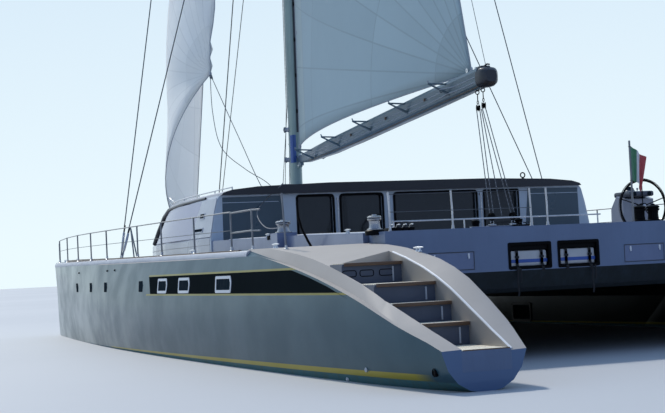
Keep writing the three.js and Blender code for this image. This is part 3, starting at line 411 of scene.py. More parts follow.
class Shape:
    """Gathers the faces of one piece."""

    def __init__(self) -> None:
        """Starts with no faces."""
        self.mesh = bmesh.new()

    def skin(self, rings: Sequence[Sequence[Vector]], capped: bool = True, looped: bool = False) -> "Shape":
        """Joins rings of equal counts with quads.

        Args:
            rings: closed rings of points, in order.
            capped: closes the first and last ring.
            looped: joins the last ring to the first.

        Returns:
            The shape itself.
        """
        rows = [[self.mesh.verts.new(p) for p in ring] for ring in rings]
        count = len(rows[0])
        pairs = list(zip(rows, rows[1:])) + ([(rows[-1], rows[0])] if looped else [])
        for low, high in pairs:
            for i in range(count):
                j = (i + 1) % count
                self.face([low[i], low[j], high[j], high[i]])
        if capped and not looped:
            self.face(rows[0])
            self.face(rows[-1])
        return self

    def face(self, corners: Sequence[bmesh.types.BMVert]) -> None:
        """Adds one face, unless it is there.

        Args:
            corners: the face's corners, in order.
        """
        try:
            self.mesh.faces.new(corners)
        except ValueError:
            return

    def block(self, low: Sequence[float], high: Sequence[float], bevel: float = 0.004) -> "Shape":
        """Adds a box with rounded edges.

        Args:
            low: lowest corner.
            high: highest corner.
            bevel: radius of its edges.

        Returns:
            The shape itself.
        """
        lo, hi = Vector(low), Vector(high)
        lo, hi = Vector(map(min, lo, hi)), Vector(map(max, lo, hi))
        made = bmesh.ops.create_cube(self.mesh, size=1, matrix=Matrix.Translation((lo + hi) / 2)
                                     @ Matrix.Diagonal((*(hi - lo), 1)))
        edges = list({e for v in made["verts"] for e in v.link_edges})
        width = min(bevel, min(hi - lo) * 0.45)
        bmesh.ops.bevel(self.mesh, geom=edges, offset=width, segments=2, profile=0.5, affect="EDGES",
                        clamp_overlap=True)
        return self

    def tube(self, points: Sequence[Sequence[float]], radius: float | Sequence[float], sides: int = 8,
             looped: bool = False) -> "Shape":
        """Adds a round tube through points.

        Args:
            points: its centreline.
            radius: one radius, or one for each point.
            sides: facets round it.
            looped: joins its end to its start.

        Returns:
            The shape itself.
        """
        line = [Vector(p) for p in points]
        count = len(line)
        radii = list(radius) if hasattr(radius, "__len__") else [radius] * count
        rings = []
        upward = None
        for i, p in enumerate(line):
            back = line[(i - 1) % count] if looped else line[max(0, i - 1)]
            ahead = line[(i + 1) % count] if looped else line[min(count - 1, i + 1)]
            course = (ahead - back).normalized()
            if upward is None:
                upward = basis(course)[1]
            else:
                upward = (upward - course * upward.dot(course)).normalized()
            rings.append(circle(p, upward, course.cross(upward), radii[i], sides, 0.5))
        return self.skin(rings, looped=looped)

    def lathe(self, base: Sequence[float], axis: Sequence[float], profile: Sequence[Pair],
              sides: int = 20) -> "Shape":
        """Turns a profile round an axis.

        Args:
            base: where the profile's height is nought.
            axis: direction of its height.
            profile: pairs of radius and height, from one end to the other.
            sides: facets round it.

        Returns:
            The shape itself.
        """
        course, one, two = basis(axis)
        return self.skin([circle(Vector(base) + course * h, one, two, max(r, 1e-4), sides)
            for r, h in profile])

    def slab(self, outline: Sequence[Sequence[float]], depth: Sequence[float]) -> "Shape":
        """Adds a plate between an outline and its copy moved by depth."""
        return self.skin([[Vector(p) for p in outline], [Vector(p) + Vector(depth) for p in outline]])

    def grid(self, at: Surface, columns: int, rows: int) -> list[list[bmesh.types.BMVert]]:
        """Adds rows of points over u and v from 0 to 1."""
        return [[self.mesh.verts.new(at(c / columns, r / rows)) for c in range(columns + 1)]
            for r in range(rows + 1)]

    def surface(self, at: Surface, columns: int, rows: int,
                uv: Callable[[float, float], Pair] | None = None) -> "Shape":
        """Adds an open sheet over u and v from 0 to 1.

        Args:
            at: the point at u, v.
            columns: quads along u.
            rows: quads along v.
            uv: what its UV map holds at u, v.

        Returns:
            The shape itself.
        """
        grid = self.grid(at, columns, rows)
        layer = self.mesh.loops.layers.uv.get("UVMap") or self.mesh.loops.layers.uv.new("UVMap")
        for r in range(rows):
            for c in range(columns):
                spots = [(c, r), (c + 1, r), (c + 1, r + 1), (c, r + 1)]
                made = self.mesh.faces.new([grid[j][i] for i, j in spots])
                for loop, (i, j) in zip(made.loops, spots):
                    loop[layer].uv = uv(i / columns, j / rows) if uv else (i / columns, j / rows)
        return self

    def frame(self, corners: Sequence[Sequence[float]], margin: float, rise: Sequence[float],
              radius: float = 0.03) -> "Shape":
        """Adds a flat frame with rounded corners.

        Args:
            corners: its outer corners, in order.
            margin: width of its sides.
            rise: thickness, as a vector.
            radius: radius of its outer corners.

        Returns:
            The shape itself.
        """
        outer = rounded(corners, radius)
        inner = rounded(inset(corners, margin), radius * 0.6)
        lift = Vector(rise)
        return self.skin([outer, [p + lift for p in outer], [p + lift for p in inner], inner], looped=True)

    def shell(self, front: Surface, back: Surface,
              columns: int, rows: int) -> "Shape":
        """Adds a closed plate between two curved faces over u and v from 0 to 1.

        Args:
            front: the point of one face at u, v.
            back: the point of the other face.
            columns: quads along u.
            rows: quads along v.

        Returns:
            The shape itself.
        """
        near, far = (self.grid(at, columns, rows) for at in (front, back))
        for grid in (near, far):
            for r in range(rows):
                for c in range(columns):
                    self.face([grid[r][c], grid[r][c + 1], grid[r + 1][c + 1], grid[r + 1][c]])
        rim = [(0, c) for c in range(columns)] + [(r, columns) for r in range(rows)]
        rim += [(rows, c) for c in range(columns, 0, -1)] + [(r, 0) for r in range(rows, 0, -1)]
        for (a, b), (c, d) in zip(rim, rim[1:] + rim[:1]):
            self.face([near[a][b], near[c][d], far[c][d], far[a][b]])
        return self

    def cleat(self, at: Sequence[float], along: Sequence[float] = (1, 0, 0), length: float = 0.26) -> "Shape":
        """Adds a two-horned mooring cleat.

        Args:
            at: middle of its foot.
            along: which way its horns point.
            length: length over its horns.

        Returns:
            The shape itself.
        """
        base, course = Vector(at), Vector(along).normalized()
        top = base + Vector((0, 0, 0.055))
        self.tube([top - course * length / 2, top, top + course * length / 2], [0.008, 0.017, 0.008])
        for share in (-0.16, 0.16):
            self.lathe(base + course * length * share, (0, 0, 1), [(0.028, 0), (0.022, 0.01), (0.014, 0.02),
                (0.013, 0.05)], 10)
        return self

    def pulley(self, centre: Sequence[float], axis: Sequence[float] = (0, 1, 0), radius: float = 0.06,
               sheaves: int = 2) -> "Shape":
        """Adds a block: cheeks with sheaves between them and a pin through all.

        Args:
            centre: middle of the block.
            axis: direction of its pin.
            radius: radius of its cheeks.
            sheaves: how many sheaves it has.

        Returns:
            The shape itself.
        """
        course, width = Vector(axis).normalized(), 0.028
        start = Vector(centre) - course * width * sheaves / 2
        for k in range(sheaves + 1):
            self.lathe(start + course * (k * width - 0.004), course,
                       [(radius * 0.85, 0), (radius, 0.002), (radius, 0.006), (radius * 0.85, 0.008)], 16)
        for k in range(sheaves):
            self.lathe(start + course * (k * width + 0.006), course,
                       [(radius * 0.8, 0), (radius * 0.6, 0.008), (radius * 0.8, 0.016)], 16)
        span = width * sheaves + 0.02
        return self.lathe(start - course * 0.01, course, [(0.012, 0), (0.014, 0.003), (0.014, span - 0.003),
            (0.012, span)], 10)

    def winch(self, base: Sequence[float], axis: Sequence[float], radius: float, height: float) -> "Shape":
        """Adds a self-tailing winch with a ribbed drum.

        Args:
            base: middle of its foot.
            axis: the way it stands.
            radius: the drum's radius.
            height: its height.

        Returns:
            The shape itself.
        """
        self.lathe(base, axis, [(r * radius, h * height) for r, h in DRUM], 28)
        course, one, two = basis(axis)
        for way in circle(Vector((0, 0, 0)), one, two, 1.0, RIB_COUNT):
            self.tube([Vector(base) + way * radius * r + course * height * h for r, h in RIB], radius * 0.035,
                5)
        return self

    def ring(self, centre: Sequence[float], axis: Sequence[float], radius: float, thickness: float,
             steps: int = 20) -> "Shape":
        """Adds a round ring."""
        _, one, two = basis(axis)
        return self.tube(circle(Vector(centre), one, two, radius, steps), thickness, 6, looped=True)

    def copied(self, node: str) -> "Shape":
        """Adds a copy of a frame node's faces."""
        self.mesh.from_mesh(frame["nodes"][node].data)
        return self

    def plain(self, name: str) -> bpy.types.Mesh:
        """Turns the faces into a mesh that belongs to no object yet.

        Args:
            name: the mesh's name.

        Returns:
            The mesh.
        """
        data = bpy.data.meshes.new(name)
        self.mesh.to_mesh(data)
        self.mesh.free()
        return data

    def piece(self, name: str, finish: "Finish", slot: str | None = None, body: str = "root",
              closed: bool = True, crease: float = CREASE) -> bpy.types.Object:
        """Turns the faces into a finished piece that rides on a body.

        Args:
            name: the piece's name.
            finish: its finish.
            slot: the record's material slot.
            body: the body it moves with, or nothing for the floor.
            closed: merges doubles and turns the faces outward.
            crease: angle past which an edge stays sharp.

        Returns:
            The new object.
        """
        if closed:
            bmesh.ops.remove_doubles(self.mesh, verts=self.mesh.verts, dist=2e-5)
            bmesh.ops.dissolve_degenerate(self.mesh, edges=self.mesh.edges, dist=1e-6)
            bmesh.ops.recalc_face_normals(self.mesh, faces=self.mesh.faces)
        data = self.plain(name)
        data.shade_smooth()
        data.set_sharp_from_angle(angle=crease)
        data.materials.append(material_of(finish))
        return declared(placed(name, data), body, slot)


class Graph:
    """Adds nodes to a tree and joins them."""

    def __init__(self, tree: bpy.types.NodeTree) -> None:
        """Works on one tree."""
        self.tree = tree

    def node(self, kind: str, inputs: dict[str | int, object] | None = None,
             **settings: object) -> Node:
        """Adds a node.

        Args:
            kind: Blender's name for the node type.
            inputs: sockets to join or values to set, by name or index.
            settings: properties of the node.

        Returns:
            The node.
        """
        made = self.tree.nodes.new(kind)
        for key, value in settings.items():
            setattr(made, key, value)
        for key, value in (inputs or {}).items():
            if isinstance(value, bpy.types.NodeSocket):
                self.tree.links.new(value, made.inputs[key])
            else:
                made.inputs[key].default_value = value
        return made

    def math(self, operation: str, *values: object, clamp: bool = False) -> Socket:
        """Adds a Math node and gives its value."""
        made = self.node("ShaderNodeMath", dict(enumerate(values)), operation=operation, use_clamp=clamp)
        return made.outputs[0]

    def blend(self, factor: object, first: object, second: object, mode: str = "MIX") -> Socket:
        """Mixes two colours and gives the result.

        Args:
            factor: share of the second colour.
            first: the first colour.
            second: the second colour.
            mode: how they are mixed.

        Returns:
            The mixed colour.
        """
        colours = [(*c, 1.0) if isinstance(c, tuple) and len(c) == 3 else c for c in (first, second)]
        made = self.node("ShaderNodeMix", {0: factor, 6: colours[0], 7: colours[1]},
                         data_type="RGBA", blend_type=mode)
        return made.outputs[2]

    def ramp(self, value: object, low: float, high: float, soft: bool = True) -> Socket:
        """Maps a value from low..high to 0..1.

        Args:
            value: the value.
            low: the value that gives 0.
            high: the value that gives 1.
            soft: eases both ends.

        Returns:
            The mapped value.
        """
        made = self.node("ShaderNodeMapRange", {"Value": value, "From Min": low, "From Max": high},
                         interpolation_type="SMOOTHSTEP" if soft else "LINEAR", clamp=True)
        return made.outputs["Result"]

    def inside(self, value: object, low: object, high: object, edge: float = 0.004) -> Socket:
        """A mask of 1 where a value lies between two limits, soft over the edge."""
        nearer = self.math("MINIMUM", self.less(value, low), self.less(high, value))
        return self.math("ADD", self.over(nearer, edge), 0.5, clamp=True)

    def either(self, first: object, second: object) -> Socket:
        """The larger of two masks."""
        return self.math("MAXIMUM", first, second)

    def outside(self, mask: object) -> Socket:
        """A mask that is 1 where another is 0."""
        return self.math("SUBTRACT", 1.0, mask, clamp=True)

    def times(self, first: object, second: object) -> Socket:
        """The product of two values or masks."""
        return self.math("MULTIPLY", first, second)

    def over(self, first: object, second: object) -> Socket:
        """The first value divided by the second."""
        return self.math("DIVIDE", first, second)

    def add(self, first: object, second: object) -> Socket:
        """The sum of two values."""
        return self.math("ADD", first, second)

    def less(self, first: object, second: object) -> Socket:
        """The first value less the second."""
        return self.math("SUBTRACT", first, second)

    def own(self, tree: bpy.types.NodeTree, **inputs: object) -> Node:
        """Adds one of this script's node groups."""
        return self.node("ShaderNodeGroup", inputs, node_tree=tree)

    def flat(self) -> Socket:
        """The place on the sheet's UV map."""
        return self.node("ShaderNodeUVMap", uv_map="UVMap").outputs[0]

    def split(self, vector: object) -> tuple[Socket, Socket, Socket]:
        """The three parts of a vector."""
        return tuple(self.node("ShaderNodeSeparateXYZ", {0: vector}).outputs)

    def joined(self, x: object, y: object, z: object) -> Socket:
        """A vector of three parts."""
        return self.node("ShaderNodeCombineXYZ", {0: x, 1: y, 2: z}).outputs[0]

    def noise(self, vector: object, scale: float, detail: float = 3.0, roughness: float = 0.55) -> Socket:
        """Adds a Noise Texture and gives its value.

        Args:
            vector: the place that it is read at.
            scale: how fine it is.
            detail: layers of finer noise.
            roughness: how strong those layers are.

        Returns:
            The noise's value.
        """
        made = self.node("ShaderNodeTexNoise", {"Vector": vector, "Scale": scale, "Detail": detail,
            "Roughness": roughness})
        return made.outputs["Fac"]

    def stretched(self, vector: object, factors: Sequence[float]) -> Socket:
        """The vector with each part multiplied."""
        made = self.node("ShaderNodeVectorMath", {0: vector, 1: tuple(factors)}, operation="MULTIPLY")
        return made.outputs[0]

    def bump(self, height: object, strength: float, distance: float, normal: object = None) -> Socket:
        """Adds a Bump node and gives its normal.

        Args:
            height: the height.
            strength: share of its effect.
            distance: metres that a height of 1 stands for.
            normal: the normal that it adds to.

        Returns:
            The bumped normal.
        """
        extra = {"Normal": normal} if normal is not None else {}
        made = self.node("ShaderNodeBump", {"Height": height, "Strength": strength, "Distance": distance,
            **extra})
        return made.outputs["Normal"]


def shader_group(name: str, inputs: dict[str, object],
                 outputs: Sequence[str]) -> tuple[bpy.types.NodeTree, Graph, Node, Node]:
    """Starts a shader node group.

    Args:
        name: the group's name.
        inputs: each input's default, a number or a vector of three.
        outputs: the names of its values.

    Returns:
        The group, a graph on it, and its input and output nodes.
    """
    group = bpy.data.node_groups.new(name, "ShaderNodeTree")
    for key, default in inputs.items():
        kind = "NodeSocketVector" if isinstance(default, tuple) else "NodeSocketFloat"
        group.interface.new_socket(key, in_out="INPUT", socket_type=kind).default_value = default
    for key in outputs:
        group.interface.new_socket(key, in_out="OUTPUT", socket_type="NodeSocketFloat")
    return group, Graph(group), group.nodes.new("NodeGroupInput"), group.nodes.new("NodeGroupOutput")


@cache
def weathering_group() -> bpy.types.NodeTree:
    """Builds the group that clouds, streaks and speckles a surface.

    Returns:
        The group's tree.
    """
    group, g, entry, leave = shader_group("Weathering", {"Vector": (0.0, 0.0, 0.0), "Scale": 2.0,
        "Run": 0.12}, ["Cloud", "Streak", "Speck"])
    scaled = g.node("ShaderNodeVectorMath", {0: entry.outputs["Vector"], 3: entry.outputs["Scale"]},
                    operation="SCALE").outputs[0]
    x, y, z = g.split(scaled)
    low = g.joined(x, y, g.times(z, entry.outputs["Run"]))
    links = group.links
    links.new(g.ramp(g.noise(scaled, 1.0, 5.0), 0.3, 0.7), leave.inputs["Cloud"])
    links.new(g.ramp(g.noise(low, 6.0, 4.0, 0.7), 0.42, 0.75), leave.inputs["Streak"])
    links.new(g.ramp(g.noise(scaled, 90.0, 2.0), 0.35, 0.65), leave.inputs["Speck"])
    return group


@cache
def weave_group() -> bpy.types.NodeTree:
    """Builds the group that crosses two sets of threads.

    Returns:
        The group's tree.
    """
    group, g, entry, leave = shader_group("Weave", {"Vector": (0.0, 0.0, 0.0), "Threads": 400.0},
        ["Height", "Tone"])
    scaled = g.node("ShaderNodeVectorMath", {0: entry.outputs["Vector"], 3: entry.outputs["Threads"]},
                    operation="SCALE").outputs[0]
    x, y, z = g.split(scaled)
    warp = g.math("ABSOLUTE", g.math("SINE", g.add(x, z)))
    weft = g.math("ABSOLUTE", g.math("SINE", g.add(y, z)))
    group.links.new(g.math("MAXIMUM", warp, weft), leave.inputs["Height"])
    group.links.new(g.noise(scaled, 0.35, 2.0), leave.inputs["Tone"])
    return group


@cache
def grain_group() -> bpy.types.NodeTree:
    """Builds the group that gives wood its grain along X.

    Returns:
        The group's tree.
    """
    group, g, entry, leave = shader_group("Grain", {"Vector": (0.0, 0.0, 0.0), "Along": 1.5, "Across": 40.0},
        ["Figure", "Pore"])
    x, y, z = g.split(entry.outputs["Vector"])
    across = entry.outputs["Across"]
    drawn = g.joined(g.times(x, entry.outputs["Along"]), g.times(y, across), g.times(z, across))
    group.links.new(g.noise(drawn, 1.0, 6.0, 0.65), leave.inputs["Figure"])
    group.links.new(g.ramp(g.noise(drawn, 5.0, 3.0, 0.8), 0.5, 0.8), leave.inputs["Pore"])
    return group


class Finish:
    """A surface finish that builds its own material."""

    name: str

    def dress(self, g: Graph, shader: Node) -> None:
        """Joins the finish's nodes to the shader.

        Args:
            g: graph of the material's nodes.
            shader: its Principled BSDF.
        """
        raise NotImplementedError

    def place(self, g: Graph) -> Socket:
        """Gives the object's own coordinates."""
        return g.node("ShaderNodeTexCoord").outputs["Object"]

    def weathering(self, g: Graph, scale: float, run: float = 0.12) -> Node:
        """Places the weathering group with this finish's scale."""
        return g.own(weathering_group(), Vector=self.place(g), Scale=scale, Run=run)


@cache
def material_of(finish: Finish) -> bpy.types.Material:
    """Builds a finish's material once.

    Args:
        finish: the finish.

    Returns:
        Its material.
    """
    made = bpy.data.materials.new(finish.name)
    made.use_nodes = True
    made.node_tree.nodes.clear()
    g = Graph(made.node_tree)
    shader = g.node("ShaderNodeBsdfPrincipled")
    out = g.node("ShaderNodeOutputMaterial")
    made.node_tree.links.new(shader.outputs["BSDF"], out.inputs["Surface"])
    finish.dress(g, shader)
    return made


def wire_up(g: Graph, shader: Node, sockets: dict[str, object]) -> None:
    """Joins values to the shader's sockets, or sets them where they are constant.

    Args:
        g: the material's node graph.
        shader: the shader node.
        sockets: values by the names of its sockets.
    """
    for key, value in sockets.items():
        if isinstance(value, bpy.types.NodeSocket):
            g.tree.links.new(value, shader.inputs[key])
        else:
            spot = shader.inputs[key]
            spot.default_value = (*value, 1.0) if spot.type == "RGBA" else value


@dataclass(frozen=True)
class Paint(Finish):
    """Paint, gelcoat or moulded plastic, clouded and a little streaked."""

    name: str
    colour: Colour
    roughness: float = 0.35
    metallic: float = 0.0
    coat: float = 0.2
    scale: float = 1.6
    variation: float = 0.1
    streaks: float = 0.12
    texture: float = 0.05
    gloss: float = 0.5

    def dress(self, g: Graph, shader: Node) -> None:
        """Clouds the colour, dirties it along streaks and roughens both.

        Args:
            g: the material's node graph.
            shader: the shader node that it feeds.
        """
        worn = self.weathering(g, self.scale)
        dark = dimmed(self.colour, 1 - self.variation)
        dirt = dimmed(self.colour, 0.62)
        tone = g.blend(worn.outputs["Cloud"], self.colour, dark)
        tone = g.blend(g.times(worn.outputs["Streak"], self.streaks), tone, dirt)
        rough = g.add(g.times(worn.outputs["Cloud"], 0.12), self.roughness - 0.04)
        height = g.add(worn.outputs["Speck"], g.times(worn.outputs["Cloud"], 0.4))
        wire_up(g, shader, {"Base Color": tone, "Roughness": rough, "Metallic": self.metallic,
            "Specular IOR Level": self.gloss, "Coat Weight": self.coat, "Coat Roughness": 0.12,
            "Normal": g.bump(height, self.texture, 0.002)})


@dataclass(frozen=True)
class HullPaint(Finish):
    """Topsides in dark teal, a painted reflection of dark water on the silver hull and lighter forward as a painted
    glint, with a dark band between pinstripes, a boot stripe, antifouling, a pale deck, and painted shade on the inner
    sides and the transom.
    """

    name: str = "hull_paint"
    # Dark teal that paints the reflection of dark water on the silver topsides.
    topsides_reflection: Colour = (0.026, 0.082, 0.116)
    # Lighter colour blended in forward: a painted glint of the sun on the bow.
    fore: Colour = (0.46, 0.51, 0.49)
    pinstripe: Colour = (0.24, 0.21, 0.03)
    boot: Colour = (0.32, 0.27, 0.02)
    antifouling: Colour = (0.045, 0.13, 0.15)
    deck: Colour = (0.485, 0.45, 0.41)
    # Blue of the transom's aft-facing face: painted shade.
    transom: Colour = (0.097, 0.155, 0.275)
    # Near black of the hull's inner sides: painted shade between the hulls.
    inner: Colour = (0.013, 0.022, 0.02)
    band_low: float = 1.12
    band_high: float = 1.43
    band_aft: float = -10.2
    band_front: float = -0.5
    up_from: float = 0.62
    wing_x: float = -5.7
    wing_ease: float = 0.34
    stripe: float = 0.03

    def dress(self, g: Graph, shader: Node) -> None:
        """Paints each zone by its place on the hull.

        Args:
            g: the material's node graph.
            shader: the shader node that it feeds.
        """
        x, y, z = g.split(self.place(g))
        normal = g.split(g.node("ShaderNodeNewGeometry").outputs["True Normal"])
        outboard = g.math("ABSOLUTE", y)
        worn = self.weathering(g, 1.1, 0.15)
        # Lighter towards the bow: painted glint over the painted water reflection.
        topsides_reflection = g.blend(g.ramp(x, -3.0, 12.0), self.topsides_reflection, self.fore)
        # Clouded and streaked darker: weathering, and a mottle that stands in for the water's glitter.
        colour = g.blend(g.times(worn.outputs["Cloud"], 0.6), topsides_reflection, dimmed(self.topsides_reflection, 0.8))
        colour = g.blend(g.times(worn.outputs["Streak"], 0.12), colour, dimmed(self.topsides_reflection, 0.6))
        side = g.inside(outboard, 4.95, 9.0, 0.02)
        reach = g.inside(x, self.band_aft, self.band_front, 0.02)
        high = g.inside(z, self.band_high, self.band_high + self.stripe)
        low = g.inside(z, self.band_low - self.stripe, self.band_low)
        lines = g.times(g.times(side, g.either(high, low)), reach)
        colour = g.blend(lines, colour, self.pinstripe)
        # Inboard faces take the near-black painted shade.
        colour = g.blend(g.inside(outboard, -1.0, 4.35, 0.1), colour, self.inner)
        limit = g.less(self.up_from, g.times(g.inside(x, -13.0, self.wing_x, 0.02), self.wing_ease))
        facing = g.inside(normal[2], limit, 2.0, 0.01)
        crest = g.add(1.81, g.times(g.add(x, 5.6), 0.1375))
        low = g.times(g.math("LESS_THAN", z, crest), g.times(g.inside(x, -8.0, -5.0), side))
        up = g.times(g.times(facing, g.inside(z, 0.3, 9.0, 0.02)), g.outside(low))
        pale = g.blend(worn.outputs["Cloud"], self.deck, dimmed(self.deck, 0.93))
        colour = g.blend(up, colour, pale)
        wing = g.times(g.inside(x, -13.0, -8.9, 0.2), g.inside(outboard, 4.0, 5.0, 0.02))
        colour = g.blend(g.times(wing, g.inside(z, 0.25, 9.0, 0.02)), colour, pale)
        foot = g.add(0.045, g.times(g.less(-1.5, x), 0.0055))
        top = g.add(0.085, g.times(g.less(-1.5, x), 0.0095))
        colour = g.blend(g.times(g.inside(z, foot, top), g.inside(x, -11.9, 3.2, 0.4)), colour, self.boot)
        below = g.inside(z, -9.0, foot, 0.01)
        # The transom's flat aft face takes the painted shade colour.
        end = g.times(g.inside(x, -13.0, -12.49, 0.004), g.ramp(normal[0], -0.6, -0.7))
        slime = g.blend(worn.outputs["Streak"], self.antifouling, (0.06, 0.11, 0.09))
        colour = g.blend(below, colour, slime)
        colour = g.blend(end, colour, self.transom)
        dull = g.either(below, up)
        rough = g.add(g.times(dull, 0.3), g.times(worn.outputs["Cloud"], 0.08))
        metal = g.times(g.outside(dull), 0.3)
        wire_up(g, shader, {"Base Color": colour, "Roughness": g.add(rough, 0.3), "Metallic": metal,
            "Specular IOR Level": 0.2, "Coat Roughness": 0.1, "Coat Weight": g.less(0.06, g.times(up, 0.06)),
            "Normal": g.bump(worn.outputs["Speck"], 0.04, 0.002)})


@dataclass(frozen=True)
class ZonedPaint(Finish):
    """Colour chosen by the way a face looks, and aft of a given place; on the steps, the bridge deck and the beam, the
    side and under colours are painted shade.
    """

    name: str
    top: Colour
    side: Colour
    under: Colour
    aft_x: float = -99.0
    aft: Colour = (0.1, 0.1, 0.1)
    roughness: float = 0.4

    def dress(self, g: Graph, shader: Node) -> None:
        """Chooses between the colours by the normal and the place.

        Args:
            g: the material's node graph.
            shader: the shader node that it feeds.
        """
        parts = g.split(self.place(g))
        normal = g.split(g.node("ShaderNodeNewGeometry").outputs["Normal"])
        worn = self.weathering(g, 1.4)
        # Faces that look sideways or down take the side and under colours; on the steps, bridge deck and beam these
        # are painted shade.
        colour = g.blend(g.ramp(normal[2], 0.5, 0.8), self.side, self.top)
        colour = g.blend(g.ramp(normal[2], -0.25, -0.5), colour, self.under)
        colour = g.blend(g.inside(parts[0], -100.0, self.aft_x, 0.01), colour, self.aft)
        shade = g.less(1.0, g.times(worn.outputs["Cloud"], 0.1))
        colour = g.blend(1.0, colour, g.joined(shade, shade, shade), "MULTIPLY")
        colour = g.blend(g.times(worn.outputs["Streak"], 0.12), colour, dimmed(self.side, 0.5))
        rough = g.add(g.times(worn.outputs["Speck"], 0.12), self.roughness)
        wire_up(g, shader, {"Base Color": colour, "Roughness": rough, "Coat Weight": 0.15,
                            "Normal": g.bump(worn.outputs["Speck"], 0.08, 0.002)})


@dataclass(frozen=True)
class Metal(Finish):
    """Brushed or polished metal with fine scratches."""

    name: str
    colour: Colour
    roughness: float = 0.22
    brush: float = 0.06
    scale: float = 6.0

    def dress(self, g: Graph, shader: Node) -> None:
        """Draws the brushing along X and dulls the metal in clouds.

        Args:
            g: the material's node graph.
            shader: the shader node that it feeds.
        """
        brushed = g.noise(g.stretched(self.place(g), (3.0, 260.0, 260.0)), 1.0, 2.0)
        worn = self.weathering(g, self.scale)
        colour = g.blend(worn.outputs["Cloud"], self.colour, dimmed(self.colour, 0.84))
        rough = g.add(self.roughness, g.times(worn.outputs["Cloud"], 0.12))
        rough = g.add(rough, g.times(brushed, self.brush))
        wire_up(g, shader, {"Base Color": colour, "Roughness": rough, "Metallic": 1.0,
                            "Normal": g.bump(brushed, 0.05, 0.0005)})


@dataclass(frozen=True)
class Glass(Finish):
    """Tinted glass with faint salt marks."""

    name: str
    tint: Colour
    clear: float = 0.75
    roughness: float = 0.04
    gloss: float = 0.5

    def dress(self, g: Graph, shader: Node) -> None:
        """Marks the tinted glass with dried spray.

        Args:
            g: the material's node graph.
            shader: the shader node that it feeds.
        """
        worn = self.weathering(g, 3.0, 0.3)
        spots = g.times(worn.outputs["Speck"], worn.outputs["Streak"])
        colour = g.blend(g.times(spots, 0.05), self.tint, (0.5, 0.53, 0.56))
        rough = g.add(self.roughness, g.times(spots, 0.1))
        wire_up(g, shader, {"Base Color": colour, "Roughness": rough, "Transmission Weight": self.clear,
                            "IOR": 1.45, "Specular IOR Level": self.gloss, "Coat Weight": self.gloss * 0.4})


@dataclass(frozen=True)
class Teak(Finish):
    """Scrubbed teak planks with black seams."""

    name: str
    colour: Colour = (0.36, 0.25, 0.16)
    plank: float = 0.055
    seam: float = 0.006
    turned: bool = False

    def dress(self, g: Graph, shader: Node) -> None:
        """Lays the planks along X, or along Y when turned.

        Args:
            g: the material's node graph.
            shader: the shader node that it feeds.
        """
        along, across, upward = g.split(self.place(g))
        if self.turned:
            along, across = across, along
        grain = g.own(grain_group(), Vector=g.joined(along, across, upward))
        row = g.over(g.add(across, 50.0), self.plank)
        within = g.times(g.math("FRACT", row), self.plank)
        seam = g.inside(within, -1.0, self.seam, 0.002)
        tone = g.node("ShaderNodeTexWhiteNoise", {"W": g.math("FLOOR", row)}, noise_dimensions="1D")
        light = tuple(min(1.0, c * 1.35) for c in self.colour)
        colour = g.blend(tone.outputs["Value"], self.colour, light)
        colour = g.blend(g.times(grain.outputs["Figure"], 0.5), colour, dimmed(self.colour, 0.6))
        colour = g.blend(seam, colour, (0.02, 0.02, 0.022))
        height = g.less(g.times(grain.outputs["Pore"], -0.4), seam)
        wire_up(g, shader, {"Base Color": colour, "Roughness": 0.72,
                            "Normal": g.bump(height, 0.5, 0.002)})


@dataclass(frozen=True)
class Sailcloth(Finish):
    """Laminate sailcloth whose UV map is in metres from the clew, with panels that fan out from there."""

    name: str
    colour: Colour = (0.44, 0.57, 0.6)
    edge: Colour = (0.5, 0.6, 0.58)
    luff: float = 9.0
    lean: float = 0.035
    strip: float = 0.95
    fan: float = 20.0
    bands: float = 3.6
    seam: float = 0.2
    patch: float = 1.15
    through: float = 0.0

    def dress(self, g: Graph, shader: Node) -> None:
        """Draws the seams and panels, the luff strip, the clew patch and a slow crinkle.

        Args:
            g: the material's node graph.
            shader: the shader node that it feeds.
        """
        flat = g.flat()
        along, upward, _ = g.split(flat)
        turn = g.math("ARCTAN2", upward, along)
        reach = g.node("ShaderNodeVectorMath", {0: flat}, operation="LENGTH").outputs["Value"]
        row = g.times(turn, self.fan / math.pi)
        near = g.less(0.5, g.math("ABSOLUTE", g.less(g.math("FRACT", row), 0.5)))
        width = g.over(0.016 * self.fan / math.pi, g.math("MAXIMUM", reach, 0.4))
        fan = g.math("LESS_THAN", near, width)
        ring = g.math("FRACT", g.over(reach, self.bands))
        hoop = g.math("LESS_THAN", ring, 0.008)
        panel = g.joined(g.math("FLOOR", row), g.math("FLOOR", g.over(reach, self.bands)), 0.0)
        tone = g.node("ShaderNodeTexWhiteNoise", {"Vector": panel}, noise_dimensions="3D").outputs["Value"]
        colour = g.blend(tone, self.colour, dimmed(self.colour, 0.9))
        across = g.add(along, g.times(upward, self.lean))
        from_luff = g.less(self.luff, across)
        colour = g.blend(g.inside(from_luff, -9.0, self.strip, 0.02), colour, self.edge)
        edge_seam = g.inside(from_luff, self.strip - 0.02, self.strip + 0.02, 0.01)
        patch = g.inside(reach, -1.0, self.patch, 0.02)
        colour = g.blend(g.times(patch, 0.45), colour, dimmed(self.colour, 0.72))
        rim = g.inside(reach, self.patch, self.patch + 0.03, 0.01)
        seam = g.either(g.either(fan, hoop), g.either(edge_seam, rim))
        colour = g.blend(g.times(seam, self.seam * 2), colour, dimmed(self.colour, 0.5))
        worn = self.weathering(g, 0.35, 1.0)
        colour = g.blend(g.times(worn.outputs["Cloud"], 0.35), colour, dimmed(self.colour, 0.82))
        weave = g.own(weave_group(), Vector=flat, Threads=700.0)
        crinkle = g.noise(flat, 1.1, 4.0, 0.6)
        height = g.add(crinkle, g.times(weave.outputs["Height"], 0.01))
        height = g.add(height, g.times(seam, 0.06))
        wire_up(g, shader, {"Base Color": colour, "Roughness": g.add(0.5, g.times(tone, 0.08)),
            "Sheen Weight": 0.15, "Subsurface Weight": self.through, "Subsurface Scale": 0.04,
            "Subsurface Radius": (1.0, 1.0, 1.0), "Normal": g.bump(height, 0.4, 0.05)})


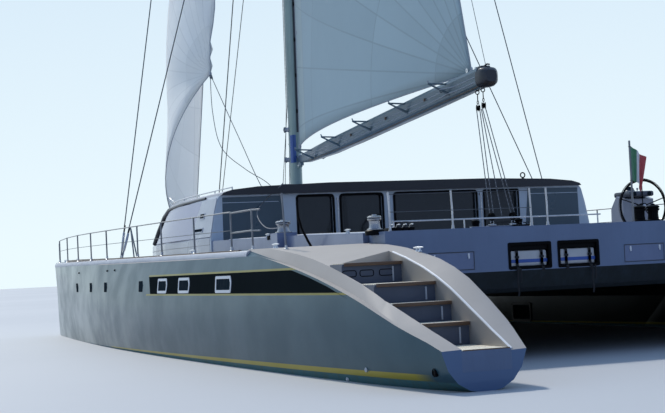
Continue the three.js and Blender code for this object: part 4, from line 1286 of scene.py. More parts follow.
@dataclass(frozen=True)
class Cloth(Finish):
    """Woven fabric with soft colour changes."""

    name: str
    colour: Colour
    threads: float = 1400.0
    depth: float = 0.35
    sheen: float = 0.25

    def dress(self, g: Graph, shader: Node) -> None:
        """Crosses the threads and fades the colour.

        Args:
            g: the material's node graph.
            shader: the shader node that it feeds.
        """
        weave = g.own(weave_group(), Vector=self.place(g), Threads=self.threads)
        worn = self.weathering(g, 4.0)
        dark = dimmed(self.colour, 0.78)
        colour = g.blend(weave.outputs["Height"], dark, self.colour)
        colour = g.blend(g.times(worn.outputs["Cloud"], 0.3), colour, dark)
        wire_up(g, shader, {"Base Color": colour, "Roughness": 0.88, "Sheen Weight": self.sheen,
                            "Normal": g.bump(weave.outputs["Height"], self.depth, 0.0006)})


@dataclass(frozen=True)
class Netting(Finish):
    """A knotted net: cords that cross on the sheet's UV map, with holes between them."""

    name: str = "netting"
    colour: Colour = (0.045, 0.05, 0.055)
    mesh: float = 0.05
    cord: float = 0.011

    def dress(self, g: Graph, shader: Node) -> None:
        """Cuts the holes by alpha and rounds the cords by bump.

        Args:
            g: the material's node graph.
            shader: the shader node that it feeds.
        """
        parts = g.split(g.flat())
        gaps = []
        for i in range(2):
            step = g.math("FRACT", g.over(parts[i], self.mesh))
            gaps.append(g.times(g.math("ABSOLUTE", g.less(step, 0.5)), self.mesh))
        cords = g.either(*(g.inside(v, self.mesh / 2 - self.cord / 2, 1.0, 0.002) for v in gaps))
        knots = g.times(*(g.inside(v, self.mesh / 2 - self.cord / 2, 1.0, 0.004) for v in gaps))
        colour = g.blend(knots, self.colour, dimmed(self.colour, 1.8))
        wire_up(g, shader, {"Base Color": colour, "Roughness": 0.8, "Alpha": cords,
                            "Normal": g.bump(g.add(cords, knots), 0.4, 0.003)})


@dataclass(frozen=True)
class Rope(Finish):
    """Braided line with a coloured tracer."""

    name: str
    colour: Colour
    tracer: Colour = (0.1, 0.1, 0.1)
    braid: float = 260.0

    def dress(self, g: Graph, shader: Node) -> None:
        """Crosses the strands on the object's coordinates.

        Args:
            g: the material's node graph.
            shader: the shader node that it feeds.
        """
        x, y, z = g.split(self.place(g))
        run, slant = g.add(g.add(x, y), z), g.less(g.add(x, y), z)
        one = g.math("ABSOLUTE", g.math("SINE", g.times(run, self.braid)))
        two = g.math("ABSOLUTE", g.math("SINE", g.times(slant, self.braid)))
        strands = g.either(one, two)
        fleck = g.ramp(g.math("SINE", g.times(run, self.braid / 4)), 0.8, 0.95)
        colour = g.blend(strands, dimmed(self.colour, 0.7), self.colour)
        colour = g.blend(fleck, colour, self.tracer)
        wire_up(g, shader, {"Base Color": colour, "Roughness": 0.85, "Sheen Weight": 0.2,
                            "Normal": g.bump(strands, 0.5, 0.002)})


@dataclass(frozen=True)
class Bunting(Finish):
    """Three bands of colour across the flag's UV map."""

    name: str = "bunting"
    first: Colour = (0.02, 0.22, 0.08)
    middle: Colour = (0.72, 0.73, 0.74)
    last: Colour = (0.55, 0.03, 0.04)

    def dress(self, g: Graph, shader: Node) -> None:
        """Dyes the bands and adds the weave of the cloth.

        Args:
            g: the material's node graph.
            shader: the shader node that it feeds.
        """
        flat = g.flat()
        along = g.split(flat)[0]
        colour = g.blend(g.inside(along, 0.333, 2.0), self.first, self.middle)
        colour = g.blend(g.inside(along, 0.667, 2.0), colour, self.last)
        weave = g.own(weave_group(), Vector=flat)
        fade = g.noise(flat, 5.0)
        colour = g.blend(g.times(fade, 0.3), colour, (0.5, 0.5, 0.5))
        wire_up(g, shader, {"Base Color": colour, "Roughness": 0.9, "Sheen Weight": 0.3,
                            "Normal": g.bump(weave.outputs["Height"], 0.3, 0.0005)})


def geometry_group(name: str, inputs: dict[str, str]) -> tuple[bpy.types.NodeTree, Graph, Node, Node]:
    """Starts a Geometry Nodes group with a geometry in and out.

    Args:
        name: the group's name.
        inputs: names and socket types of its other inputs.

    Returns:
        The group, a graph on it, and its input and output nodes.
    """
    group = bpy.data.node_groups.new(name, "GeometryNodeTree")
    group.interface.new_socket("Geometry", in_out="INPUT", socket_type="NodeSocketGeometry")
    for key, kind in inputs.items():
        group.interface.new_socket(key, in_out="INPUT", socket_type=kind)
    group.interface.new_socket("Geometry", in_out="OUTPUT", socket_type="NodeSocketGeometry")
    return group, Graph(group), group.nodes.new("NodeGroupInput"), group.nodes.new("NodeGroupOutput")


def finish_tree(g: Graph, shape: Socket, entry: Node, leave: Node) -> None:
    """Ends a tree in Realize Instances and Set Material.

    Args:
        g: the tree's node graph.
        shape: the geometry to finish.
        entry: the tree's input node.
        leave: its output node.
    """
    real = g.node("GeometryNodeRealizeInstances", {"Geometry": shape}).outputs["Geometry"]
    dressed = g.node("GeometryNodeSetMaterial", {"Geometry": real, "Material": entry.outputs["Finish"]})
    g.tree.links.new(dressed.outputs["Geometry"], leave.inputs["Geometry"])


@cache
def row_tree() -> bpy.types.NodeTree:
    """Builds the tree that repeats its geometry along a straight row.

    Returns:
        The tree.
    """
    group, g, entry, leave = geometry_group("row", {"Start": "NodeSocketVector", "Step": "NodeSocketVector",
        "Count": "NodeSocketInt", "Finish": "NodeSocketMaterial"})
    line = g.node("GeometryNodeMeshLine", {"Count": entry.outputs["Count"], "Offset": entry.outputs["Step"],
        "Start Location": entry.outputs["Start"]}, mode="OFFSET")
    spread = g.node("GeometryNodeInstanceOnPoints", {"Points": line.outputs["Mesh"],
        "Instance": entry.outputs["Geometry"]})
    finish_tree(g, spread.outputs["Instances"], entry, leave)
    return group


@cache
def line_tree() -> bpy.types.NodeTree:
    """Builds the tree that sweeps a round line along its path.

    Returns:
        The tree.
    """
    group, g, entry, leave = geometry_group("line", {"Radius": "NodeSocketFloat", "Sides": "NodeSocketInt",
        "Finish": "NodeSocketMaterial"})
    course = g.node("GeometryNodeMeshToCurve", {"Mesh": entry.outputs["Geometry"]}).outputs["Curve"]
    section = g.node("GeometryNodeCurvePrimitiveCircle", {"Resolution": entry.outputs["Sides"],
        "Radius": entry.outputs["Radius"]})
    swept = g.node("GeometryNodeCurveToMesh", {"Curve": course, "Profile Curve": section.outputs["Curve"],
        "Fill Caps": True})
    finish_tree(g, swept.outputs["Mesh"], entry, leave)
    return group


@cache
def ring_tree() -> bpy.types.NodeTree:
    """Builds the tree that strings rings along its path, square to it.

    Returns:
        The tree.
    """
    group, g, entry, leave = geometry_group("rings", {
        "Radius": "NodeSocketFloat", "Thickness": "NodeSocketFloat", "Spacing": "NodeSocketFloat",
        "Finish": "NodeSocketMaterial"})
    course = g.node("GeometryNodeMeshToCurve", {"Mesh": entry.outputs["Geometry"]}).outputs["Curve"]
    spaced = g.node("GeometryNodeResampleCurve", {"Curve": course, "Length": entry.outputs["Spacing"]},
                    mode="LENGTH")
    loop = g.node("GeometryNodeCurvePrimitiveCircle", {"Resolution": 14, "Radius": entry.outputs["Radius"]})
    section = g.node("GeometryNodeCurvePrimitiveCircle",
        {"Resolution": 6, "Radius": entry.outputs["Thickness"]})
    torus = g.node("GeometryNodeCurveToMesh", {"Curve": loop.outputs["Curve"],
        "Profile Curve": section.outputs["Curve"]})
    facing = g.node("FunctionNodeAlignRotationToVector", {
        "Vector": g.node("GeometryNodeInputTangent").outputs["Tangent"]}, axis="Z")
    spread = g.node("GeometryNodeInstanceOnPoints", {"Points": spaced.outputs["Curve"],
        "Instance": torus.outputs["Mesh"], "Rotation": facing.outputs["Rotation"]})
    finish_tree(g, spread.outputs["Instances"], entry, leave)
    return group


def outward(data: bpy.types.Mesh, crease: float = CREASE) -> None:
    """Merges a mesh's doubles, turns its faces outward and smooths it up to the crease.

    Args:
        data: the mesh.
        crease: angle past which an edge stays sharp.
    """
    mesh = bmesh.new()
    mesh.from_mesh(data)
    bmesh.ops.remove_doubles(mesh, verts=mesh.verts, dist=2e-5)
    bmesh.ops.recalc_face_normals(mesh, faces=mesh.faces)
    mesh.to_mesh(data)
    mesh.free()
    data.shade_smooth()
    data.set_sharp_from_angle(angle=crease)


def grown(name: str, tree: bpy.types.NodeTree, source: bpy.types.Mesh, values: dict[str, object],
          finish: Finish, body: str, slot: str | None = None) -> bpy.types.Object:
    """Runs a Geometry Nodes tree on a mesh and keeps the result as a plain piece.

    Args:
        name: the piece's name.
        tree: the tree.
        source: the mesh that it starts from.
        values: the tree's inputs by name.
        finish: the piece's finish.
        body: the body it moves with, or nothing for a piece that is blended later.
        slot: the record's material slot.

    Returns:
        The new object.
    """
    obj = placed(name, source)
    grow = obj.modifiers.new("Grow", "NODES")
    grow.node_group = tree
    given = dict(values, Finish=material_of(finish))
    for item in tree.interface.items_tree:
        if item.item_type == "SOCKET" and item.in_out == "INPUT" and item.name in given:
            grow[item.identifier] = given[item.name]
    result = evaluated(obj)
    obj.modifiers.clear()
    obj.data = result
    bpy.data.meshes.remove(source)
    result.name = name
    if not result.materials:
        result.materials.append(material_of(finish))
    outward(result)
    return declared(obj, body, slot)


def row(name: str, item: Shape, start: Sequence[float], step: Sequence[float], count: int, finish: Finish,
        body: str = "root", slot: str | None = None) -> bpy.types.Object:
    """Repeats an item that is built about the origin along a straight row."""
    values = {"Start": tuple(map(float, start)), "Step": tuple(map(float, step)), "Count": int(count)}
    return grown(name, row_tree(), item.plain(name), values, finish, body, slot)


def path_mesh(name: str, paths: Iterable[Sequence[Sequence[float]]]) -> bpy.types.Mesh:
    """Turns paths of points into a mesh of edges.

    Args:
        name: the mesh's name.
        paths: each path's points, in order.

    Returns:
        The mesh.
    """
    points, edges = [], []
    for path in paths:
        edges += [(len(points) + i, len(points) + i + 1) for i in range(len(path) - 1)]
        points += [tuple(p) for p in path]
    data = bpy.data.meshes.new(name)
    data.from_pydata(points, edges, [])
    return data


def lines(name: str, paths: Iterable[Sequence[Sequence[float]]], radius: float, finish: Finish,
          body: str = "root", slot: str | None = None, sides: int = 8) -> bpy.types.Object:
    """Sweeps wires, ropes or bars along their paths."""
    return grown(name, line_tree(), path_mesh(name, paths), {"Radius": float(radius), "Sides": int(sides)},
                 finish, body, slot)


def rings(name: str, paths: Iterable[Sequence[Sequence[float]]], radius: float, thickness: float,
          spacing: float, finish: Finish, body: str = "root", slot: str | None = None) -> bpy.types.Object:
    """Strings rings along their paths.

    Args:
        name: the piece's name.
        paths: each path's points, in order.
        radius: radius of a ring.
        thickness: radius of a ring's wire.
        spacing: distance between rings.
        finish: the piece's finish.
        body: the body it moves with.
        slot: the record's material slot.

    Returns:
        The new object.
    """
    return grown(name, ring_tree(), path_mesh(name, paths),
        {"Radius": float(radius), "Thickness": float(thickness), "Spacing": float(spacing)}, finish, body,
        slot)


HULL = HullPaint()
WHITE = Paint("deck_paint", (0.5, 0.52, 0.58), 0.45)
HOUSE_WHITE = Paint("house_paint", (0.5, 0.53, 0.6), 0.28, coat=0.4)
# Near white; along the stern wings' inner edges it is a painted highlight.
EDGE_WHITE = Paint("edge_paint", (0.85, 0.86, 0.88), 0.35)
RIM_PAINT = Paint("rim_paint", (0.5, 0.54, 0.62), 0.35)
# Blue-violet on the locker doors, coamings and sheet console: painted shade of faces turned from the sun.
PANEL_SHADE = Paint("panel_paint", (0.15, 0.2, 0.34), 0.32, 0.1, coat=0.3)
# Dark navy sheet on the aft bulkhead: painted shade of the aft-facing wall.
BULKHEAD_SHADE = Paint("navy_panel", (0.042, 0.085, 0.12), 0.3, coat=0.4)
LILAC = Paint("lilac_panel", (0.56, 0.66, 0.76), 0.35, coat=0.3)
SLATE = Paint("slate_paint", (0.09, 0.1, 0.13), 0.4, 0.1)
SLATE_DARK = Paint("dark_slate_paint", (0.025, 0.03, 0.04), 0.4, 0.1)
DARK = Paint("dark_paint", (0.02, 0.022, 0.026), 0.42)
BLACK = Paint("black_plastic", (0.006, 0.006, 0.007), 0.4, coat=0.0, streaks=0.0, gloss=0.05)
BAND = Paint("band_glass", (0.011, 0.015, 0.017), 0.2, coat=0.0, gloss=0.0)
GRIP = Paint("grip_paint", (0.36, 0.39, 0.43), 0.8, coat=0.0, scale=3.0, texture=0.6)
CANISTER = Paint("canister_plastic", (0.55, 0.56, 0.58), 0.45, coat=0.1)
BLUE_BAND = Paint("blue_band", (0.03, 0.1, 0.42), 0.4)
ANTIFOULING = Paint("antifouling", (0.03, 0.1, 0.12), 0.7, coat=0.0, streaks=0.5)
SPAR = Paint("spar_paint", (0.13, 0.2, 0.24), 0.32, 0.25, coat=0.35)
BOOM_LIGHT = Paint("boom_strip", (0.34, 0.4, 0.46), 0.3, 0.2)
BOOM_BROWN = Paint("boom_edge", (0.14, 0.1, 0.07), 0.45)
MAST_PAINT = Paint("mast_paint", (0.28, 0.38, 0.36), 0.32, 0.25, coat=0.35)
BROWN = Paint("brown_cap", (0.12, 0.065, 0.035), 0.5)
BLUE_PATCH = Paint("blue_patch", (0.05, 0.13, 0.4), 0.5)
LEATHER = Paint("grip_leather", (0.02, 0.02, 0.022), 0.6, coat=0.0, scale=6.0, texture=0.3)
STEEL = Metal("steel", (0.62, 0.63, 0.65))
CHROME = Metal("chrome", (0.46, 0.47, 0.49), 0.16, 0.02)
RAIL_STEEL = Metal("rail_steel", (0.24, 0.25, 0.27), 0.3)
WHITE_METAL = Metal("pale_metal", (0.8, 0.81, 0.83), 0.3)
ALUMINIUM = Metal("aluminium", (0.4, 0.42, 0.45), 0.35)
WIRE = Metal("wire", (0.16, 0.17, 0.18), 0.4)
BRONZE = Metal("bronze", (0.5, 0.33, 0.13), 0.28)
DARK_GLASS = Glass("dark_glass", (0.02, 0.025, 0.03), 0.35)
PORT_GLASS = Glass("port_glass", (0.012, 0.02, 0.028), 0.0, 0.12, 0.0)
SCREEN_GLASS = Glass("screen_glass", (0.2, 0.22, 0.28), 0.3, 0.06)
LILAC_GLASS = Glass("lilac_glass", (0.36, 0.37, 0.52), 0.1, 0.12)
TEAK = Teak("teak", (0.3, 0.2, 0.12))
TREAD_TEAK = Teak("tread_teak", (0.92, 0.78, 0.6), 0.06, turned=True)
MAIN_CLOTH = Sailcloth("mainsail_cloth")
HEAD_CLOTH = Sailcloth("headsail_cloth", (0.86, 0.87, 0.82), (0.8, 0.8, 0.74), 7.16, 0.348, 0.3, 18.0, 3.2,
    0.14, through=0.6)
CUSHION = Cloth("cushion_cloth", (0.5, 0.49, 0.46))
SETTEE = Cloth("settee_cloth", (0.22, 0.24, 0.28))
SEAM_TAPE = Cloth("seam_tape", (0.36, 0.46, 0.5), 900.0)
TAPE = Cloth("tape_cloth", (0.4, 0.43, 0.47), 900.0)
STRAP = Cloth("strap_cloth", (0.012, 0.012, 0.014), 900.0)
NET = Netting()
ROPE_DARK = Rope("dark_rope", (0.05, 0.055, 0.065), (0.3, 0.3, 0.32))
ROPE_GREY = Rope("grey_rope", (0.16, 0.17, 0.18), (0.4, 0.4, 0.42))
ROPE_LIGHT = Rope("light_rope", (0.5, 0.5, 0.48), (0.05, 0.1, 0.35))
FLAG = Bunting()
# On the steps, the bridge deck and the beam the side and under colours are painted shade, and the steps' aft colour is
# the transom's painted shade.
STAIR_PAINT = ZonedPaint("stair_paint", (0.3, 0.27, 0.26), (0.07, 0.09, 0.14), (0.03, 0.04, 0.05), -12.46,
                         (0.097, 0.155, 0.275))
BRIDGE_PAINT = ZonedPaint("bridge_paint", (0.5, 0.52, 0.58), (0.1, 0.12, 0.16), (0.01, 0.015, 0.014))
BEAM_PAINT = ZonedPaint("beam_paint", (0.34, 0.38, 0.46), (0.15, 0.21, 0.34), (0.01, 0.014, 0.014))
ROOF_PAINT = ZonedPaint("roof_paint", (0.5, 0.53, 0.6), (0.02, 0.022, 0.03), (0.1, 0.12, 0.15))


def paint_nodes(pattern: str, finish: Finish) -> None:
    """Gives a frame node its finish, or a pair of them where the name has a star for the side.

    Args:
        pattern: the node's name.
        finish: its finish.
    """
    for name in sorted({pattern.replace("*", side) for side in SIDES}):
        data = frame["nodes"][name].data
        data.materials.clear()
        data.materials.append(material_of(finish))


def frame_surface(*nodes: str) -> BVHTree:
    """Gathers frame nodes into one tree that rays can hit.

    Args:
        nodes: names of the frame's nodes.

    Returns:
        The tree.
    """
    points, faces = [], []
    for name in nodes:
        data = frame["nodes"][name].data
        base = len(points)
        points += [v.co.copy() for v in data.vertices]
        faces += [[base + i for i in p.vertices] for p in data.polygons]
    return BVHTree.FromPolygons(points, faces)


class Drop(Enum):
    """The way a point is thrown onto a surface."""

    INBOARD = Vector((0, -1, 0))
    OUTBOARD = Vector((0, 1, 0))
    DOWN = Vector((0, 0, -1))
    UP = Vector((0, 0, 1))
    FORWARD = Vector((1, 0, 0))
    AFT = Vector((-1, 0, 0))


def thrown(tree: BVHTree, start: Vector, way: Drop, lift: float = 0.0) -> Vector | None:
    """Throws a point onto a surface.

    Args:
        tree: the surface.
        start: where the ray starts.
        way: its direction.
        lift: how far the result stands off the surface, against the ray.

    Returns:
        The point, or None where the ray misses.
    """
    hit = tree.ray_cast(start, way.value)[0]
    return None if hit is None else hit - way.value * lift


def dropped(tree: BVHTree, x: float, y: float, lift: float = 0.0) -> Vector | None:
    """Drops a point onto a surface from above."""
    return thrown(tree, Vector((x, y, ABOVE)), Drop.DOWN, lift)


def pressed(tree: BVHTree, x: float, z: float, lift: float = 0.0) -> Vector | None:
    """Presses a point onto a surface from the port side."""
    return thrown(tree, Vector((x, ABEAM, z)), Drop.INBOARD, lift)


def glazed(rims: Shape, panes: Shape, seat: Callable[[Sequence[Vector], float], list[Vector]],
           outlines: Sequence[Sequence[Vector]], lifts: Sequence[float], pane: float) -> None:
    """Adds a hatch or port: a rim between two outlines, and a pane in the inner one.

    Args:
        rims: shape that takes the rim.
        panes: shape that takes the pane.
        seat: puts an outline on the surface, at a lift.
        outlines: the outer and the inner outline.
        lifts: of the rim's outer foot and top, then of its inner top and foot.
        pane: lift of the pane's face.
    """
    outer, inner = outlines
    ring = [seat(line, lift) for line, lift in zip((outer, outer, inner, inner), lifts)]
    rims.skin(ring, looped=True)
    panes.skin([ring[3], seat(inner, pane)])


@dataclass
class Sails:
    """Mainsail and headsail as sheets of cloth that stand for the frame's thin solids."""

    thickness: float = 0.006
    head_z: float = 30.8
    tack_lift: float = 0.22
    main_clew_x: float = -3.45
    main_draft: float = 0.22
    main_twist: float = 0.02
    roach: float = 0.9
    head_tack: Point = (15.3, 0.0, 2.05)
    head_clew: Point = (6.7, 1.84, 6.2)
    foot_fullness: Pair = (0.2, 0.4)
    body_fullness: Pair = (0.672, -0.224)
    full_from: float = 0.17
    foot_round: float = 0.5
    battens: int = 6
    reefs: tuple[float, ...] = (0.1, 0.2, 0.31)
    reef_ends: Pair = (0.03, 0.97)
    main_flat: Pair = (9.25, 26.6)
    head_flat: Pair = (9.9, 29.7)

    def main_at(self, u: float, v: float) -> Vector:
        """Gives a point of the mainsail.

        Args:
            u: 0 at the luff and 1 at the leech.
            v: 0 at the foot and 1 at the head.

        Returns:
            The point.
        """
        tack_z = boom_top(axis_x(GOOSENECK_Z) - 0.4) + self.tack_lift
        z = lerp(tack_z, self.head_z, v)
        luff = Vector((axis_x(z) - 0.04, 0, z))
        head = Vector((axis_x(self.head_z) - 0.2, 0, self.head_z))
        leech = Vector((self.main_clew_x, 0, boom_top(self.main_clew_x) + 0.02)).lerp(head, v)
        leech.x -= self.roach * math.sin(math.pi * v) * (1 - 0.25 * v)
        chord = (luff - leech).length
        p = luff.lerp(leech, u)
        p.y += chord * (self.main_draft * u * (1 - u) * (1.25 - 0.5 * u)
                        + self.main_twist * u * math.sin(math.pi * v))
        p.y += 0.012 * math.sin(u * 9 + v * 31) * math.sin(math.pi * u) * min(1.0, v * 6)
        return p

    def headsail_at(self, u: float, v: float) -> Vector:
        """Gives a point of the headsail.

        Args:
            u: 0 at the luff and 1 at the leech.
            v: 0 at the foot and 1 at the head.

        Returns:
            The point.
        """
        head = Vector((mast_x(MAST_TOP_Z) + 0.36, 0, MAST_TOP_Z - 1.3))
        luff = Vector(self.head_tack).lerp(head, v)
        leech = Vector(self.head_clew).lerp(head + Vector((-0.09, 0.04, -0.26)), v)
        chord = (luff - leech).length
        start, change = (lerp(low, high, min(1.0, v / self.full_from))
                         for low, high in zip(self.foot_fullness, self.body_fullness))
        p = luff.lerp(leech, u)
        p.y += (start + change * u) * chord * u * (1 - u)
        p.z -= self.foot_round * math.sin(math.pi * u) * (1 - v) ** 8
        near_clew = max(0.0, 1 - math.hypot((1 - u) * 1.4, v * 3.2))
        p.y += 0.05 * near_clew * math.sin(14 * math.atan2(v * 2.2, 1.05 - u))
        p.y += 0.03 * math.sin(v * 46 + 5 * u) * math.sin(math.pi * u) * (1 - v)
        return p

    def build(self) -> None:
        main_clew = Vector((self.main_clew_x, 0, boom_top(self.main_clew_x)))
        main = ("mainsail", "boom", self.main_at, MAIN_CLOTH, 64, 110, main_clew, "mast", self.main_flat)
        head = ("headsail", "root", self.headsail_at, HEAD_CLOTH, 48, 120, Vector(self.head_clew), "bowsprit",
                self.head_flat)
        for node, body, at, cloth, columns, rows, clew, support, (width, length) in (main, head):
            name = f"{node}_cloth"

            def flat(u: float, v: float, at: Surface = at, clew: Vector = clew) -> Pair:
                """Place in metres from the clew, in the plane of the sail."""
                p = at(u, v)
                return p.x - clew.x, p.z - clew.z
            sail = Shape().surface(at, columns, rows, flat).piece(name, cloth, "sail", body, closed=False)
            body_of_cloth = sail.modifiers.new("Thickness", "SOLIDIFY")
            body_of_cloth.thickness, body_of_cloth.offset = self.thickness, 0.0
            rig.replaces(sail, node)
            trim = self.trim(name, body, at)
            area = sum(p.area for p in sail.data.polygons)
            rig.sheet(sail, flat=(width, length), held="hung", rests_on=[support], area=round(area, 1),
                     with_pieces=trim)
            LOG.info("%s: %.1f square metres of cloth", name, area)

    def trim(self, name: str, body: str, at: Surface) -> list[bpy.types.Object]:
        """Adds the leech tape, the luff rope, the foot tape and the corner patches.

        Args:
            name: the sail's name.
            body: the body it rides on.
            at: the sail's surface.

        Returns:
            The new pieces.
        """
        edge = Shape()
        steps = 60
        edge.tube([at(0.0, i / steps) for i in range(steps + 1)], 0.016, 6)
        edge.tube([at(1.0, i / steps) for i in range(steps + 1)], 0.011, 6)
        edge.tube([at(i / 24, 0.0) for i in range(25)], 0.011, 6)
        for u, v in ((1.0, 0.0), (0.0, 0.0)):
            p, course = at(u, v), Vector((0, 1, 0))
            edge.lathe(p - course * 0.03, course, [(0.03, 0.0), (0.06, 0.012), (0.06, 0.048), (0.03, 0.06)],
                16)
        made = [edge.piece(f"{name}_edges", TAPE, "sail", body)]
        if body == "boom":
            made += self.main_trim(at)
        return made

    def main_trim(self, at: Surface) -> list[bpy.types.Object]:
        """Adds the mainsail's batten pockets, reef eyes and headboard.

        Args:
            at: the sail's surface.

        Returns:
            The pieces.
        """
        def proud(u: float, v: float, side: float = 1.0) -> Vector:
            """A point just off the sail."""
            return at(u, v) + Vector((0, 0.005 * side, 0))
        pockets = Shape()
        for k in range(self.battens):
            v = lerp(0.14, 0.93, k / (self.battens - 1))
            pockets.tube([proud(0.012 + 0.985 * i / 40, v + 0.012 * i / 40) for i in range(41)], 0.011, 6)
        eyes = Shape()
        for v in self.reefs:
            for u in (self.reef_ends[0], 0.25, 0.4, 0.55, 0.7, self.reef_ends[1]):
                radius = 0.045 if u in self.reef_ends else 0.018
                eyes.ring(at(u, v), (0.0, 1.0, 0.0), radius, radius * 0.3, 14)
        corners = ((0.0, 0.008, 0.0), (-0.16, 0.008, 0.0), (-0.2, 0.008, -0.34), (0.0, 0.008, -0.34))
        board = Shape().slab([at(0.0, 1.0) + Vector(d) for d in corners], (0, -0.016, 0))
        return [pockets.piece("batten_pockets", SEAM_TAPE, "sail", "boom"),
                eyes.piece("reef_eyes", STEEL, "steel", "boom"),
                board.piece("headboard", ALUMINIUM, "spar", "boom")]


@dataclass
class Hulls:
    """Smooth hull shells with portlights, rails, wing edges in painted highlight and fittings."""

    slits: tuple[float, ...] = (7.26, 5.21, 3.42, 0.1)
    lights: tuple[Pair, ...] = ((-1.54, 0.62), (-2.96, 0.66), (-5.18, 0.78))
    sill: float = 1.13
    head: float = 1.39
    slant: float = 0.12
    rail_ends: Pair = (9.2, -5.6)
    gunwale_ends: Pair = (11.9, -6.1)
    crest: tuple[Pair, ...] = ((-12.7, 0.38), (-11.0, 0.88), (-9.6, 1.21), (-8.9, 1.34), (-8.0, 1.48),
        (-5.6, 1.81))
    well_inner: float = 4.262
    outlets: tuple[Point, ...] = (
        (-12.2, 0.22, 0.05), (6.9, 1.6, 0.02), (3.4, 1.6, 0.02), (2.6, 1.6, 0.02))
    drains: tuple[Point, ...] = ((-10.5, 0.18, 0.03), (-9.8, 0.03, 0.025))
    cleats: tuple[Pair, ...] = ((-9.6, 4.02), (-6.6, 4.95), (-2.2, 4.98), (11.6, 4.55), (9.0, 4.75))
    escape: tuple[Pair, ...] = ((3.05, 0.02), (3.05, 0.46), (2.15, 0.46), (2.15, 0.02))
    tunnel_y: float = 0.4

    def build(self) -> None:
        """Builds both hulls' shells and all that is on them."""
        self.tree = frame_surface("hull_port")
        for name, side in SIDES.items():
            shell = Shape().copied(f"hull_{name}").piece(
                f"hull_shell_{name}", HULL, "hull", crease=math.radians(28))
            self.fold(shell.data)
            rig.replaces(shell, f"hull_{name}")
            self.band(name, side)
            self.portlights(name, side)
            self.rails(name, side)
            self.fittings(name, side)

    def fold(self, data: bpy.types.Mesh) -> None:
        """Keeps a sharp edge wherever an upward face meets a side.

        Args:
            data: the hull's mesh.
        """
        mesh = bmesh.new()
        mesh.from_mesh(data)
        for edge in mesh.edges:
            if len(edge.link_faces) == 2:
                limit = HULL.up_from - (HULL.wing_ease if edge.verts[0].co.x < HULL.wing_x else 0.0)
                one, two = (f.normal.z > limit for f in edge.link_faces)
                edge.smooth = edge.calc_face_angle() < math.radians(30) and one == two
        mesh.to_mesh(data)
        mesh.free()

    def seated(self, points: Iterable[Vector], lift: float, side: float) -> list[Vector]:
        """Throws points onto the hull's outer face.

        Args:
            points: points whose x and z count.
            lift: how far they stand off the hull.
            side: 1 for port and -1 for starboard.

        Returns:
            The points on the hull.
        """
        hits = [pressed(self.tree, p[0], p[2], lift) for p in points]
        return turned(hits, side)

    def band(self, name: str, side: float) -> None:
        """Lays the dark band along the topsides, cut off aft by the wing's crest.

        Args:
            name: the side's name.
            side: the side's sign.
        """
        shape = Shape()

        def at(u: float, v: float, lift: float) -> Vector:
            """A point of the band.

            Args:
                u: share of its length, from the front.
                v: share of its height.
                lift: distance off the hull.

            Returns:
                The point.
            """
            x = lerp(HULL.band_front - 0.3 * (1 - v), HULL.band_aft, u)
            z = lerp(HULL.band_low, HULL.band_high, v)
            crest = next((lerp(c0, c1, (x - a) / (b - a))
                for (a, c0), (b, c1) in zip(self.crest, self.crest[1:]) if x <= b), 9.0)
            hit = pressed(self.tree, x, min(z, crest - 0.02), lift)
            return Vector((hit.x, hit.y * side, hit.z))
        shape.shell(lambda u, v: at(u, v, 0.0035), lambda u, v: at(u, v, -0.006), 90, 3)
        shape.piece(f"hull_band_{name}", BAND, "glass")

    def portlights(self, name: str, side: float) -> None:
        """Adds the framed lights aft and the narrow dark ones forward.

        Args:
            name: the side's name.
            side: the side's sign.
        """
        rims, panes = Shape(), Shape()
        places = [(x, 0.25, 0.0) for x in self.slits] + [(x, w, 0.045) for x, w in self.lights]
        for x, width, margin in places:
            half, trim = width / 2, 0.03 if not margin else 0.0
            low, high = self.sill + trim, self.head - trim
            flat = [Vector((x + half, 0, high)), Vector((x - half + 0.3 * margin, 0, high)),
                    Vector((x - half - self.slant * 0.7, 0, lerp(low, high, 0.62))),
                    Vector((x - half - self.slant, 0, low)), Vector((x + half - self.slant, 0, low))]
            hole = rounded(inset(flat, margin) if margin else flat, 0.02)
            panes.skin([self.seated(hole, -0.02, side), self.seated(hole, 0.008, side)])
            if margin:
                rim = rounded(flat, 0.035)
                rims.skin([self.seated(rim, -0.02, side), self.seated(rim, 0.013, side),
                           self.seated(hole, 0.013, side), self.seated(hole, -0.02, side)], looped=True)
        panes.piece(f"portlight_glass_{name}", PORT_GLASS, "glass")
        rims.piece(f"portlight_rims_{name}", RIM_PAINT, "panel")

    def edge(self, x: float, drop: float, inward: float) -> Vector:
        """A point near the port deck edge at x."""
        return pressed(self.tree, x, deck_height(x) - drop, -inward)

    def rails(self, name: str, side: float) -> None:
        """Adds the toe rail, the rounded gunwale and the bright edges of the stern wings, a painted highlight.

        Args:
            name: the side's name.
            side: the side's sign.
        """
        aft = self.rail_ends[1]
        steps = 60
        toe = []
        for i in range(steps + 1):
            p = self.edge(lerp(self.rail_ends[0], aft, i / steps), 0.1, 0.06)
            top = dropped(self.tree, p.x, p.y)
            toe.append(Vector((p.x, p.y, (top.z if top else deck_height(p.x)) + 0.014)))
        Shape().tube(turned(toe, side), 0.03, 4).piece(f"toe_rail_{name}", BROWN, "teak")
        roll = [self.edge(lerp(*self.gunwale_ends, i / steps), 0.085, 0.05) for i in range(steps + 1)]
        Shape().tube(turned(roll, side), 0.072, 12).piece(f"gunwale_{name}", WHITE, "deck")
        line = []
        for i in range(41):
            x = lerp(-12.47, -9.3, i / 40)
            top = dropped(self.tree, x, self.well_inner - 0.01)
            if top and top.z > 0.3:
                line.append(Vector((x, self.well_inner - 0.01, top.z - 0.002)))
        # Near-white bead along the well's inner edge: painted highlight of the rounded edge.
        lines(f"wing_edge_{name}", [turned(line, side)], 0.015, EDGE_WHITE, slot="deck")

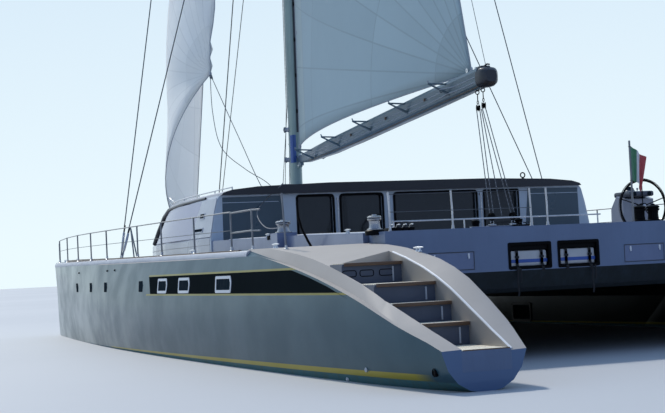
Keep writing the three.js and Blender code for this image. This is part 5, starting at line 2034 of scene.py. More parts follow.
    def fittings(self, name: str, side: float) -> None:
        """Adds the exhaust, the skin fittings, the wing cleat and the escape hatch.

        Args:
            name: the side's name.
            side: the side's sign.
        """
        black, bright, glass = Shape(), Shape(), Shape()
        for places, shape in ((self.outlets, black), (self.drains, bright)):
            for x, z, radius in places:
                base = self.seated([Vector((x, 0, z))], -0.02, side)[0]
                shape.lathe(base, (0, side, 0), [(radius, 0), (radius, 0.035), (radius * 0.8, 0.042),
                                                 (radius * 0.7, 0.03), (0, 0.028)], 18)
        for x, y in self.cleats:
            top = dropped(self.tree, x, y)
            if top:
                bright.cleat(turned([top], side)[0], (1, 0, 0), 0.3)
        flat = [Vector((x, 0, z)) for x, z in self.escape]

        def inner_face(line: Sequence[Vector], lift: float) -> list[Vector]:
            """The outline on the hull's inner face."""
            hits = [thrown(self.tree, Vector((p.x, self.tunnel_y, p.z)), Drop.OUTBOARD, lift) for p in line]
            return turned(hits, side)
        glazed(black, glass, inner_face, (rounded(flat, 0.09), rounded(inset(flat, 0.06), 0.06)),
               (-0.02, 0.018, 0.018, -0.02), 0.004)
        black.piece(f"hull_outlets_{name}", BLACK, "panel")
        bright.piece(f"hull_fittings_{name}", WHITE_METAL, "steel")
        glass.piece(f"escape_hatch_{name}", PORT_GLASS, "glass")


@dataclass
class SternSteps:
    """Teak treads, nosings, riser slots and step lights of the two stern stairs."""

    front_x: float = -9.2
    treads: tuple[Pair, ...] = ((-9.62, 1.47), (-10.61, 1.2), (-11.04, 0.96), (-11.5, 0.72), (-12.5, 0.45))
    inner_y: float = 4.28
    outer: tuple[Pair, ...] = ((-12.5, 4.86), (-10.9, 5.055), (-9.2, 5.085))
    plank: float = 0.062
    gap: float = 0.006
    thick: float = 0.012
    slots: tuple[float, ...] = (4.49, 4.76, 5.0)
    lamp_y: Pair = (4.385, 4.405)
    ray_y: float = 4.4

    def build(self) -> None:
        """Builds both stairs."""
        tree = frame_surface("stern_steps_port")
        for name, side in SIDES.items():
            front = self.front_x
            nosings = Shape()
            for k, (end, z) in enumerate(self.treads):
                self.deck_tread(f"tread_{name}_{k + 1}", side, front, end, z)
                reach = self.outer_at(end)
                lip = max(end - 0.028, self.treads[-1][0] + 0.002)
                nosings.block((lip, self.inner_y * side, z - 0.03), (end + 0.014, reach * side, z + 0.014),
                    0.006)
                front = end
            nosings.piece(f"tread_nosings_{name}", BROWN, "teak")
            self.risers(name, side, tree)

    def outer_at(self, x: float) -> float:
        """The treads' outer edge at x."""
        (x0, y0), (x1, y1), (x2, y2) = self.outer
        return lerp(y0, y1, (x - x0) / (x1 - x0)) if x < x1 else lerp(y1, y2, (x - x1) / (x2 - x1))

    def deck_tread(self, name: str, side: float, front: float, end: float, z: float) -> None:
        """Lays one tread's planks across the stair.

        Args:
            name: the piece's name.
            side: 1 for port and -1 for starboard.
            front: the tread's forward edge.
            end: its aft edge.
            z: its height.
        """
        count = max(3, round((front - end - 0.02) / self.plank))
        pitch = (front - end - 0.02) / count
        reach = self.outer_at((front + end) / 2)
        item = Shape().block((0, self.inner_y * side, 0), (pitch - self.gap, reach * side, self.thick), 0.003)
        row(name, item, (end + 0.018, 0, z - 0.001), (pitch, 0, 0), count, TREAD_TEAK, slot="teak")

    def risers(self, name: str, side: float, tree: BVHTree) -> None:
        """Adds the slots in the top riser and a strip of light in each riser.

        Args:
            name: the side's name.
            side: the side's sign.
            tree: the steps' surface.
        """
        outlines, lamps = Shape(), Shape()
        top_z, next_z = self.treads[0][1], self.treads[1][1]
        for y in self.slots:
            z = (top_z + next_z) / 2 + 0.01
            hit = thrown(tree, Vector((self.treads[0][0] - 0.5, y, z)), Drop.FORWARD)
            x = hit.x if hit else self.treads[0][0] + 0.03
            corners = turned(upright(x, (y - 0.1, z - 0.045), (y + 0.1, z + 0.045)), side)
            outlines.frame(corners, 0.011, (-0.006, 0, 0), 0.04)
        for (end, z), (_, low) in zip(self.treads, self.treads[1:]):
            hit = thrown(tree, Vector((end - 0.3, self.ray_y, (z + low) / 2)), Drop.FORWARD)
            x = hit.x if hit else end + 0.03
            y0, y1 = self.lamp_y
            lamps.block((x - 0.012, y0 * side, low + 0.03), (x + 0.002, y1 * side, z - 0.05), 0.003)
        outlines.piece(f"riser_slots_{name}", BLACK, "panel")
        lamps.piece(f"riser_lights_{name}", RIM_PAINT, "panel")


@dataclass
class AftBeam:
    """Bays with strapped canisters, latches, clutches, winches and rails of the beam across the stern."""

    bays: tuple[Pair, ...] = ((1.45, 2.09), (0.66, 1.29), (-1.29, -0.66), (-2.09, -1.45))
    low: float = 1.31
    high: float = 1.64
    top_z: float = 1.9
    stanchions: tuple[float, ...] = (3.8, 2.83, 1.57, 1.3, -1.3, -1.57, -2.83, -3.8)
    rail_x: float = -8.2
    rail_spans: tuple[Pair, ...] = ((3.72, 0.35), (-0.85, -3.72))
    rail_feet: tuple[float, ...] = (3.7, 2.6, 1.5, 0.4, -0.9, -1.9, -2.8, -3.7)
    wire_spans: tuple[Pair, ...] = ((3.8, 2.83), (2.83, 1.57), (-1.57, -2.83), (-2.83, -3.8))
    winch_at: Point = (-8.12, 4.0, 1.93)
    clutch_y: tuple[float, ...] = (3.76, 3.66, 3.56, 3.46)
    dark_winch_y: Pair = (-0.26, -0.5)
    latch_y: tuple[tuple[str, Pair], ...] = (
        ("port", (2.74, 3.27)), ("centre", (-0.4, 0.1)), ("starboard", (-2.74, -3.27)))

    def build(self) -> None:
        """Builds all that the beam carries."""
        self.fill_bays()
        self.latches()
        self.rails()
        self.winches()

    def fill_bays(self) -> None:
        """Lines each bay, puts its canister in and straps it down."""
        x = AFT_FACE_X
        liners, boxes, bands, straps = Shape(), Shape(), Shape(), Shape()
        for low_y, high_y in self.bays:
            def square(margin: float, at: float) -> list[Point]:
                """The bay's outline, widened by a margin."""
                return upright(at, (low_y - margin, self.low - margin), (high_y + margin, self.high + margin))
            liners.frame(square(0.028, x), 0.03, (-0.012, 0, 0), 0.03)
            liners.frame(square(-0.001, x - 0.004), 0.014, (0.255, 0, 0), 0.02)
            liners.block((x + 0.235, low_y + 0.01, self.low + 0.01),
                (x + 0.25, high_y - 0.01, self.high - 0.01))
            liners.block((x + 0.02, low_y + 0.01, 1.555), (x + 0.235, high_y - 0.01, self.high - 0.012), 0.01)
            boxes.block((x + 0.035, low_y + 0.03, self.low + 0.016), (x + 0.234, high_y - 0.03, 1.55), 0.02)
            bands.block((x + 0.031, low_y + 0.026, 1.375), (x + 0.1, high_y - 0.026, 1.425), 0.004)
            toward = 1.0 if low_y > 0 else -1.0
            outer, inner = max(abs(low_y), abs(high_y)), min(abs(low_y), abs(high_y))
            for y in (outer - 0.12, inner + 0.12):
                y *= toward
                path = [(x + 0.04, y, 1.6), (x + 0.018, y, 1.52), (x + 0.018, y, 1.36), (x + 0.004, y, 1.315),
                        (x - 0.02, y, 1.3), (x - 0.022, y, 1.262), (x - 0.008, y, 1.25)]
                section = upright(0, (-0.022, -0.004), (0.022, 0.004))
                straps.skin([[Vector(p) + Vector(corner) for corner in section] for p in path])
                straps.block((x + 0.002, y - 0.03, 1.44), (x + 0.03, y + 0.03, 1.475), 0.006)
            tail = toward * (inner + (0.54 if inner > 1.0 else 0.11))
            for drift, end in ((0.0, 0.9), (0.05, 1.1)):
                y = tail - toward * drift
                path = [(x - 0.02, y, 1.3), (x - 0.03, y - 0.004, 1.22), (x - 0.03, y + 0.012, 1.1),
                        (x - 0.03, y - 0.006, end + 0.07), (x - 0.035, y + 0.01, end)]
                section = ((0, -0.014, 0), (0.004, 0, 0), (0, 0.014, 0), (-0.004, 0, 0))
                straps.skin([[Vector(p) + Vector(corner) for corner in section] for p in path])
        liners.piece("bay_liners", BLACK, "panel")
        boxes.piece("bay_canisters", CANISTER, "deck")
        bands.piece("bay_bands", BLUE_BAND, "panel")
        straps.piece("bay_straps", STRAP, "bunting")

    def latches(self) -> None:
        """Adds a latch to each locker door, riding on it, and the seams of the beam's face."""
        for node, ys in self.latch_y:
            low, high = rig.box(f"locker_door_{node}")
            latch = Shape()
            for y in ys:
                latch.block((low[0] - 0.012, y - 0.014, high[2] - 0.075),
                    (low[0] + 0.004, y + 0.014, high[2] - 0.02), 0.005)
                latch.lathe((low[0] - 0.006, y, high[2] - 0.085), (-1, 0, 0),
                    [(0.012, 0), (0.014, 0.003), (0.01, 0.01), (0, 0.011)], 12)
            latch.piece(f"locker_latches_{node}", EDGE_WHITE, "steel", f"locker_door_{node}")
            edge = Shape().frame(upright(low[0] - 0.001, low[1:], high[1:]), 0.007, (-0.002, 0, 0), 0.01)
            edge.piece(f"locker_edges_{node}", SLATE, "panel", f"locker_door_{node}")

    def rails(self) -> None:
        """Adds the low rail, the stanchions and their wires along the beam's top."""
        x, z = self.rail_x, self.top_z
        posts = [[(x, y, z - 0.01), (x, y, z + 0.3), (x - 0.01, y + 0.015, z + 0.55)]
            for y in self.stanchions]
        lines("beam_stanchions", posts, 0.014, STEEL, slot="steel", sides=10)
        bars = [[(x + 0.1, y0, z + 0.14), (x + 0.1, y1, z + 0.14)] for y0, y1 in self.rail_spans]
        feet = [[(x + 0.1, y, z - 0.01), (x + 0.1, y, z + 0.14)] for y in self.rail_feet]
        lines("beam_rail", bars + feet, 0.011, STEEL, slot="steel", sides=10)
        wires = [[(x - 0.01, y0, z + h), (x - 0.01, y1, z + h)] for h in (0.52, 0.27)
            for y0, y1 in self.wire_spans]
        lines("beam_wires", wires, 0.005, WIRE, slot="wire", sides=6)
        bases = Shape()
        for y in self.stanchions:
            bases.lathe((x, y, z - 0.004), (0, 0, 1), [(0.04, 0), (0.04, 0.008), (0.022, 0.016), (0.02, 0.06),
                (0.015, 0.062)], 14)
        bases.piece("beam_bases", STEEL, "steel")

    def winches(self) -> None:
        """Adds the winches and rope clutches that stand on the beam."""
        bright, dark, levers = Shape(), Shape(), Shape()
        x, y_of, z = self.winch_at
        for side in SIDES.values():
            bright.winch((x, y_of * side, z), (0, 0, 1), 0.1, 0.22)
            dark.lathe((x, y_of * side, z - 0.07), (0, 0, 1), [(0.14, 0), (0.14, 0.06), (0.12, 0.075)], 24)
            for y in self.clutch_y:
                dark.block((-8.2, (y - 0.04) * side, 1.89), (-7.98, (y + 0.04) * side, 1.955), 0.012)
                levers.tube([(-8.1, y * side, 1.95), (-8.14, y * side, 1.99), (-8.22, y * side, 1.995)],
                            [0.012, 0.011, 0.009])
        for y in self.dark_winch_y:
            dark.winch((self.rail_x, y, self.top_z), (0, 0, 1), 0.1, 0.26)
        bright.piece("beam_winches", CHROME, "steel")
        dark.piece("beam_clutches", BLACK, "wheel")
        levers.piece("clutch_levers", WHITE_METAL, "steel")


@dataclass
class Deckhouse:
    """Side panes, visors, bulkhead panels with sheets of painted shade, door trim and roof gear of the deckhouse."""

    pane: tuple[Pair, ...] = ((4.3, 2.13), (1.0, 2.13), (0.62, 2.84), (3.4, 2.84))
    skirt: tuple[Pair, ...] = ((1.0, 2.13), (-0.36, 2.13), (-0.36, 2.84), (0.62, 2.84))
    visor: tuple[Pair, ...] = ((4.62, 2.14), (4.34, 2.4), (3.98, 2.7), (3.5, 2.83), (2.4, 2.87), (0.5, 2.9))
    ports: tuple[tuple[float, float, float, float], ...] = ((0.38, 2.55, 0.3, 0.12), (0.53, 2.28, 0.62, 0.09))
    plan: tuple[Point, ...] = ((1.7, 4.1, 8.3), (2.1, 4.1, 8.2), (2.13, 4.08, 8.1), (2.55, 4.0, 7.35),
        (2.86, 3.92, 6.9), (2.95, 3.84, 6.78))
    openings: tuple[Pair, ...] = ((1.6, 2.34), (0.56, 1.44), (-1.5, 0.3))
    sill_z: float = 2.02
    head_z: float = 2.85
    wall_x: float = HOUSE_AFT_X
    doorway: tuple[Pair, Pair] = ((-2.47, 1.14), (-1.65, 2.872))
    grab_y: tuple[float, ...] = (-1.58, 0.43, 1.52)
    grab_z: Pair = (1.5, 2.8)
    seam_z: Pair = (1.98, 2.16)
    hatches: tuple[Point, ...] = ((4.4, 1.35, 0.3), (1.3, 2.0, 0.28))
    grips: tuple[tuple[float, float, float, float], ...] = (
        (0.0, 0.9, 0.4, 3.2), (2.0, 3.9, 0.4, 1.5), (2.0, 5.4, 2.3, 3.3))
    rail_y: float = 3.42
    block_at: Pair = (5.05, 1.14)
    eye_at: Pair = (-0.35, -2.6)
    wiper: tuple[Pair, ...] = ((0.5, 2.17), (0.8, 2.4), (1.0, 2.62))

    def build(self) -> None:
        """Builds the deckhouse's finer parts."""
        self.top = frame_surface("roof")
        for name, side in SIDES.items():
            self.side_trim(name, side)
        self.bulkhead()
        self.door_trim()
        self.roof_gear()
        self.wipers()

    def on_wall(self, x: float, z: float, lift: float, side: float) -> Vector:
        """A point on the house's side, from its x and z.

        Args:
            x: the point's x.
            z: its height.
            lift: distance off the wall.
            side: the side's sign.

        Returns:
            The point.
        """
        table = self.plan
        (z0, half0, front0), (z1, half1, front1) = next(
            ((a, b) for a, b in zip(table, table[1:]) if z <= b[0]), table[-2:])
        t = (z - z0) / (z1 - z0)
        half, front = lerp(half0, half1, t), lerp(front0, front1, t)
        bend = min(1.0, max(0.0, (x - 1.0) / (front - 1.0))) ** 3
        return Vector((x, (half * (1 - bend) ** (1 / 3) + lift) * side, z))

    def on_roof(self, x: float, y: float, lift: float) -> Vector:
        """A point on the roof, from its x and y."""
        return thrown(self.top, Vector((x, y, 9.0)), Drop.DOWN, lift) or Vector((x, y, ROOF_Z + lift))

    def side_trim(self, name: str, side: float) -> None:
        """Adds the large pane, its dark visor and the two small ports of one side.

        Args:
            name: the side's name.
            side: the side's sign.
        """
        for key, outline, lift, finish in (("pane", self.pane, 0.016, LILAC_GLASS),
                                           ("skirt", self.skirt, 0.02, HOUSE_WHITE)):
            a, b, c, d = (Vector((x, 0, z)) for x, z in outline)

            def at(u: float, v: float, lift: float) -> Vector:
                """A point of the sheet."""
                p = a.lerp(b, u).lerp(d.lerp(c, u), v)
                return self.on_wall(p.x, p.z, lift, side)
            sheet = Shape().shell(lambda u, v: at(u, v, lift), lambda u, v: at(u, v, -0.005), 24, 8)
            sheet.piece(f"side_{key}_{name}", finish, "panel" if key == "skirt" else "glass")
        path = [self.on_wall(x, z, 0.02, side) for x, z in self.visor]
        rail = Shape().tube(path, [0.05, 0.055, 0.05, 0.04, 0.032, 0.02], 10)
        rail.piece(f"visor_{name}", SLATE_DARK, "panel")
        rims, panes = Shape(), Shape()
        for x, z, width, height in self.ports:
            flat = [(u, 0, w) for u, w in rectangle((x - width / 2, z - height / 2),
                (x + width / 2, z + height / 2))]
            outlines = (rounded(flat, 0.03), rounded(inset(flat, 0.018), 0.02))
            glazed(rims, panes, lambda line, lift: [self.on_wall(p.x, p.z, lift, side) for p in line],
                outlines, (0.01, 0.032, 0.032, 0.01), 0.026)
        rims.piece(f"house_port_rims_{name}", RIM_PAINT, "steel")
        panes.piece(f"house_port_glass_{name}", PORT_GLASS, "glass")
        seams = []
        for z in self.seam_z:
            seams.append([self.on_wall(lerp(-0.3, 5.6, i / 30), z, 0.0, side) for i in range(31)])
        lines(f"house_seams_{name}", seams, 0.004, SLATE, slot="panel", sides=6)

    def bulkhead(self) -> None:
        """Adds the navy sheets of painted shade, the pale panel and the black window frames of the aft bulkhead."""
        x = self.wall_x
        shade_sheet, pale, frames, seams = Shape(), Shape(), Shape(), Shape()
        for side in SIDES.values():
            # Navy sheets of painted shade on the aft-facing wall.
            shade_sheet.slab([(x, 3.86 * side, 1.2), (x, 3.84 * side, 2.86), (x, 2.68 * side, 2.87),
                (x, 2.5 * side, 1.2)], (-0.008, 0, 0))
            seams.block((x - 0.011, 2.72 * side, 2.752), (x - 0.004, 3.84 * side, 2.764), 0.002)
        pale.slab([(x, 2.66, 2.87), (x, 2.37, 2.87), (x, 2.37, 1.2), (x, 2.48, 1.2)], (-0.007, 0, 0))
        for low, high in self.openings:
            corners = upright(x, (low - 0.03, self.sill_z - 0.03), (high + 0.03, self.head_z + 0.025))
            frames.frame(corners, 0.045, (-0.014, 0, 0), 0.09)
        frames.frame(upright(x, *self.doorway), 0.035, (-0.014, 0, 0), 0.05)
        shade_sheet.piece("bulkhead_navy", BULKHEAD_SHADE, "panel")
        pale.piece("bulkhead_pale", LILAC, "panel")
        frames.piece("window_frames", BLACK, "panel")
        seams.piece("bulkhead_seams", LILAC, "panel")
        lines("bulkhead_grab_rails", [[(x - 0.05, y, z) for z in self.grab_z] for y in self.grab_y],
              0.013, STEEL, slot="steel", sides=10)
        sockets = Shape()
        for y in self.grab_y:
            for z in (self.grab_z[0] + 0.02, self.grab_z[1] - 0.02):
                sockets.lathe((x + 0.002, y, z), (-1, 0, 0), [(0.022, 0), (0.022, 0.008), (0.012, 0.014),
                    (0.012, 0.05)], 12)
        sockets.piece("grab_rail_feet", STEEL, "steel")

    def door_trim(self) -> None:
        """Adds the sliding door's frame, its flush pull and its inner handle."""
        low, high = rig.box("saloon_door")
        frame_shape = Shape()
        for x, rise in ((low[0], -0.005), (high[0], 0.008)):
            corners = upright(x, (low[1] + 0.005, low[2] + 0.02), (high[1] - 0.005, high[2] - 0.005))
            frame_shape.frame(corners, 0.05, (rise, 0, 0), 0.02)
        frame_shape.piece("door_frame", BLACK, "panel", "saloon_door")
        pull = Shape()
        corners = upright(low[0], (high[1] - 0.16, 1.9), (high[1] - 0.1, 2.14))
        pull.frame(corners, 0.012, (-0.005, 0, 0), 0.02)
        y = high[1] - 0.13
        pull.tube([(high[0], y, 1.9), (high[0] + 0.04, y, 1.93), (high[0] + 0.04, y, 2.11),
            (high[0], y, 2.14)], 0.009)
        pull.piece("door_pulls", STEEL, "steel", "saloon_door")

    def roof_gear(self) -> None:
        """Adds hatches, non-slip panels, grab rails, sheet blocks and the pad eye on the roof."""
        hatch_rims, hatch_glass, grip, fittings, blocks = Shape(), Shape(), Shape(), Shape(), Shape()
        for x, y, half in self.hatches:
            corners = [(u, v, 0) for u, v in rectangle((x - half, y - half), (x + half, y + half))]
            for side in SIDES.values():
                flat = turned(corners, side)
                outlines = (rounded(flat, 0.08), rounded(inset(flat, 0.045), 0.05))
                glazed(hatch_rims, hatch_glass,
                    lambda line, lift: [self.on_roof(p.x, p.y, lift) for p in line],
                    outlines, (-0.01, 0.03, 0.035, -0.01), 0.022)
        for x0, x1, y0, y1 in self.grips:
            for side in SIDES.values():
                def sheet_at(u: float, v: float, lift: float, side: float = side) -> Vector:
                    """A point of the non-slip panel."""
                    return self.on_roof(lerp(x0, x1, u), lerp(y0, y1, v) * side, lift)
                grip.shell(lambda u, v: sheet_at(u, v, 0.004), lambda u, v: sheet_at(u, v, -0.004), 10, 8)
        rails, feet = [], []
        for side in SIDES.values():
            path = [self.on_roof(lerp(0.3, 5.0, i / 12), self.rail_y * side, 0.07) for i in range(13)]
            rails.append(path)
            feet += [[self.on_roof(p.x, p.y, -0.01), p] for p in path[::3]]
            base = self.on_roof(self.block_at[0], self.block_at[1] * side, 0.0)
            blocks.pulley(base + Vector((0, 0, 0.12)), (0, 1, 0), 0.08, 2)
            fittings.block(base + Vector((-0.3, -0.03, -0.01)), base + Vector((0.3, 0.03, 0.03)), 0.006)
            fittings.ring(base + Vector((0, 0, 0.05)), (0, 1, 0), 0.03, 0.009)
        lines("roof_rails", rails + feet, 0.013, STEEL, slot="steel", sides=10)
        eye = self.on_roof(*self.eye_at, 0.0)
        blocks.ring(eye + Vector((0, 0, 0.08)), (1, 0, 0), 0.05, 0.013, 24)
        blocks.lathe(eye, (0, 0, 1), [(0.04, -0.01), (0.04, 0.01), (0.018, 0.02), (0.016, 0.04)], 14)
        hatch_rims.piece("roof_hatch_rims", ALUMINIUM, "spar")
        hatch_glass.piece("roof_hatch_glass", DARK_GLASS, "glass")
        grip.piece("roof_grip", GRIP, "deck", crease=math.radians(60))
        blocks.piece("roof_blocks", BLACK, "wheel")
        fittings.piece("roof_fittings", STEEL, "steel")

    def wipers(self) -> None:
        """Adds a wiper to each side of the windscreen."""
        screen = frame_surface("windscreen", "cabin_front")
        arms = Shape()
        for side in SIDES.values():
            points = [thrown(screen, Vector((12.0, y * side, z)), Drop.AFT, 0.025) for y, z in self.wiper]
            arms.tube(points, 0.009)
            arms.block(points[2] - Vector((0.02, 0.015, 0.16)), points[2] + Vector((0.012, 0.015, 0.1)),
                0.005)
        arms.piece("wipers", BLACK, "panel")


@dataclass
class Cushions:
    """Padded seats, blown up by a cloth simulation and piped along their edges."""

    thick: float = 0.078
    voxel: float = 0.0185
    cap: float = 0.022
    frames: int = 20
    bench_x: Pair = (-7.12, -1.68)
    bench_y: Pair = (2.92, 3.56)
    bench_z: float = 1.505
    bench_count: int = 5
    settee_z: float = 1.43

    def build(self) -> None:
        """Builds the bench cushions and the settee."""
        x0, x1 = self.bench_x
        y0, y1 = self.bench_y
        length = (x1 - x0) / self.bench_count
        pad = self.puffed(Vector((length - 0.04, y1 - y0 - 0.03, self.thick)))
        for name, side in SIDES.items():
            spots = [Vector((x0 + length * (k + 0.5), (y0 + y1) / 2 * side, self.bench_z))
                     for k in range(self.bench_count)]
            self.lay(f"bench_cushions_{name}", pad, [(p, 0.0) for p in spots], f"bench_cushion_{name}",
                CUSHION)
        pad = self.puffed(Vector((0.8, 0.56, self.thick)))
        spots = [(Vector((x, 3.05, self.settee_z)), 0.0) for x in (1.62, 2.47, 3.32)]
        spots += [(Vector((4.3, y, self.settee_z)), math.pi / 2) for y in (1.34, 2.19)]
        spots.append((Vector((4.18, 3.05, self.settee_z)), 0.0))
        self.lay("settee_cushions", pad, spots, "saloon_settee", SETTEE)
        base = Shape().block((1.2, 2.75, 1.1), (4.6, 3.35, self.settee_z), 0.01)
        base.block((4.0, 0.9, 1.1), (4.6, 2.76, self.settee_z), 0.01)
        base.piece("settee_base", TEAK, "teak")

    def lay(self, name: str, pad: bpy.types.Mesh, spots: Sequence[tuple[Vector, float]], node: str,
            finish: Finish) -> None:
        """Lays copies of one pad, with piping, as one padded piece.

        Args:
            name: the piece's name.
            pad: the pad about the origin, standing on z = 0.
            spots: the place and turn of each copy.
            node: the frame node that the piece stands for.
            finish: its fabric.
        """
        shape = Shape()
        for place, turn in spots:
            at = Matrix.Translation(place) @ Matrix.Rotation(turn, 4, "Z")
            known = len(shape.mesh.verts)
            shape.mesh.from_mesh(pad)
            shape.mesh.verts.ensure_lookup_table()
            bmesh.ops.transform(shape.mesh, matrix=at, verts=shape.mesh.verts[known:])
        low, high = (Vector(f(v.co[i] for v in pad.vertices) for i in range(3)) for f in (min, max))
        obj = shape.piece(name, finish, "cushion", crease=math.radians(80))
        smooth = obj.modifiers.new("Smooth", "SUBSURF")
        smooth.levels = smooth.render_levels = 1
        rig.replaces(obj, node)
        tree = BVHTree.FromPolygons([v.co.copy() for v in pad.vertices],
            [tuple(p.vertices) for p in pad.polygons])
        piping = Shape()
        for place, turn in spots:
            at = Matrix.Translation(place) @ Matrix.Rotation(turn, 4, "Z")
            for z in (low.z + (high.z - low.z) * 0.3, low.z + (high.z - low.z) * 0.72):
                flat = [(x, y, z) for x, y in rectangle(low, high)]
                dots = [self.along(flat, k / 48) for k in range(48)]
                loop = [tree.find_nearest(p)[0] for p in rounded(dots, 0.01, 1)]
                piping.tube([at @ p for p in loop], 0.0045, 6, looped=True)
        trim = piping.piece(f"{name}_piping", TAPE, "cushion")
        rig.padded(obj, fill=0.7)
        LOG.info("%s carries %s", name, trim.name)

    def along(self, corners: Sequence[Sequence[float]], share: float) -> Vector:
        """The point a share of the way round a rectangle's four sides."""
        k = int(share * 4) % 4
        return Vector(corners[k]).lerp(Vector(corners[(k + 1) % 4]), share * 4 - int(share * 4))

    def puffed(self, size: Vector) -> bpy.types.Mesh:
        """Blows a rounded box up by cloth pressure, or by rule when the simulation is skipped.

        Args:
            size: the box's sides.

        Returns:
            The pad's mesh, standing on z = 0.
        """
        core = Shape().block(-size / 2, size / 2, 0.024)
        obj = placed("pad_core", core.plain("pad_core"))
        voxels = obj.modifiers.new("Remesh", "REMESH")
        voxels.mode = "VOXEL"
        voxels.voxel_size = self.voxel
        mesh = evaluated(obj)
        rest = [v.co.copy() for v in mesh.vertices]
        obj.modifiers.clear()
        obj.data = mesh
        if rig.quick():
            for v, r in zip(mesh.vertices, rest):
                crown = (1 - (2 * r.x / size.x) ** 2) * (1 - (2 * r.y / size.y) ** 2)
                v.co.z = r.z + math.copysign(self.cap * max(0.0, crown) ** 0.4, r.z)
        else:
            cloth = obj.modifiers.new("Cloth", "CLOTH")
            cloth.settings.quality = 4
            cloth.settings.use_pressure = True
            cloth.settings.uniform_pressure_force = 4
            cloth.settings.effector_weights.gravity = 0
            cloth.point_cache.frame_start, cloth.point_cache.frame_end = 1, self.frames
            for step in range(1, self.frames + 1):
                bpy.context.scene.frame_set(step)
            blown = evaluated(obj)
            for v, moved, r in zip(mesh.vertices, blown.vertices, rest):
                travel = moved.co - r
                v.co = r + travel * min(1.0, self.cap / max(travel.length, 1e-9))
            obj.modifiers.clear()
            bpy.context.scene.frame_set(1)
            bpy.data.meshes.remove(blown)
        for v in mesh.vertices:
            v.co.x = max(-size.x / 2 - 0.012, min(size.x / 2 + 0.012, v.co.x))
            v.co.y = max(-size.y / 2 - 0.012, min(size.y / 2 + 0.012, v.co.y))
            v.co.z = max(v.co.z, -size.z / 2 - 0.002) + size.z / 2 + 0.002
        bpy.data.objects.remove(obj)
        return mesh


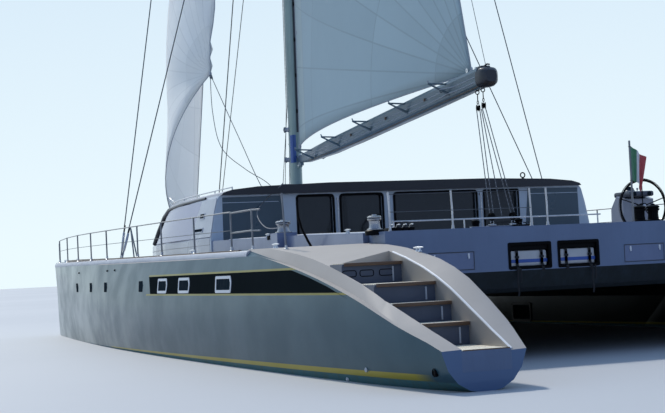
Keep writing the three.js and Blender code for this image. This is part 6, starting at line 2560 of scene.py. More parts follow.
@dataclass
class Cockpit:
    """Sole planks, winches, sheet console, helm gear and coaming fittings of the cockpit."""

    sole_x: Pair = (-7.86, -0.44)
    sole_half: float = 2.85
    sole_z: float = 1.1
    plank: float = 0.06
    winch_at: Pair = (-4.4, 4.05)
    winch_base: float = 2.04
    wheel_at: Point = (-6.0, -1.76, 2.21)
    wheel_radius: float = 0.45
    traveller_x: float = -4.255
    car_y: Pair = (0.17, -0.24)
    dial_y: tuple[float, ...] = (-0.4, -0.14, 0.14, 0.4)
    console_winch: Point = (-4.12, 0.42, 1.965)
    compass_x: float = -5.62
    lever_x: float = -5.5
    cleat_x: Pair = (-6.9, -3.2)
    bead_y: float = 3.8
    boarding_rail: tuple[Point, ...] = (
        (-6.0, 4.14, 1.72), (-6.0, 4.22, 1.86), (-6.0, 4.31, 2.05), (-6.0, 4.36, 2.24), (-6.0, 4.37, 2.44))

    def build(self) -> None:
        """Builds the cockpit's finer parts."""
        count = int(2 * self.sole_half / self.plank)
        plank = Shape().block((self.sole_x[0], 0, 0), (self.sole_x[1], self.plank - 0.006, 0.008), 0.002)
        row("sole_planks", plank, (0, -self.sole_half, self.sole_z), (0, self.plank, 0), count, TEAK,
            slot="teak")
        self.winches()
        self.console()
        self.helm()
        self.coaming()

    def winches(self) -> None:
        """Replaces the plain coaming winches with ribbed self-tailing ones."""
        x, y = self.winch_at
        for name, side in SIDES.items():
            low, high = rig.box(f"winch_{name}")
            base = Shape().winch(((low[0] + high[0]) / 2, (low[1] + high[1]) / 2, low[2]), (0, 0, 1), 0.125,
                                 high[2] - low[2] + 0.01)
            piece = base.piece(f"coaming_winch_{name}", CHROME, "steel")
            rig.replaces(piece, f"winch_{name}")
            extra = Shape()
            extra.lathe((x, y * side, self.winch_base - 0.006), (0, 0, 1),
                [(0.165, 0), (0.165, 0.008), (0.15, 0.012)], 28)
            for dx in (0.45, 0.62):
                top = self.winch_base - 0.09
                extra.block((x + dx, (y - 0.05) * side, top), (x + dx + 0.1, (y + 0.05) * side, top + 0.07),
                    0.01)
            extra.piece(f"winch_pad_{name}", BLACK, "wheel")

    def console(self) -> None:
        """Adds the traveller track, its car, stoppers and instruments on the sheet console."""
        low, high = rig.box("mainsheet_console")
        gear, dark, face = Shape(), Shape(), Shape()
        x = self.traveller_x
        gear.block((x - 0.03, low[1] + 0.02, high[2] - 0.03), (x + 0.03, high[1] - 0.02, high[2] + 0.004),
            0.004)
        for y in self.car_y:
            gear.block((x - 0.05, y - 0.06, high[2]), (x + 0.05, y + 0.06, high[2] + 0.035), 0.01)
            gear.ring((x, y, high[2] + 0.06), (1, 0, 0), 0.03, 0.008)
        for k in range(4):
            y = -0.5 + k * 0.09
            dark.block((-4.5, y, 1.97), (-4.36, y + 0.07, 2.03), 0.012)
            dark.tube([(-4.48, y + 0.035, 2.02), (-4.46, y + 0.035, 2.06), (-4.38, y + 0.035, 2.065)], 0.009)
        for winch in turned([self.console_winch], -1.0) + [self.console_winch]:
            dark.winch(winch, (0, 0, 1), 0.075, 0.19)
        for y in self.dial_y:
            face.lathe((-4.556, y, 1.78), (1, 0, 0), [(0.0, -0.012), (0.05, -0.01), (0.055, -0.004),
                (0.055, 0.006)], 24)
        gear.piece("traveller", STEEL, "steel")
        dark.piece("console_gear", BLACK, "wheel")
        face.piece("console_dials", SLATE, "panel")
        planks = Shape().block((0, -0.58, 0), (0.045, 0.58, 0.008), 0.002)
        row("console_planks", planks, (-4.54, 0, 1.977), (0.05, 0, 0), 3, TEAK, slot="teak")

    def helm(self) -> None:
        """Adds the wheel's grip and hub, the compass, the dials and the engine levers."""
        x, y, z = self.wheel_at
        turns = [k * 2 * math.pi / 72 for k in range(73)]
        rim = [(x, y + math.cos(t) * self.wheel_radius, z + math.sin(t) * self.wheel_radius) for t in turns]
        rings("wheel_grip", [rim], 0.0165, 0.0035, 0.012, LEATHER, "helm_wheel", "wheel")
        hub = Shape().lathe((x - 0.03, y, z), (1, 0, 0), [(0.0, -0.03), (0.03, -0.026), (0.05, -0.01),
            (0.055, 0.02), (0.05, 0.05)], 24)
        hub.piece("wheel_hub", STEEL, "steel", "helm_wheel")
        low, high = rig.box("helm_pedestal")
        pod, dials, bright = Shape(), Shape(), Shape()
        top = high[2]
        pod.block((low[0] + 0.05, low[1] + 0.06, top - 0.02), (high[0] - 0.04, high[1] - 0.06, top + 0.07),
            0.03)
        pod.lathe((self.compass_x, y, top + 0.06), (0, 0, 1), [(0.09, 0), (0.092, 0.03), (0.078, 0.045)], 28)
        dials.lathe((self.compass_x, y, top + 0.1), (0, 0, 1), [(0.075, 0), (0.07, 0.03), (0.045, 0.055),
            (0.0, 0.066)], 28)
        for dy in (-0.18, 0.18):
            dials.lathe((low[0] + 0.052, y + dy * 0.8, top + 0.024), (-1, 0, 0),
                [(0.036, 0), (0.038, 0.006), (0.03, 0.01), (0, 0.011)], 24)
        lever = self.lever_x
        for dy in (-0.03, 0.03):
            bright.tube([(lever, y - 0.24 + dy, top), (lever - 0.03, y - 0.24 + dy, top + 0.12)],
                [0.009, 0.007])
            bright.lathe((lever - 0.03, y - 0.24 + dy, top + 0.11), (0, 0, 1),
                [(0.01, 0), (0.02, 0.012), (0.018, 0.03), (0, 0.038)], 14)
        bright.lathe((lever, y - 0.24, top - 0.004), (0, 0, 1), [(0.07, 0), (0.07, 0.01), (0.05, 0.016)], 20)
        pod.piece("helm_pod", SLATE, "panel")
        dials.piece("helm_dials", PORT_GLASS, "glass")
        bright.piece("engine_levers", CHROME, "steel")

    def coaming(self) -> None:
        """Adds the boarding rails, the coaming's cap lines and the coaming cleats."""
        for name, side in SIDES.items():
            lines(f"boarding_rail_{name}", [turned(self.boarding_rail, side)], 0.019, BLACK, slot="wheel",
                sides=10)
            tree = frame_surface(f"coaming_{name}")
            hits = [dropped(tree, lerp(-7.8, -0.6, i / 30), self.bead_y * side, 0.006) for i in range(31)]
            lines(f"coaming_bead_{name}", [[hit for hit in hits if hit]], 0.012, EDGE_WHITE, slot="deck")
        jambs = Shape()
        for side in SIDES.values():
            tree = frame_surface("coaming_port" if side > 0 else "coaming_starboard")
            for x in self.cleat_x:
                top = dropped(tree, x, 3.92 * side)
                if top:
                    jambs.cleat(top, (1, 0, 0), 0.22)
        jambs.piece("coaming_cleats", STEEL, "steel")


@dataclass
class Rig:
    """Track, clutches, halyards and collars of the mast, and the boom's caps and strips."""

    track_low: float = 4.7
    track_high: float = 31.0
    slide_step: float = 0.85
    clutches: tuple[float, ...] = (4.79, 4.07)
    patch: tuple[float, float, float, float] = (5.86, 6.04, 3.98, 4.64)
    arms_x: tuple[float, ...] = (4.55, 2.85, 1.0, -0.9, -2.75)
    hinge_x: float = 5.788
    hinge_z: Pair = (3.9, 4.1)
    cleat_z: Pair = (4.45, 5.1)
    crane_z: float = 31.4
    halyard_z: tuple[float, ...] = (5.4, 18.0, 30.6)
    halyards: tuple[tuple[float, float, float, float], ...] = (
        (0.06, 0.06, 6.62, 0.2), (0.0, 0.1, 6.5, 0.05), (-0.06, 0.06, 6.6, -0.22), (0.1, 0.02, 6.35, 0.22))
    shrouds: tuple[Pair, ...] = ((2.65, 16.5), (2.75, 28.9))
    shroud_foot: Pair = (5.11, 1.83)
    spreader_z: float = 18.5
    stay_foot: Point = (13.3, 0.0, 1.8)
    stay_heads: Pair = (20.5, 15.6)

    def build(self) -> None:
        """Builds the finer parts of the mast, the boom and the stays."""
        self.mast_gear()
        self.boom_gear()
        self.stay_ends()

    def aft_face(self, z: float) -> float:
        """The mast's aft face at z."""
        return mast_x(z) - MAST_CHORD / 2 * mast_scale(z)

    def front_face(self, z: float) -> float:
        """The mast's front face at z."""
        return mast_x(z) + MAST_CHORD / 2 * mast_scale(z)

    def mast_gear(self) -> None:
        """Adds the luff track and its cars, winches, halyards, the blue patch and the collar."""
        track = Shape()
        stations = [lerp(self.track_low, self.track_high, i / 24) for i in range(25)]
        track.skin([[Vector((self.aft_face(z) + dx, dy, z)) for dx, dy in ((0.015, -0.022), (0.015, 0.022),
            (-0.018, 0.022), (-0.018, -0.022))] for z in stations])
        track.piece("mast_track", SLATE_DARK, "spar")
        car = Shape().block((-0.045, -0.02, -0.045), (-0.012, 0.02, 0.045), 0.006)
        car.tube([(-0.03, 0, 0), (-0.125, 0, 0)], 0.007)
        count = int((self.track_high - self.track_low - 0.9) / self.slide_step)
        z = self.track_low + 0.5
        row("luff_cars", car, (self.aft_face(z), 0, z), (-MAST_RAKE * self.slide_step, 0, self.slide_step),
            count, BLACK, slot="wheel")
        winches, clamps, bright = Shape(), Shape(), Shape()
        for z in self.clutches:
            for side in SIDES.values():
                winches.winch((mast_x(z) + 0.08, 0.1 * side, z), (0.55, 0.85 * side, 0), 0.07, 0.15)
            for dz in (-0.2, -0.09, 0.02, 0.13):
                clamps.block((self.front_face(z) - 0.03, -0.06, z + dz), (self.front_face(z) + 0.06, 0.06,
                    z + dz + 0.075), 0.012)
        for z in self.cleat_z:
            clamps.cleat((self.front_face(z) + 0.004, 0.0, z - 0.05), (0, 1, 0), 0.18)
        bright.lathe((mast_x(3.1), 0, 3.06), (0, 0, 1), [(0.34, 0), (0.34, 0.015), (0.27, 0.03), (0.25, 0.09),
            (0.24, 0.1)], 32)
        hinge_x = self.hinge_x
        bright.lathe((hinge_x, 0, 3.86), (-0.035, 0, 1), [(0.024, 0), (0.03, 0.01), (0.03, 0.3),
            (0.024, 0.31)], 16)
        for z in self.hinge_z:
            bright.block((hinge_x - 0.035, -0.05, z - 0.016), (self.aft_face(z) + 0.02, 0.05, z + 0.016),
                0.006)
        z = self.crane_z
        bright.block((mast_x(z) - 0.52, -0.05, z - 0.07), (mast_x(z), 0.05, z + 0.06), 0.012)
        bright.pulley((mast_x(z - 0.1) - 0.46, 0, z - 0.1), (0, 1, 0), 0.06, 1)
        mast_tree = frame_surface("mast")
        x0, x1, z0, z1 = self.patch

        def patch_at(u: float, v: float, lift: float) -> Vector:
            """A point of the patch on the mast's port face."""
            x, z = lerp(x0, x1, u) - MAST_RAKE * (lerp(z0, z1, v) - 4.0), lerp(z0, z1, v)
            return thrown(mast_tree, Vector((x, 3.0, z)), Drop.INBOARD, lift) or Vector((x, 0.13 + lift, z))
        patch = Shape().shell(lambda u, v: patch_at(u, v, 0.004), lambda u, v: patch_at(u, v, -0.004), 6, 8)
        patch.piece("mast_patch", BLUE_PATCH, "panel")
        winches.piece("mast_winches", CHROME, "steel")
        clamps.piece("mast_clutches", BLACK, "wheel")
        bright.piece("mast_fittings", STEEL, "steel")
        ropes, blocks = [], Shape()
        low, middle, top = self.halyard_z
        for y, dx, foot_x, foot_y in self.halyards:
            ropes.append([(foot_x, foot_y, 3.12), (self.front_face(5.0) + dx, y, low),
                (self.front_face(middle) + dx, y, middle), (self.front_face(top) + 0.02, y * 0.6, top)])
            blocks.pulley((foot_x, foot_y, 3.15), (0, 1, 0), 0.045, 1)
        lines("halyards", ropes, 0.0075, ROPE_DARK, slot="wire", sides=6)
        blocks.piece("mast_foot_blocks", BLACK, "wheel")

    def boom_gear(self) -> None:
        """Adds the boom's end cap, side strips, sheaves, arm pads and clew lashing."""
        tree = frame_surface("boom")
        cap, strips, dark = Shape(), Shape(), Shape()
        top = boom_top(BOOM_END_X)
        cap_rings = []
        for x, share in ((-3.9, 1.03), (-4.04, 1.03), (-4.14, 0.9), (-4.2, 0.6)):
            ring = []
            for k in range(24):
                t = k * math.pi / 12
                c, s = math.cos(t), math.sin(t)
                ring.append(Vector((x, 0.17 * share * math.copysign(abs(c) ** 0.6, c),
                                    top - 0.165 + 0.172 * share * math.copysign(abs(s) ** 0.6, s))))
            cap_rings.append(ring)
        cap.skin(cap_rings)
        cap.block((-4.0, -0.09, top - 0.02), (-3.78, 0.09, top + 0.04), 0.012)
        cap.tube([(-3.9, 0, top + 0.03), (-4.05, 0, top + 0.06), (-4.13, 0.0, top + 0.04)], 0.016)
        for share, radius in ((0.42, 0.011), (0.66, 0.013), (0.9, 0.012)):
            for side in SIDES.values():
                hits = []
                for i in range(33):
                    x = lerp(5.0, -3.85, i / 32)
                    depth = lerp(0.23, 0.33, min(1.0, (5.1 - x) / 3.0))
                    hits.append(thrown(tree, Vector((x, 3.0, boom_top(x) - depth * share)), Drop.INBOARD,
                        -0.003))
                path = turned([hit for hit in hits if hit], side)
                (dark if share > 0.8 else strips).tube(path, radius, 6)
        for x in self.arms_x:
            for side in SIDES.values():
                strips.tube([(x + 0.04, 0.52 * side, boom_top(x) - 0.01),
                    (x + 0.04, 0.545 * side, boom_top(x) + 0.035)], 0.014)
        for x in (2.0, 0.1, -1.8):
            dark.lathe((x, 0.19, boom_top(x) - 0.14), (0, 1, 0), [(0.03, 0), (0.03, 0.02), (0.015, 0.03)], 12)
        cap.piece("boom_cap", SLATE_DARK, "panel", "boom")
        strips.piece("boom_strips", BOOM_LIGHT, "spar", "boom")
        dark.piece("boom_edges", BOOM_BROWN, "spar", "boom")
        clew = Shape()
        z = boom_top(-3.3)
        clew.block((-3.42, -0.06, z - 0.02), (-3.12, 0.06, z + 0.035), 0.01)
        clew.pulley((-3.3, 0, z + 0.09), (0, 1, 0), 0.05, 2)
        clew.ring((-3.44, 0, z + 0.1), (0, 1, 0), 0.035, 0.01)
        clew.pulley((-3.62, 0, boom_top(-3.62) + 0.06), (0, 1, 0), 0.035, 1)
        clew.piece("clew_gear", STEEL, "steel", "boom")

    def stay_ends(self) -> None:
        """Adds turnbuckles and chainplates to the shrouds and the forestays, and spreader boots."""
        bright, dark = Shape(), Shape()
        for side in SIDES.values():
            for x, head_z in self.shrouds:
                foot = Vector((x, self.shroud_foot[0] * side, self.shroud_foot[1]))
                head = Vector((mast_x(head_z), 0, head_z))
                way = (head - foot).normalized()
                bright.lathe(foot + way * 0.16, way, [(0.012, 0), (0.024, 0.02), (0.026, 0.2), (0.024, 0.38),
                    (0.012, 0.4)], 14)
                bright.tube([foot - Vector((0, 0, 0.03)), foot + way * 0.2], 0.014)
                bright.block(foot - Vector((0.03, 0.012, 0.04)), foot + Vector((0.03, 0.012, 0.07)), 0.006)
                dark.tube([foot + way * 0.56, foot + way * 0.7], [0.014, 0.02])
            tip = Vector((mast_x(self.spreader_z) - 0.38, 1.05 * side, self.spreader_z + 0.06))
            dark.lathe(tip - Vector((0, 0.05 * side, 0)), (0, side, 0),
                [(0.02, 0), (0.035, 0.02), (0.035, 0.07), (0.02, 0.08)], 14)
        foot = Vector(self.stay_foot)
        for head_z in self.stay_heads:
            way = (Vector((mast_x(head_z), 0, head_z)) - foot).normalized()
            bright.lathe(foot + way * 0.1, way, [(0.012, 0), (0.026, 0.02), (0.028, 0.24), (0.012, 0.36)], 14)
        bright.piece("stay_turnbuckles", STEEL, "steel")
        dark.piece("stay_boots", BLACK, "wheel")


@dataclass
class RunningRigging:
    """Mainsheet, topping lift, headsail sheets and their blocks."""

    sheet_tops: tuple[Pair, ...] = ((-3.62, 4.15), (-3.84, 4.17))
    sheet_feet: tuple[Point, ...] = ((-4.25, 0.17, 2.16), (-4.25, -0.24, 2.16))
    clew: Point = (6.7, 1.84, 6.2)
    lift_z: float = 31.25
    lift_x: float = -3.96

    def build(self) -> None:
        """Builds the sheets and the topping lift."""
        self.mainsheet()
        self.headsheets()
        x, z = self.lift_x, self.lift_z
        top = Vector((mast_x(z) - MAST_CHORD / 2 - 0.09, 0, z))
        lines("topping_lift", [[(x, -0.02, boom_top(x) + 0.04), top]], 0.006, WIRE, "boom", "wire", 6)

    def mainsheet(self) -> None:
        """Adds the boom's sheet blocks, the traveller's blocks and the falls between them."""
        upper, lower = Shape(), Shape()
        for x, z in self.sheet_tops:
            under = boom_top(x) - 0.36
            upper.ring((x, 0, under - 0.005), (1, 0, 0.1), 0.035, 0.009)
            upper.ring((x, 0, z + 0.1), (0, 1, 0), 0.03, 0.008)
            upper.tube([(x, 0, under - 0.03), (x, 0, z + 0.12)], 0.009)
            upper.pulley((x, 0, z), (0.3, 1, 0), 0.062, 2)
        for x, y, z in self.sheet_feet:
            lower.pulley((x, y, z + 0.03), (1, 0.3, 0), 0.062, 2)
            lower.ring((x, y, z - 0.05), (0, 1, 0), 0.03, 0.009)
        upper.piece("boom_blocks", BLACK, "wheel", "boom")
        lower.piece("sheet_blocks", BLACK, "wheel")
        falls = []
        for (x, z), (fx, fy, fz) in zip(self.sheet_tops, self.sheet_feet):
            for d in (-0.03, 0.03):
                falls.append(self.run((fx + d * 0.3, fy + d, fz + 0.09), (x + d * 0.3, d * 0.9, z - 0.04)))
        falls.append(self.run((-4.25, -0.03, 2.2), (-3.74, 0.0, 4.12)))
        rope = lines("mainsheet", falls, 0.0085, ROPE_GREY, "", "wire", 8)
        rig.blend(rope, "root", "boom", start=(-4.25, 0.0, 2.26), end=(-3.7, 0.0, 4.1))

    def run(self, low: Sequence[float], high: Sequence[float], steps: int = 16) -> list[Vector]:
        """A straight run of rope, cut into short lengths."""
        return [Vector(low).lerp(Vector(high), i / steps) for i in range(steps + 1)]

    def headsheets(self) -> None:
        """Adds the two sheets from the headsail's clew to the roof and the mast's foot."""
        clew, roof = Vector(self.clew), frame_surface("roof")

        def laid(x: float, y: float, lift: float = 0.014) -> Vector:
            """A point on the roof."""
            return thrown(roof, Vector((x, y, 9.0)), Drop.DOWN, lift) or Vector((x, y, ROOF_Z + 0.1))
        foot = laid(5.05, 1.14, 0.13)
        first = [clew, clew.lerp(foot, 0.5) + Vector((0, 0, -0.05)), foot, laid(4.5, 0.9), laid(3.0, 1.1),
                 laid(1.9, 1.45), laid(0.8, 1.6), laid(-0.1, 2.3), laid(-0.34, 2.6),
                 Vector((-0.49, 2.7, 3.05)), Vector((-0.55, 3.2, 2.6)), Vector((-2.6, 3.75, 2.2)),
                 Vector((-4.3, 3.97, 2.14))]
        second = [clew, Vector((5.95, 2.05, 5.2)), Vector((5.2, 2.1, 4.3)), Vector((5.1, 1.6, 3.8)),
                  Vector((5.5, 0.95, 3.5)), laid(6.0, 0.4, 0.04), laid(6.5, 0.1), laid(6.5, -0.3),
                  laid(6.0, -0.8), laid(5.4, -1.12, 0.06), laid(5.05, -1.14, 0.13)]
        lines("headsail_sheets", [self.eased(first), self.eased(second)], 0.0085, ROPE_GREY, slot="wire",
            sides=8)
        knots = Shape()
        for way in (first[1] - clew, second[1] - clew):
            way = way.normalized()
            knots.tube([clew + way * t for t in (0.0, 0.05, 0.1, 0.16)], [0.02, 0.028, 0.026, 0.012])
            knots.ring(clew + way * 0.05, way, 0.022, 0.01, 14)
        knots.piece("clew_knots", ROPE_GREY, "wire")

    def eased(self, points: Sequence[Vector], steps: int = 8) -> list[Vector]:
        """The points with a smooth curve drawn through them.

        Args:
            points: the points, in order.
            steps: points in each stretch.

        Returns:
            The curve's points.
        """
        made = []
        for i in range(len(points) - 1):
            a, b = points[max(0, i - 1)], points[i]
            c, d = points[i + 1], points[min(len(points) - 1, i + 2)]
            for k in range(steps):
                t = k / steps
                made.append(0.5 * ((2 * b) + (c - a) * t + (2 * a - 5 * b + 4 * c - d) * t * t
                                   + (3 * b - a - 3 * c + d) * t ** 3))
        return made + [points[-1]]


@dataclass
class GuardWires:
    """Second wires, gates, post bases and the folding posts along both side decks."""

    posts: tuple[Point, ...] = (
        (12.1, 4.6, 0.5), (11.3, 4.74, 0.56), (9.3, 4.93, 0.59), (7.4, 5.05, 0.6), (5.55, 5.13, 0.6),
        (3.85, 5.15, 0.6), (1.05, 5.16, 0.6), (-0.8, 5.16, 0.6), (-3.0, 5.16, 0.6), (-5.05, 5.14, 0.6))
    gate_x: float = -6.05
    gate_y: float = 5.12
    rod_x: float = -7.15
    rod_y: float = 4.98
    apex: Point = (1.82, 5.1, 2.42)
    strut_x: Pair = (1.63, 1.38)

    def build(self) -> None:
        """Builds both sides."""
        tree = frame_surface("hull_port")
        for name, side in SIDES.items():
            middle = [(x, y, deck_height(x) + h * 0.52) for x, y, h in self.posts]
            lines(f"lower_guard_wire_{name}", [turned(middle, side)], 0.006, WIRE, slot="wire", sides=6)
            feet = Shape()
            for x, y, _ in self.posts:
                feet.lathe((x, y * side, deck_height(x) - 0.012), (0, 0, 1),
                    [(0.045, 0), (0.045, 0.01), (0.024, 0.02), (0.022, 0.07), (0.017, 0.072)], 14)
            gate, last = self.gate_x, self.posts[-1]
            y = self.gate_y
            bars = [[(last[0], last[1], z), (gate, y, z), (gate - 0.28, 5.08, z - 0.01)]
                for z in (2.36, 2.05)]
            bars.append([(gate, y, dropped(tree, gate, y).z - 0.01), (gate, y, 2.38)])
            foot = dropped(tree, self.rod_x, self.rod_y)
            bars.append([foot - Vector((0, 0, 0.01)), (self.rod_x + 0.03, 5.0, 2.54)])
            bars += [[(x, self.apex[1], deck_height(x)), self.apex] for x in self.strut_x]
            lines(f"gate_bars_{name}", [turned(b, side) for b in bars], 0.0145, RAIL_STEEL, slot="steel",
                sides=10)
            for x, y in ((gate, self.gate_y), (self.rod_x, self.rod_y)):
                feet.lathe((x, y * side, dropped(tree, x, y).z - 0.004), (0, 0, 1),
                           [(0.04, 0), (0.04, 0.01), (0.02, 0.018), (0.018, 0.06)], 14)
            feet.piece(f"post_bases_{name}", STEEL, "steel")


@dataclass
class Foredeck:
    """Nets, lacing, hatches, non-slip strips and the gear on the front beam and the bowsprit."""

    net_x: Pair = (8.78, 11.36)
    net_z: float = 1.706
    inner_y: float = 0.19
    hatches: tuple[Pair, ...] = ((10.25, 4.5), (8.9, 4.55))
    grips: tuple[Pair, ...] = ((-5.4, -2.6), (-2.4, 0.8), (1.0, 2.3), (3.1, 5.2), (5.4, 7.2))
    grip_y: Pair = (4.3, 4.9)
    lacing: tuple[int, int] = (82, 110)
    furler_x: float = 15.3
    eye_count: int = 12
    eye_pitch: float = 0.32

    def build(self) -> None:
        """Builds the foredeck's parts."""
        for name, side in SIDES.items():
            self.net(name, side)
            self.deck_hatches(name, side)
        self.beam_gear()

    def net(self, name: str, side: float) -> None:
        """Stretches one net and laces it along its edges.

        Args:
            name: the side's name.
            side: the side's sign.
        """
        solid = frame_surface("trampoline_port")
        x0, x1 = self.net_x

        def outer(x: float) -> float:
            """The net's outer edge at x."""
            hit = pressed(solid, x, self.net_z)
            return (hit.y if hit else 3.9) - 0.07

        def at(u: float, v: float) -> Vector:
            """A point of the net.

            Args:
                u: share of the way along X.
                v: share of the way outboard.

            Returns:
                The point.
            """
            x = lerp(x0, x1, u)
            sag = 0.035 * math.sin(math.pi * u) * math.sin(math.pi * v)
            return Vector((x, lerp(self.inner_y, outer(x), v) * side, self.net_z - sag))
        width = x1 - x0
        length = max(outer(lerp(x0, x1, i / 8)) for i in range(9)) - self.inner_y
        sheet = Shape().surface(at, 24, 32, lambda u, v: (u * width, v * length))
        obj = sheet.piece(f"net_{name}", NET, "net", closed=False)
        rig.replaces(obj, f"trampoline_{name}")
        hem = [at(0, i / 20) for i in range(20)] + [at(i / 20, 1) for i in range(20)]
        hem += [at(1, 1 - i / 20) for i in range(20)] + [at(1 - i / 20, 0) for i in range(21)]
        trim = [lines(f"net_hem_{name}", [hem], 0.012, ROPE_DARK, slot="net", sides=8),
                rings(f"net_rings_{name}", [hem], 0.02, 0.005, 0.16, STEEL, slot="steel")]
        along, ahead = self.lacing
        laced = [at(i / (along - 1), 1) + Vector((0, 0 if i % 2 else 0.1 * side, 0)) for i in range(along)]
        fore = [at(1, i / (ahead - 1)) + Vector((0 if i % 2 else 0.1, 0, 0)) for i in range(ahead)]
        trim.append(lines(f"net_lacing_{name}", [laced, fore], 0.005, ROPE_LIGHT, slot="net", sides=6))
        area = sum(p.area for p in obj.data.polygons)
        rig.sheet(obj, flat=(round(width + 0.01, 2), round(length + 0.01, 2)), held="stretched",
                 rests_on=["front_crossbeam", f"hull_shell_{name}"], area=round(area, 2), with_pieces=trim)

    def deck_hatches(self, name: str, side: float) -> None:
        """Adds the hull's foredeck hatches and a strip of non-slip paint along the side deck.

        Args:
            name: the side's name.
            side: the side's sign.
        """
        tree = frame_surface("hull_port")

        def on_deck(x: float, y: float, lift: float) -> Vector:
            """A point on the port hull's deck."""
            return dropped(tree, x, y, lift) or Vector((x, y, deck_height(x) + lift))
        rims, panes = Shape(), Shape()
        for x, y in self.hatches:
            flat = [(u, v, 0) for u, v in rectangle((x - 0.27, y - 0.25), (x + 0.27, y + 0.25))]
            outlines = (rounded(flat, 0.08), rounded(inset(flat, 0.04), 0.05))
            glazed(rims, panes, lambda line, lift: turned([on_deck(p.x, p.y, lift) for p in line], side),
                outlines, (-0.01, 0.03, 0.035, -0.01), 0.02)
        rims.piece(f"deck_hatch_rims_{name}", ALUMINIUM, "spar")
        panes.piece(f"deck_hatch_glass_{name}", DARK_GLASS, "glass")
        grip = Shape()
        for x0, x1 in self.grips:
            def at(u: float, v: float, lift: float) -> Vector:
                """A point of the non-slip strip."""
                return turned([on_deck(lerp(x0, x1, u), lerp(*self.grip_y, v), lift)], side)[0]
            grip.shell(lambda u, v: at(u, v, 0.004), lambda u, v: at(u, v, -0.004), 12, 4)
        grip.piece(f"deck_grip_{name}", GRIP, "deck", crease=math.radians(60))

    def beam_gear(self) -> None:
        """Adds the furling drum's flanges, whisker stays, net eyes and the anchor roller."""
        bright, dark = Shape(), Shape()
        for z, radius in ((1.76, 0.085), (1.97, 0.085)):
            dark.lathe((self.furler_x, 0, z - 0.006), (-0.25, 0, 1),
                [(0.04, 0), (radius, 0.002), (radius, 0.012), (0.04, 0.014)], 24)
        for k in range(9):
            bright.ring((self.furler_x - 0.003 * k, 0, 1.79 + 0.019 * k), (-0.25, 0, 1), 0.062, 0.0085, 24)
        dark.piece("furler_flanges", ALUMINIUM, "spar")
        bright.piece("furling_line", ROPE_LIGHT, "wire")
        stays = [[(15.2, 0.06 * s, 1.74), (11.9, 4.42 * s, 1.62)] for s in SIDES.values()]
        lines("whisker_stays", stays, 0.008, WIRE, slot="wire", sides=8)
        roller = Shape()
        for side in SIDES.values():
            roller.block((11.38, 0.16 * side, 1.76), (11.78, 0.2 * side, 1.86), 0.006)
        roller.lathe((11.72, -0.17, 1.82), (0, 1, 0), [(0.04, 0), (0.025, 0.1), (0.02, 0.17), (0.025, 0.24),
            (0.04, 0.34)], 18)
        roller.tube([(11.6, 0, 1.84), (11.2, 0, 1.86), (10.9, 0, 1.87)], [0.02, 0.022, 0.022])
        roller.piece("anchor_roller", STEEL, "steel")
        eyes = Shape()
        for y in [0.4 + self.eye_pitch * k for k in range(self.eye_count)]:
            for side in SIDES.values():
                eyes.ring((11.44, y * side, 1.66), (1, 0, 0.3), 0.02, 0.005, 10)
        eyes.piece("beam_eyes", STEEL, "steel")


@dataclass
class Underwater:
    """Anodes, intake grilles and propeller nuts below the waterline."""

    anode_x: tuple[float, ...] = (-8.6, -7.9, -6.0)
    intake_x: tuple[float, ...] = (5.2, 1.4, -3.3)
    intake_z: float = -0.35
    ray_z: float = -4.0

    def build(self) -> None:
        """Builds the parts below the waterline."""
        tree = frame_surface("hull_port")
        for name, side in SIDES.items():
            anodes, grilles = Shape(), Shape()
            for x in self.anode_x:
                hit = thrown(tree, Vector((x, HULL_Y, self.ray_z)), Drop.UP)
                anodes.lathe((hit.x, hit.y * side, hit.z + 0.01), (0, 0, -1),
                             [(0.07, 0), (0.068, 0.02), (0.05, 0.035), (0, 0.04)], 18)
            for x in self.intake_x:
                hit = pressed(tree, x, self.intake_z)
                grilles.lathe((hit.x, (hit.y - 0.012) * side, hit.z), (0, side, 0),
                              [(0.035, 0), (0.035, 0.016), (0.02, 0.022), (0, 0.02)], 14)
            anodes.piece(f"anodes_{name}", ALUMINIUM, "steel")
            grilles.piece(f"intakes_{name}", BRONZE, "bronze")
            hub = Shape()
            low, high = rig.box(f"propeller_{name}")
            hub.lathe((low[0] - 0.005, (low[1] + high[1]) / 2, (low[2] + high[2]) / 2), (-1, 0, 0),
                      [(0.03, -0.02), (0.028, 0), (0.018, 0.02), (0, 0.028)], 16)
            hub.piece(f"propeller_nut_{name}", BRONZE, "bronze", f"propeller_{name}")


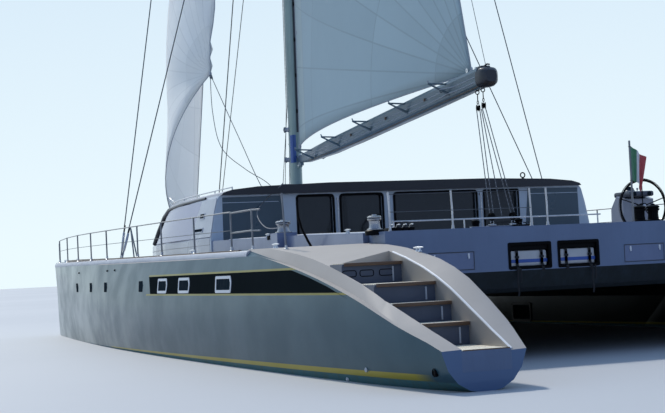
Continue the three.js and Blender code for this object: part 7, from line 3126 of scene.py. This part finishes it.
@dataclass
class Flag:
    """The limp flag at the stern staff, in three bands."""

    staff: Pair = (-8.41, -0.02)
    low: float = 2.5
    high: float = 3.02
    reach: float = 0.25
    drop: float = 0.17

    def at(self, u: float, v: float) -> Vector:
        """Gives a point of the flag.

        Args:
            u: 0 at the staff and 1 at the fly.
            v: 0 at the foot and 1 at the head.

        Returns:
            The point.
        """
        x, y = self.staff
        fold = math.sin(u * 9.5 + v * 1.2) * 0.03 * min(1.0, u * 4)
        swell = math.sin(math.pi * min(1.0, u * 1.1)) * 0.02
        out = self.reach * (u ** 0.85) * (1 - 0.45 * (1 - v) * u)
        z = lerp(self.low, self.high, v) - self.drop * u * u - 0.05 * math.sin(math.pi * u) * v
        return Vector((x + fold + swell, y - 0.016 - out, z))

    def build(self) -> None:
        """Builds the flag and its two toggles."""
        sheet = Shape().surface(self.at, 40, 36)
        obj = sheet.piece("ensign", FLAG, "bunting", closed=False)
        body = obj.modifiers.new("Thickness", "SOLIDIFY")
        body.thickness, body.offset = 0.0012, 0.0
        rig.replaces(obj, "flag")
        toggles = Shape()
        for v in (0.02, 0.98):
            p = self.at(0.0, v)
            toggles.ring((self.staff[0], self.staff[1], p.z), (0, 0, 1), 0.019, 0.004, 14)
        trim = toggles.piece("flag_toggles", STRAP, "bunting")
        area = sum(p.area for p in obj.data.polygons)
        fly = sum((self.at((i + 1) / 40, 0.5) - self.at(i / 40, 0.5)).length for i in range(40))
        hoist = area / fly
        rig.sheet(obj, flat=(round(fly, 3), round(hoist + 0.0006, 3)), held="hung", rests_on=["flagstaff"],
                 with_pieces=[trim])


@dataclass
class Studio:
    """Floor, light and camera."""

    floor_half: float = 400.0
    sky_strength: float = 1.05
    sun_energy: float = 2.4
    sun_way: Point = (0.68, 0.06, 0.72)
    camera_at: Point = (-27.178, 11.998, 1.428)
    yaw: float = math.radians(21.178)
    pitch: float = math.radians(2.384)
    roll: float = math.radians(-2.768)
    focal_px: float = 1481.12
    image_px: int = 665

    def build(self) -> None:
        """Makes the floor, the lights and the camera."""
        self.lay_floor()
        self.light()
        self.aim()

    def lay_floor(self) -> None:
        """Lays the pale floor at the waterline."""
        shape = Shape()
        half = self.floor_half
        shape.surface(lambda u, v: Vector((lerp(-half, half, u), lerp(-half, half, v), 0.0)), 8, 8)
        paint = Paint("floor_paint", (0.52, 0.54, 0.56), 0.6, coat=0.0, scale=0.05, variation=0.02,
                      streaks=0.0)
        floor = shape.piece("floor", paint, body="", closed=False)
        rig.stage(floor)

    def light(self) -> None:
        """Sets the sky, bright ahead and dim behind, and a sun almost dead ahead."""
        scene = bpy.context.scene
        scene.view_settings.view_transform = "Standard"
        scene.view_settings.look = "None"
        world = scene.world = bpy.data.worlds.new("studio_sky")
        world.use_nodes = True
        world.node_tree.nodes.clear()
        g = Graph(world.node_tree)
        way = g.split(g.node("ShaderNodeTexCoord").outputs["Generated"])
        ahead = g.ramp(way[0], -0.6, 0.85)
        low = g.blend(ahead, (0.28, 0.38, 0.56), (0.8, 0.92, 0.97))
        high = g.blend(ahead, (0.17, 0.26, 0.46), (0.36, 0.54, 0.8))
        colour = g.blend(g.ramp(way[2], 0.02, 0.6, False), low, high)
        back = g.node("ShaderNodeBackground", {"Color": colour, "Strength": self.sky_strength})
        out = g.node("ShaderNodeOutputWorld")
        world.node_tree.links.new(back.outputs[0], out.inputs["Surface"])
        lamp = bpy.data.lights.new("sun", "SUN")
        lamp.energy, lamp.angle, lamp.color = self.sun_energy, math.radians(4), (1.0, 0.95, 0.87)
        placed("sun", lamp).rotation_euler = Vector(self.sun_way).to_track_quat("Z", "Y").to_euler()

    def aim(self) -> None:
        """Places the camera at the photograph's viewpoint."""
        cy, sy, cp, sp = math.cos(self.yaw), math.sin(self.yaw), math.cos(self.pitch), math.sin(self.pitch)
        forward = Vector((cy * cp, -sy * cp, sp))
        right = Vector((-sy, -cy, 0))
        upward = right.cross(forward)
        cr, sr = math.cos(self.roll), math.sin(self.roll)
        right, upward = right * cr + upward * sr, upward * cr - right * sr
        lens = bpy.data.cameras.new("camera")
        lens.sensor_width = 36.0
        lens.lens = self.focal_px * lens.sensor_width / self.image_px
        lens.clip_end = 2000.0
        camera = placed("camera", lens)
        turn = Matrix((right, upward, -forward)).transposed().to_4x4()
        camera.matrix_world = Matrix.Translation(self.camera_at) @ turn
        bpy.context.scene.camera = camera


def paint_frame() -> None:
    """Gives every frame node its finish."""
    plain = {
        HULL: "hull_*", WHITE: "cockpit_bench_* helm_pedestal", ANTIFOULING: "keel_* rudder_*",
        DARK: "drive_leg_*", BRONZE: "propeller_*", CHROME: "winch_*",
        CUSHION: "bench_cushion_* saloon_settee",
        PANEL_SHADE: "coaming_* mainsheet_console locker_door_port locker_door_centre locker_door_starboard",
        BLACK: "helm_wheel trampoline_*", HOUSE_WHITE: "cabin_side_* cabin_front", SCREEN_GLASS: "windscreen",
        DARK_GLASS: "side_window_* aft_window saloon_door", LILAC: "aft_bulkhead", TEAK: "saloon_table",
        ALUMINIUM: "front_crossbeam bowsprit", MAST_PAINT: "mast", SPAR: "boom", WIRE: "shrouds_* forestays",
        RAIL_STEEL: "guard_rail_* flagstaff", FLAG: "flag", MAIN_CLOTH: "mainsail", HEAD_CLOTH: "headsail",
        STAIR_PAINT: "stern_steps_*", BRIDGE_PAINT: "bridge_deck", BEAM_PAINT: "aft_beam", ROOF_PAINT: "roof"}
    for finish, names in plain.items():
        for pattern in names.split():
            paint_nodes(pattern, finish)


def corners() -> list[list[float]]:
    """The shown object's box as plain numbers."""
    return [[round(c, 5) for c in corner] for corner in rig.bounds()]


def main() -> None:
    """Dresses the frame, piece by piece."""
    cad_box = corners()
    paint_frame()
    makers = (Hulls(), SternSteps(), AftBeam(), Deckhouse(), Cockpit(), Cushions(), Rig(), RunningRigging(),
              GuardWires(), Foredeck(), Underwater(), Flag(), Sails())
    for maker in makers:
        known = set(bpy.data.objects)
        maker.build()
        for obj in sorted(set(bpy.data.objects) - known, key=lambda o: o.name):
            LOG.info("%s %s: %d faces", type(maker).__name__, obj.name, len(obj.data.polygons))
    Studio().build()
    with open("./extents.json", "w") as sizes:
        json.dump({"cad": cad_box, "visual": corners()}, sizes)


if __name__ == "__main__":
    logging.basicConfig(level=logging.INFO, format="%(message)s")
    main()
